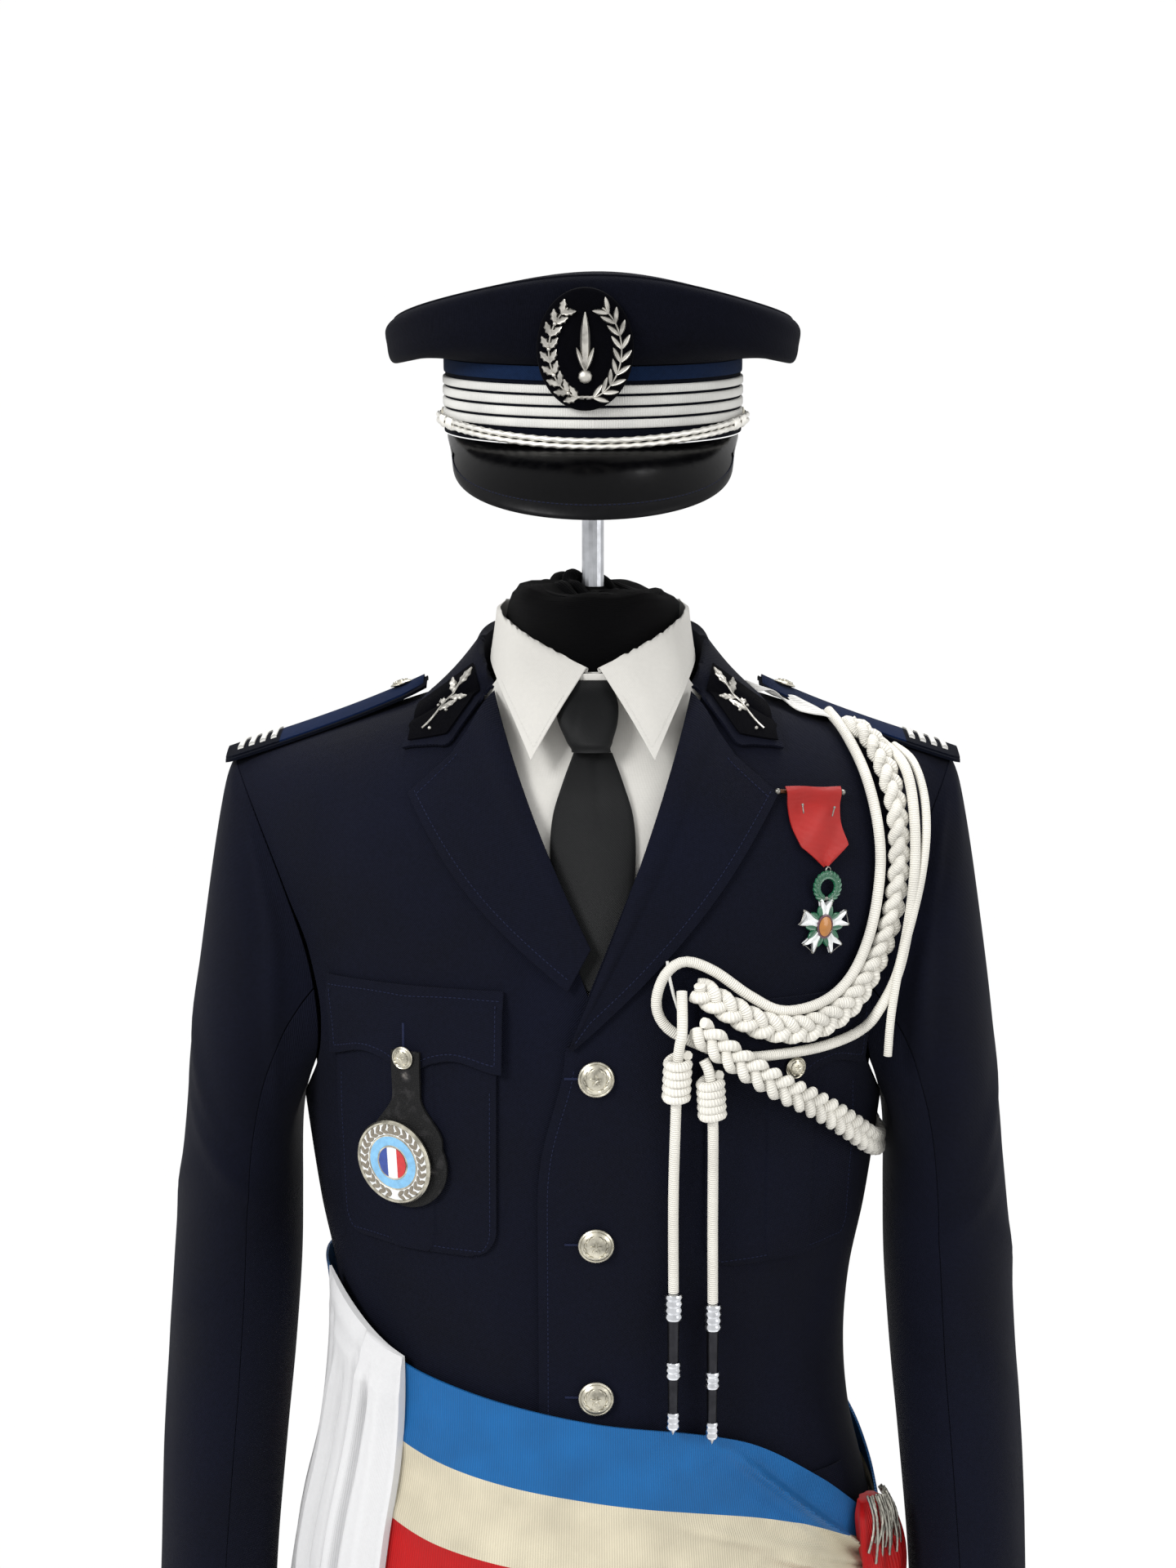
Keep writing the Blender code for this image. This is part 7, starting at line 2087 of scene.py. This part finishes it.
def make_chin_cord():
    """Two twisted silver ropes side by side, with barrel knots near their ends."""
    shape = Shape()
    reach = CHIN_CORD_LIFT

    def place(turn, up, out=0.0):
        x = (CAP_BAND_RADIUS + reach + out) * math.sin(turn)
        y = -(CAP_BAND_DEPTH + reach + out) * math.cos(turn)
        return cap_frame(Vector((x, y, 0.0012 + up + 0.0085 * math.sin(turn) ** 2)))

    for up in (-0.0018, 0.0018):
        line = [place(turn, up) for turn in spread(-math.radians(81), math.radians(81), 260)]
        add_rope(shape, line, 0.0020, 0.0080, lambda p: Vector((p.x, p.y, 0)).normalized(), 2, sides=10)
    for side in (-1, 1):
        for turn in (63, 70):
            low, high = math.radians(turn - 2.2) * side, math.radians(turn + 2.2) * side
            line = []
            for i in range(61):
                spin = 2 * math.pi * i / 15
                base = place(mix(low, high, i / 60), 0.0)
                out = Vector((base.x, base.y, 0)).normalized()
                line.append(base + Vector((0, 0, 0.0032 * math.cos(spin))) + out * 0.0016 * math.sin(spin))
            add_tube(shape, line, 0.0010, lambda p: Vector((p.x, p.y, 0)).normalized(), 6)
    finish_piece(shape.make("chin_cord_silver", bright_bullion, 60), nodes=["cap_chin_cord"])
    for side, name in ((1, "left"), (-1, "right")):
        turn = math.radians(85) * side
        x, y = (CAP_BAND_RADIUS + 0.0005) * math.sin(turn), -(CAP_BAND_DEPTH + 0.0005) * math.cos(turn)
        place, normal = cap_frame(Vector((x, y, 0.0085))), Vector((x, y * 0.8, 0))
        make_button(f"cap_button_{name}", place, normal, SMALL_BUTTON_RADIUS * 0.9)


def badge_face(x, z, out):
    y = -CAP_BADGE_FRONT - out + 1.0 * x * x - CAP_BADGE_LEAN * z
    return cap_frame(Vector((x - 0.0045, y, 0.0565 + z)))


def make_cap_badge():
    """The oval velvet plate with its silver wreath of oak and laurel and a plain tall leaf."""
    rings = []
    for scale, out in (
        (0.98, 0.0), (1.0, 0.0012), (0.985, 0.0028), (0.93, 0.0038), (0.7, 0.0044), (0.4, 0.0047),
        (0.1, 0.0048),
    ):
        half_x, half_z = BADGE_HALF_WIDTH * scale, BADGE_HALF_HEIGHT * scale
        rings.append([badge_face(half_x * math.sin(a), half_z * math.cos(a), out) for a in turns(64)])
    shape = Shape()
    shape.grid(rings, u_scale=0.2)
    finish_piece(shape.make("cap_badge_velvet", velvet, 60), nodes=["cap_badge"])
    wreath = Shape()
    normal = (badge_face(0, 0, 1.0) - badge_face(0, 0, 0.0)).normalized()

    def spot(turn, reach, out=0.0048):
        return badge_face(0.0213 * reach * math.sin(turn), 0.0280 * reach * math.cos(turn) - 0.0005, out)

    for side in (-1, 1):
        stem = [spot(math.radians(178 - a) * side, 1.0, 0.0050) for a in spread(0, 150, 30)]
        add_tube(wreath, stem, 0.0006, lambda p: normal, 6)
        for k in range(9):
            turn = math.radians(168 - 16 * k) * side
            base = spot(turn, 1.0)
            ahead = (spot(turn - math.radians(8) * side, 1.0) - base).normalized()
            for tilt in (-34, 34):
                lead = Matrix.Rotation(math.radians(tilt), 3, normal) @ ahead
                if side < 0:
                    add_leaf(wreath, base, lead, normal, 0.0086, 0.0021, 0.0014, lobes=3)
                else:
                    add_leaf(wreath, base, lead, normal, 0.0098, 0.0016, 0.0014)
            if side < 0 and k % 2:
                add_bead(wreath, spot(turn, 1.0, 0.0062), 0.0012)
    foot = badge_face(0.0, -0.0125, 0.0052)
    up = (badge_face(0, 0.01, 0.005) - badge_face(0, 0, 0.005)).normalized()
    for tilt, length, half in ((0, 0.0350, 0.0030), (20, 0.0150, 0.0016), (-20, 0.0150, 0.0016)):
        lead = Matrix.Rotation(math.radians(tilt), 3, normal) @ up
        add_leaf(wreath, foot, lead, normal, length, half, 0.0020)
    add_bead(wreath, foot - up * 0.0030, 0.0042, normal=normal, flat=0.6)
    tie = [badge_face(x, -0.0275, 0.0056) for x in spread(-0.0045, 0.0045, 12)]
    add_rope(wreath, tie, 0.0011, 0.003, lambda p: normal, 2, sides=8)
    finish_piece(wreath.make("badge_wreath", bullion, 60))


def finish_stitches():
    finish_piece(STITCHES.make("topstitching", thread_dark, 80))
    finish_piece(WHITE_STITCHES.make("shirt_stitching", thread_white, 80))


def front_edge_stitches():
    """The line of stitches along the left front's edge."""
    line = []
    for z in spread(0.86, 1.238, 90):
        edge = front_edge(z, True)
        line.append(skin(edge + 0.0060, z, -1, 0.0001))
    stitch_along(STITCHES, line, out_front)


def make_loop():
    """The satin loop under the epaulette and the thread loop at the lapel, which hold the shoulder cord."""
    shape = Shape()
    rows = []
    for s in spread(0, 1, 70):
        x, y = mix(0.0985, 0.1570, s), -0.0150 - 0.0125 * s - 0.0018 * math.sin(13 * s)
        half = mix(0.0022, 0.0075, smooth_step(s, 0.25, 0.60))
        top, under = [], []
        for t in spread(-1, 1, 16):
            lift = 0.0052 + 0.0016 * math.sin(11 * s + 1.6 * t) + 0.0007 * math.sin(4 * t + 19 * s)
            top.append(shoulder_place(x, y + half * t, lift))
            under.append(shoulder_place(x, y + half * t, lift - 0.0008))
        rows.append(top + under[::-1])
    shape.grid(rows, u_scale=0.03)
    finish_piece(shape.make("cord_loop_ribbon", loop_satin, 60))
    thread = Shape()
    places = (
        (0.0440, 1.3050, 0.0068), (0.0445, 1.2980, 0.0085), (0.0470, 1.2860, 0.0095),
        (0.0505, 1.2745, 0.0100),
    )
    route = smooth_route([on_torso(x, z, -1, lift) for x, z, lift in places], 0.002)
    add_tube(thread, route, 0.0010, lean, 8)
    finish_piece(thread.make("thread_loop", thread_white))


# The light, the floor and the finishes of the hard parts
def dress_frame():
    for name, material in (("stand_pole", aluminium), ("cap_pole", aluminium), ("stand_base", base_paint)):
        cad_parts[name].data.materials.clear()
        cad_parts[name].data.materials.append(material)


Lamp = namedtuple("Lamp", "name place size power")
LAMPS = (
    Lamp("Key", (-1.9, -2.0, 2.9), 1.0, 58),
    Lamp("Fill", (2.3, -1.6, 1.9), 1.6, 14),
    Lamp("Top", (0.2, 0.7, 3.2), 1.4, 30),
)
AIM, SKY_STRENGTH, EXPOSURE, FLOOR_REACH = Vector((0, 0, 1.25)), 0.72, 0.48, 1.15


def make_light():
    world = bpy.data.worlds.new("Studio")
    bpy.context.scene.world = world
    world.use_nodes = True
    world.node_tree.nodes["Background"].inputs["Color"].default_value = (1, 1, 1, 1)
    world.node_tree.nodes["Background"].inputs["Strength"].default_value = SKY_STRENGTH
    for lamp in LAMPS:
        data = bpy.data.lights.new(lamp.name, "AREA")
        data.size = lamp.size
        data.energy = lamp.power
        made = bpy.data.objects.new(lamp.name, data)
        made.location = lamp.place
        made.rotation_euler = (AIM - Vector(lamp.place)).to_track_quat("-Z", "Y").to_euler()
        bpy.context.scene.collection.objects.link(made)
    view = bpy.context.scene.view_settings
    view.view_transform = "Standard"
    view.look = "None"
    view.exposure = EXPOSURE
    mesh = bpy.data.meshes.new("Floor")
    corners = [(x * FLOOR_REACH, y * FLOOR_REACH, 0) for x, y in ((-1, -1), (1, -1), (1, 1), (-1, 1))]
    mesh.from_pydata(corners, [], [(0, 1, 2, 3)])
    mesh.uv_layers.new(name="cloth")
    paper = fabric("floor_paper", shade(236, 236, 236), 0.002, 0, 0.00002, 0.9, 0.0, 0.02)
    new_object("Floor", mesh, paper)


def main():
    make_camera()
    make_cords()
    make_form()
    make_back()
    make_collar()
    make_collar_patches()
    make_shirt_front()
    make_shirt_collar()
    make_neckband()
    make_tie()
    for left in (True, False):
        make_front(left)
        make_sleeve(left)
        make_lapel(left)
        make_pocket(left)
        make_pocket_flap(left)
        make_lower_flap(left)
        make_epaulette(left)
    front_edge_stitches()
    make_buttons()
    make_sash()
    make_sash_end()
    make_gloves()
    make_medal()
    make_fob()
    make_loop()
    make_cap()
    finish_stitches()
    dress_frame()
    make_light()


main()
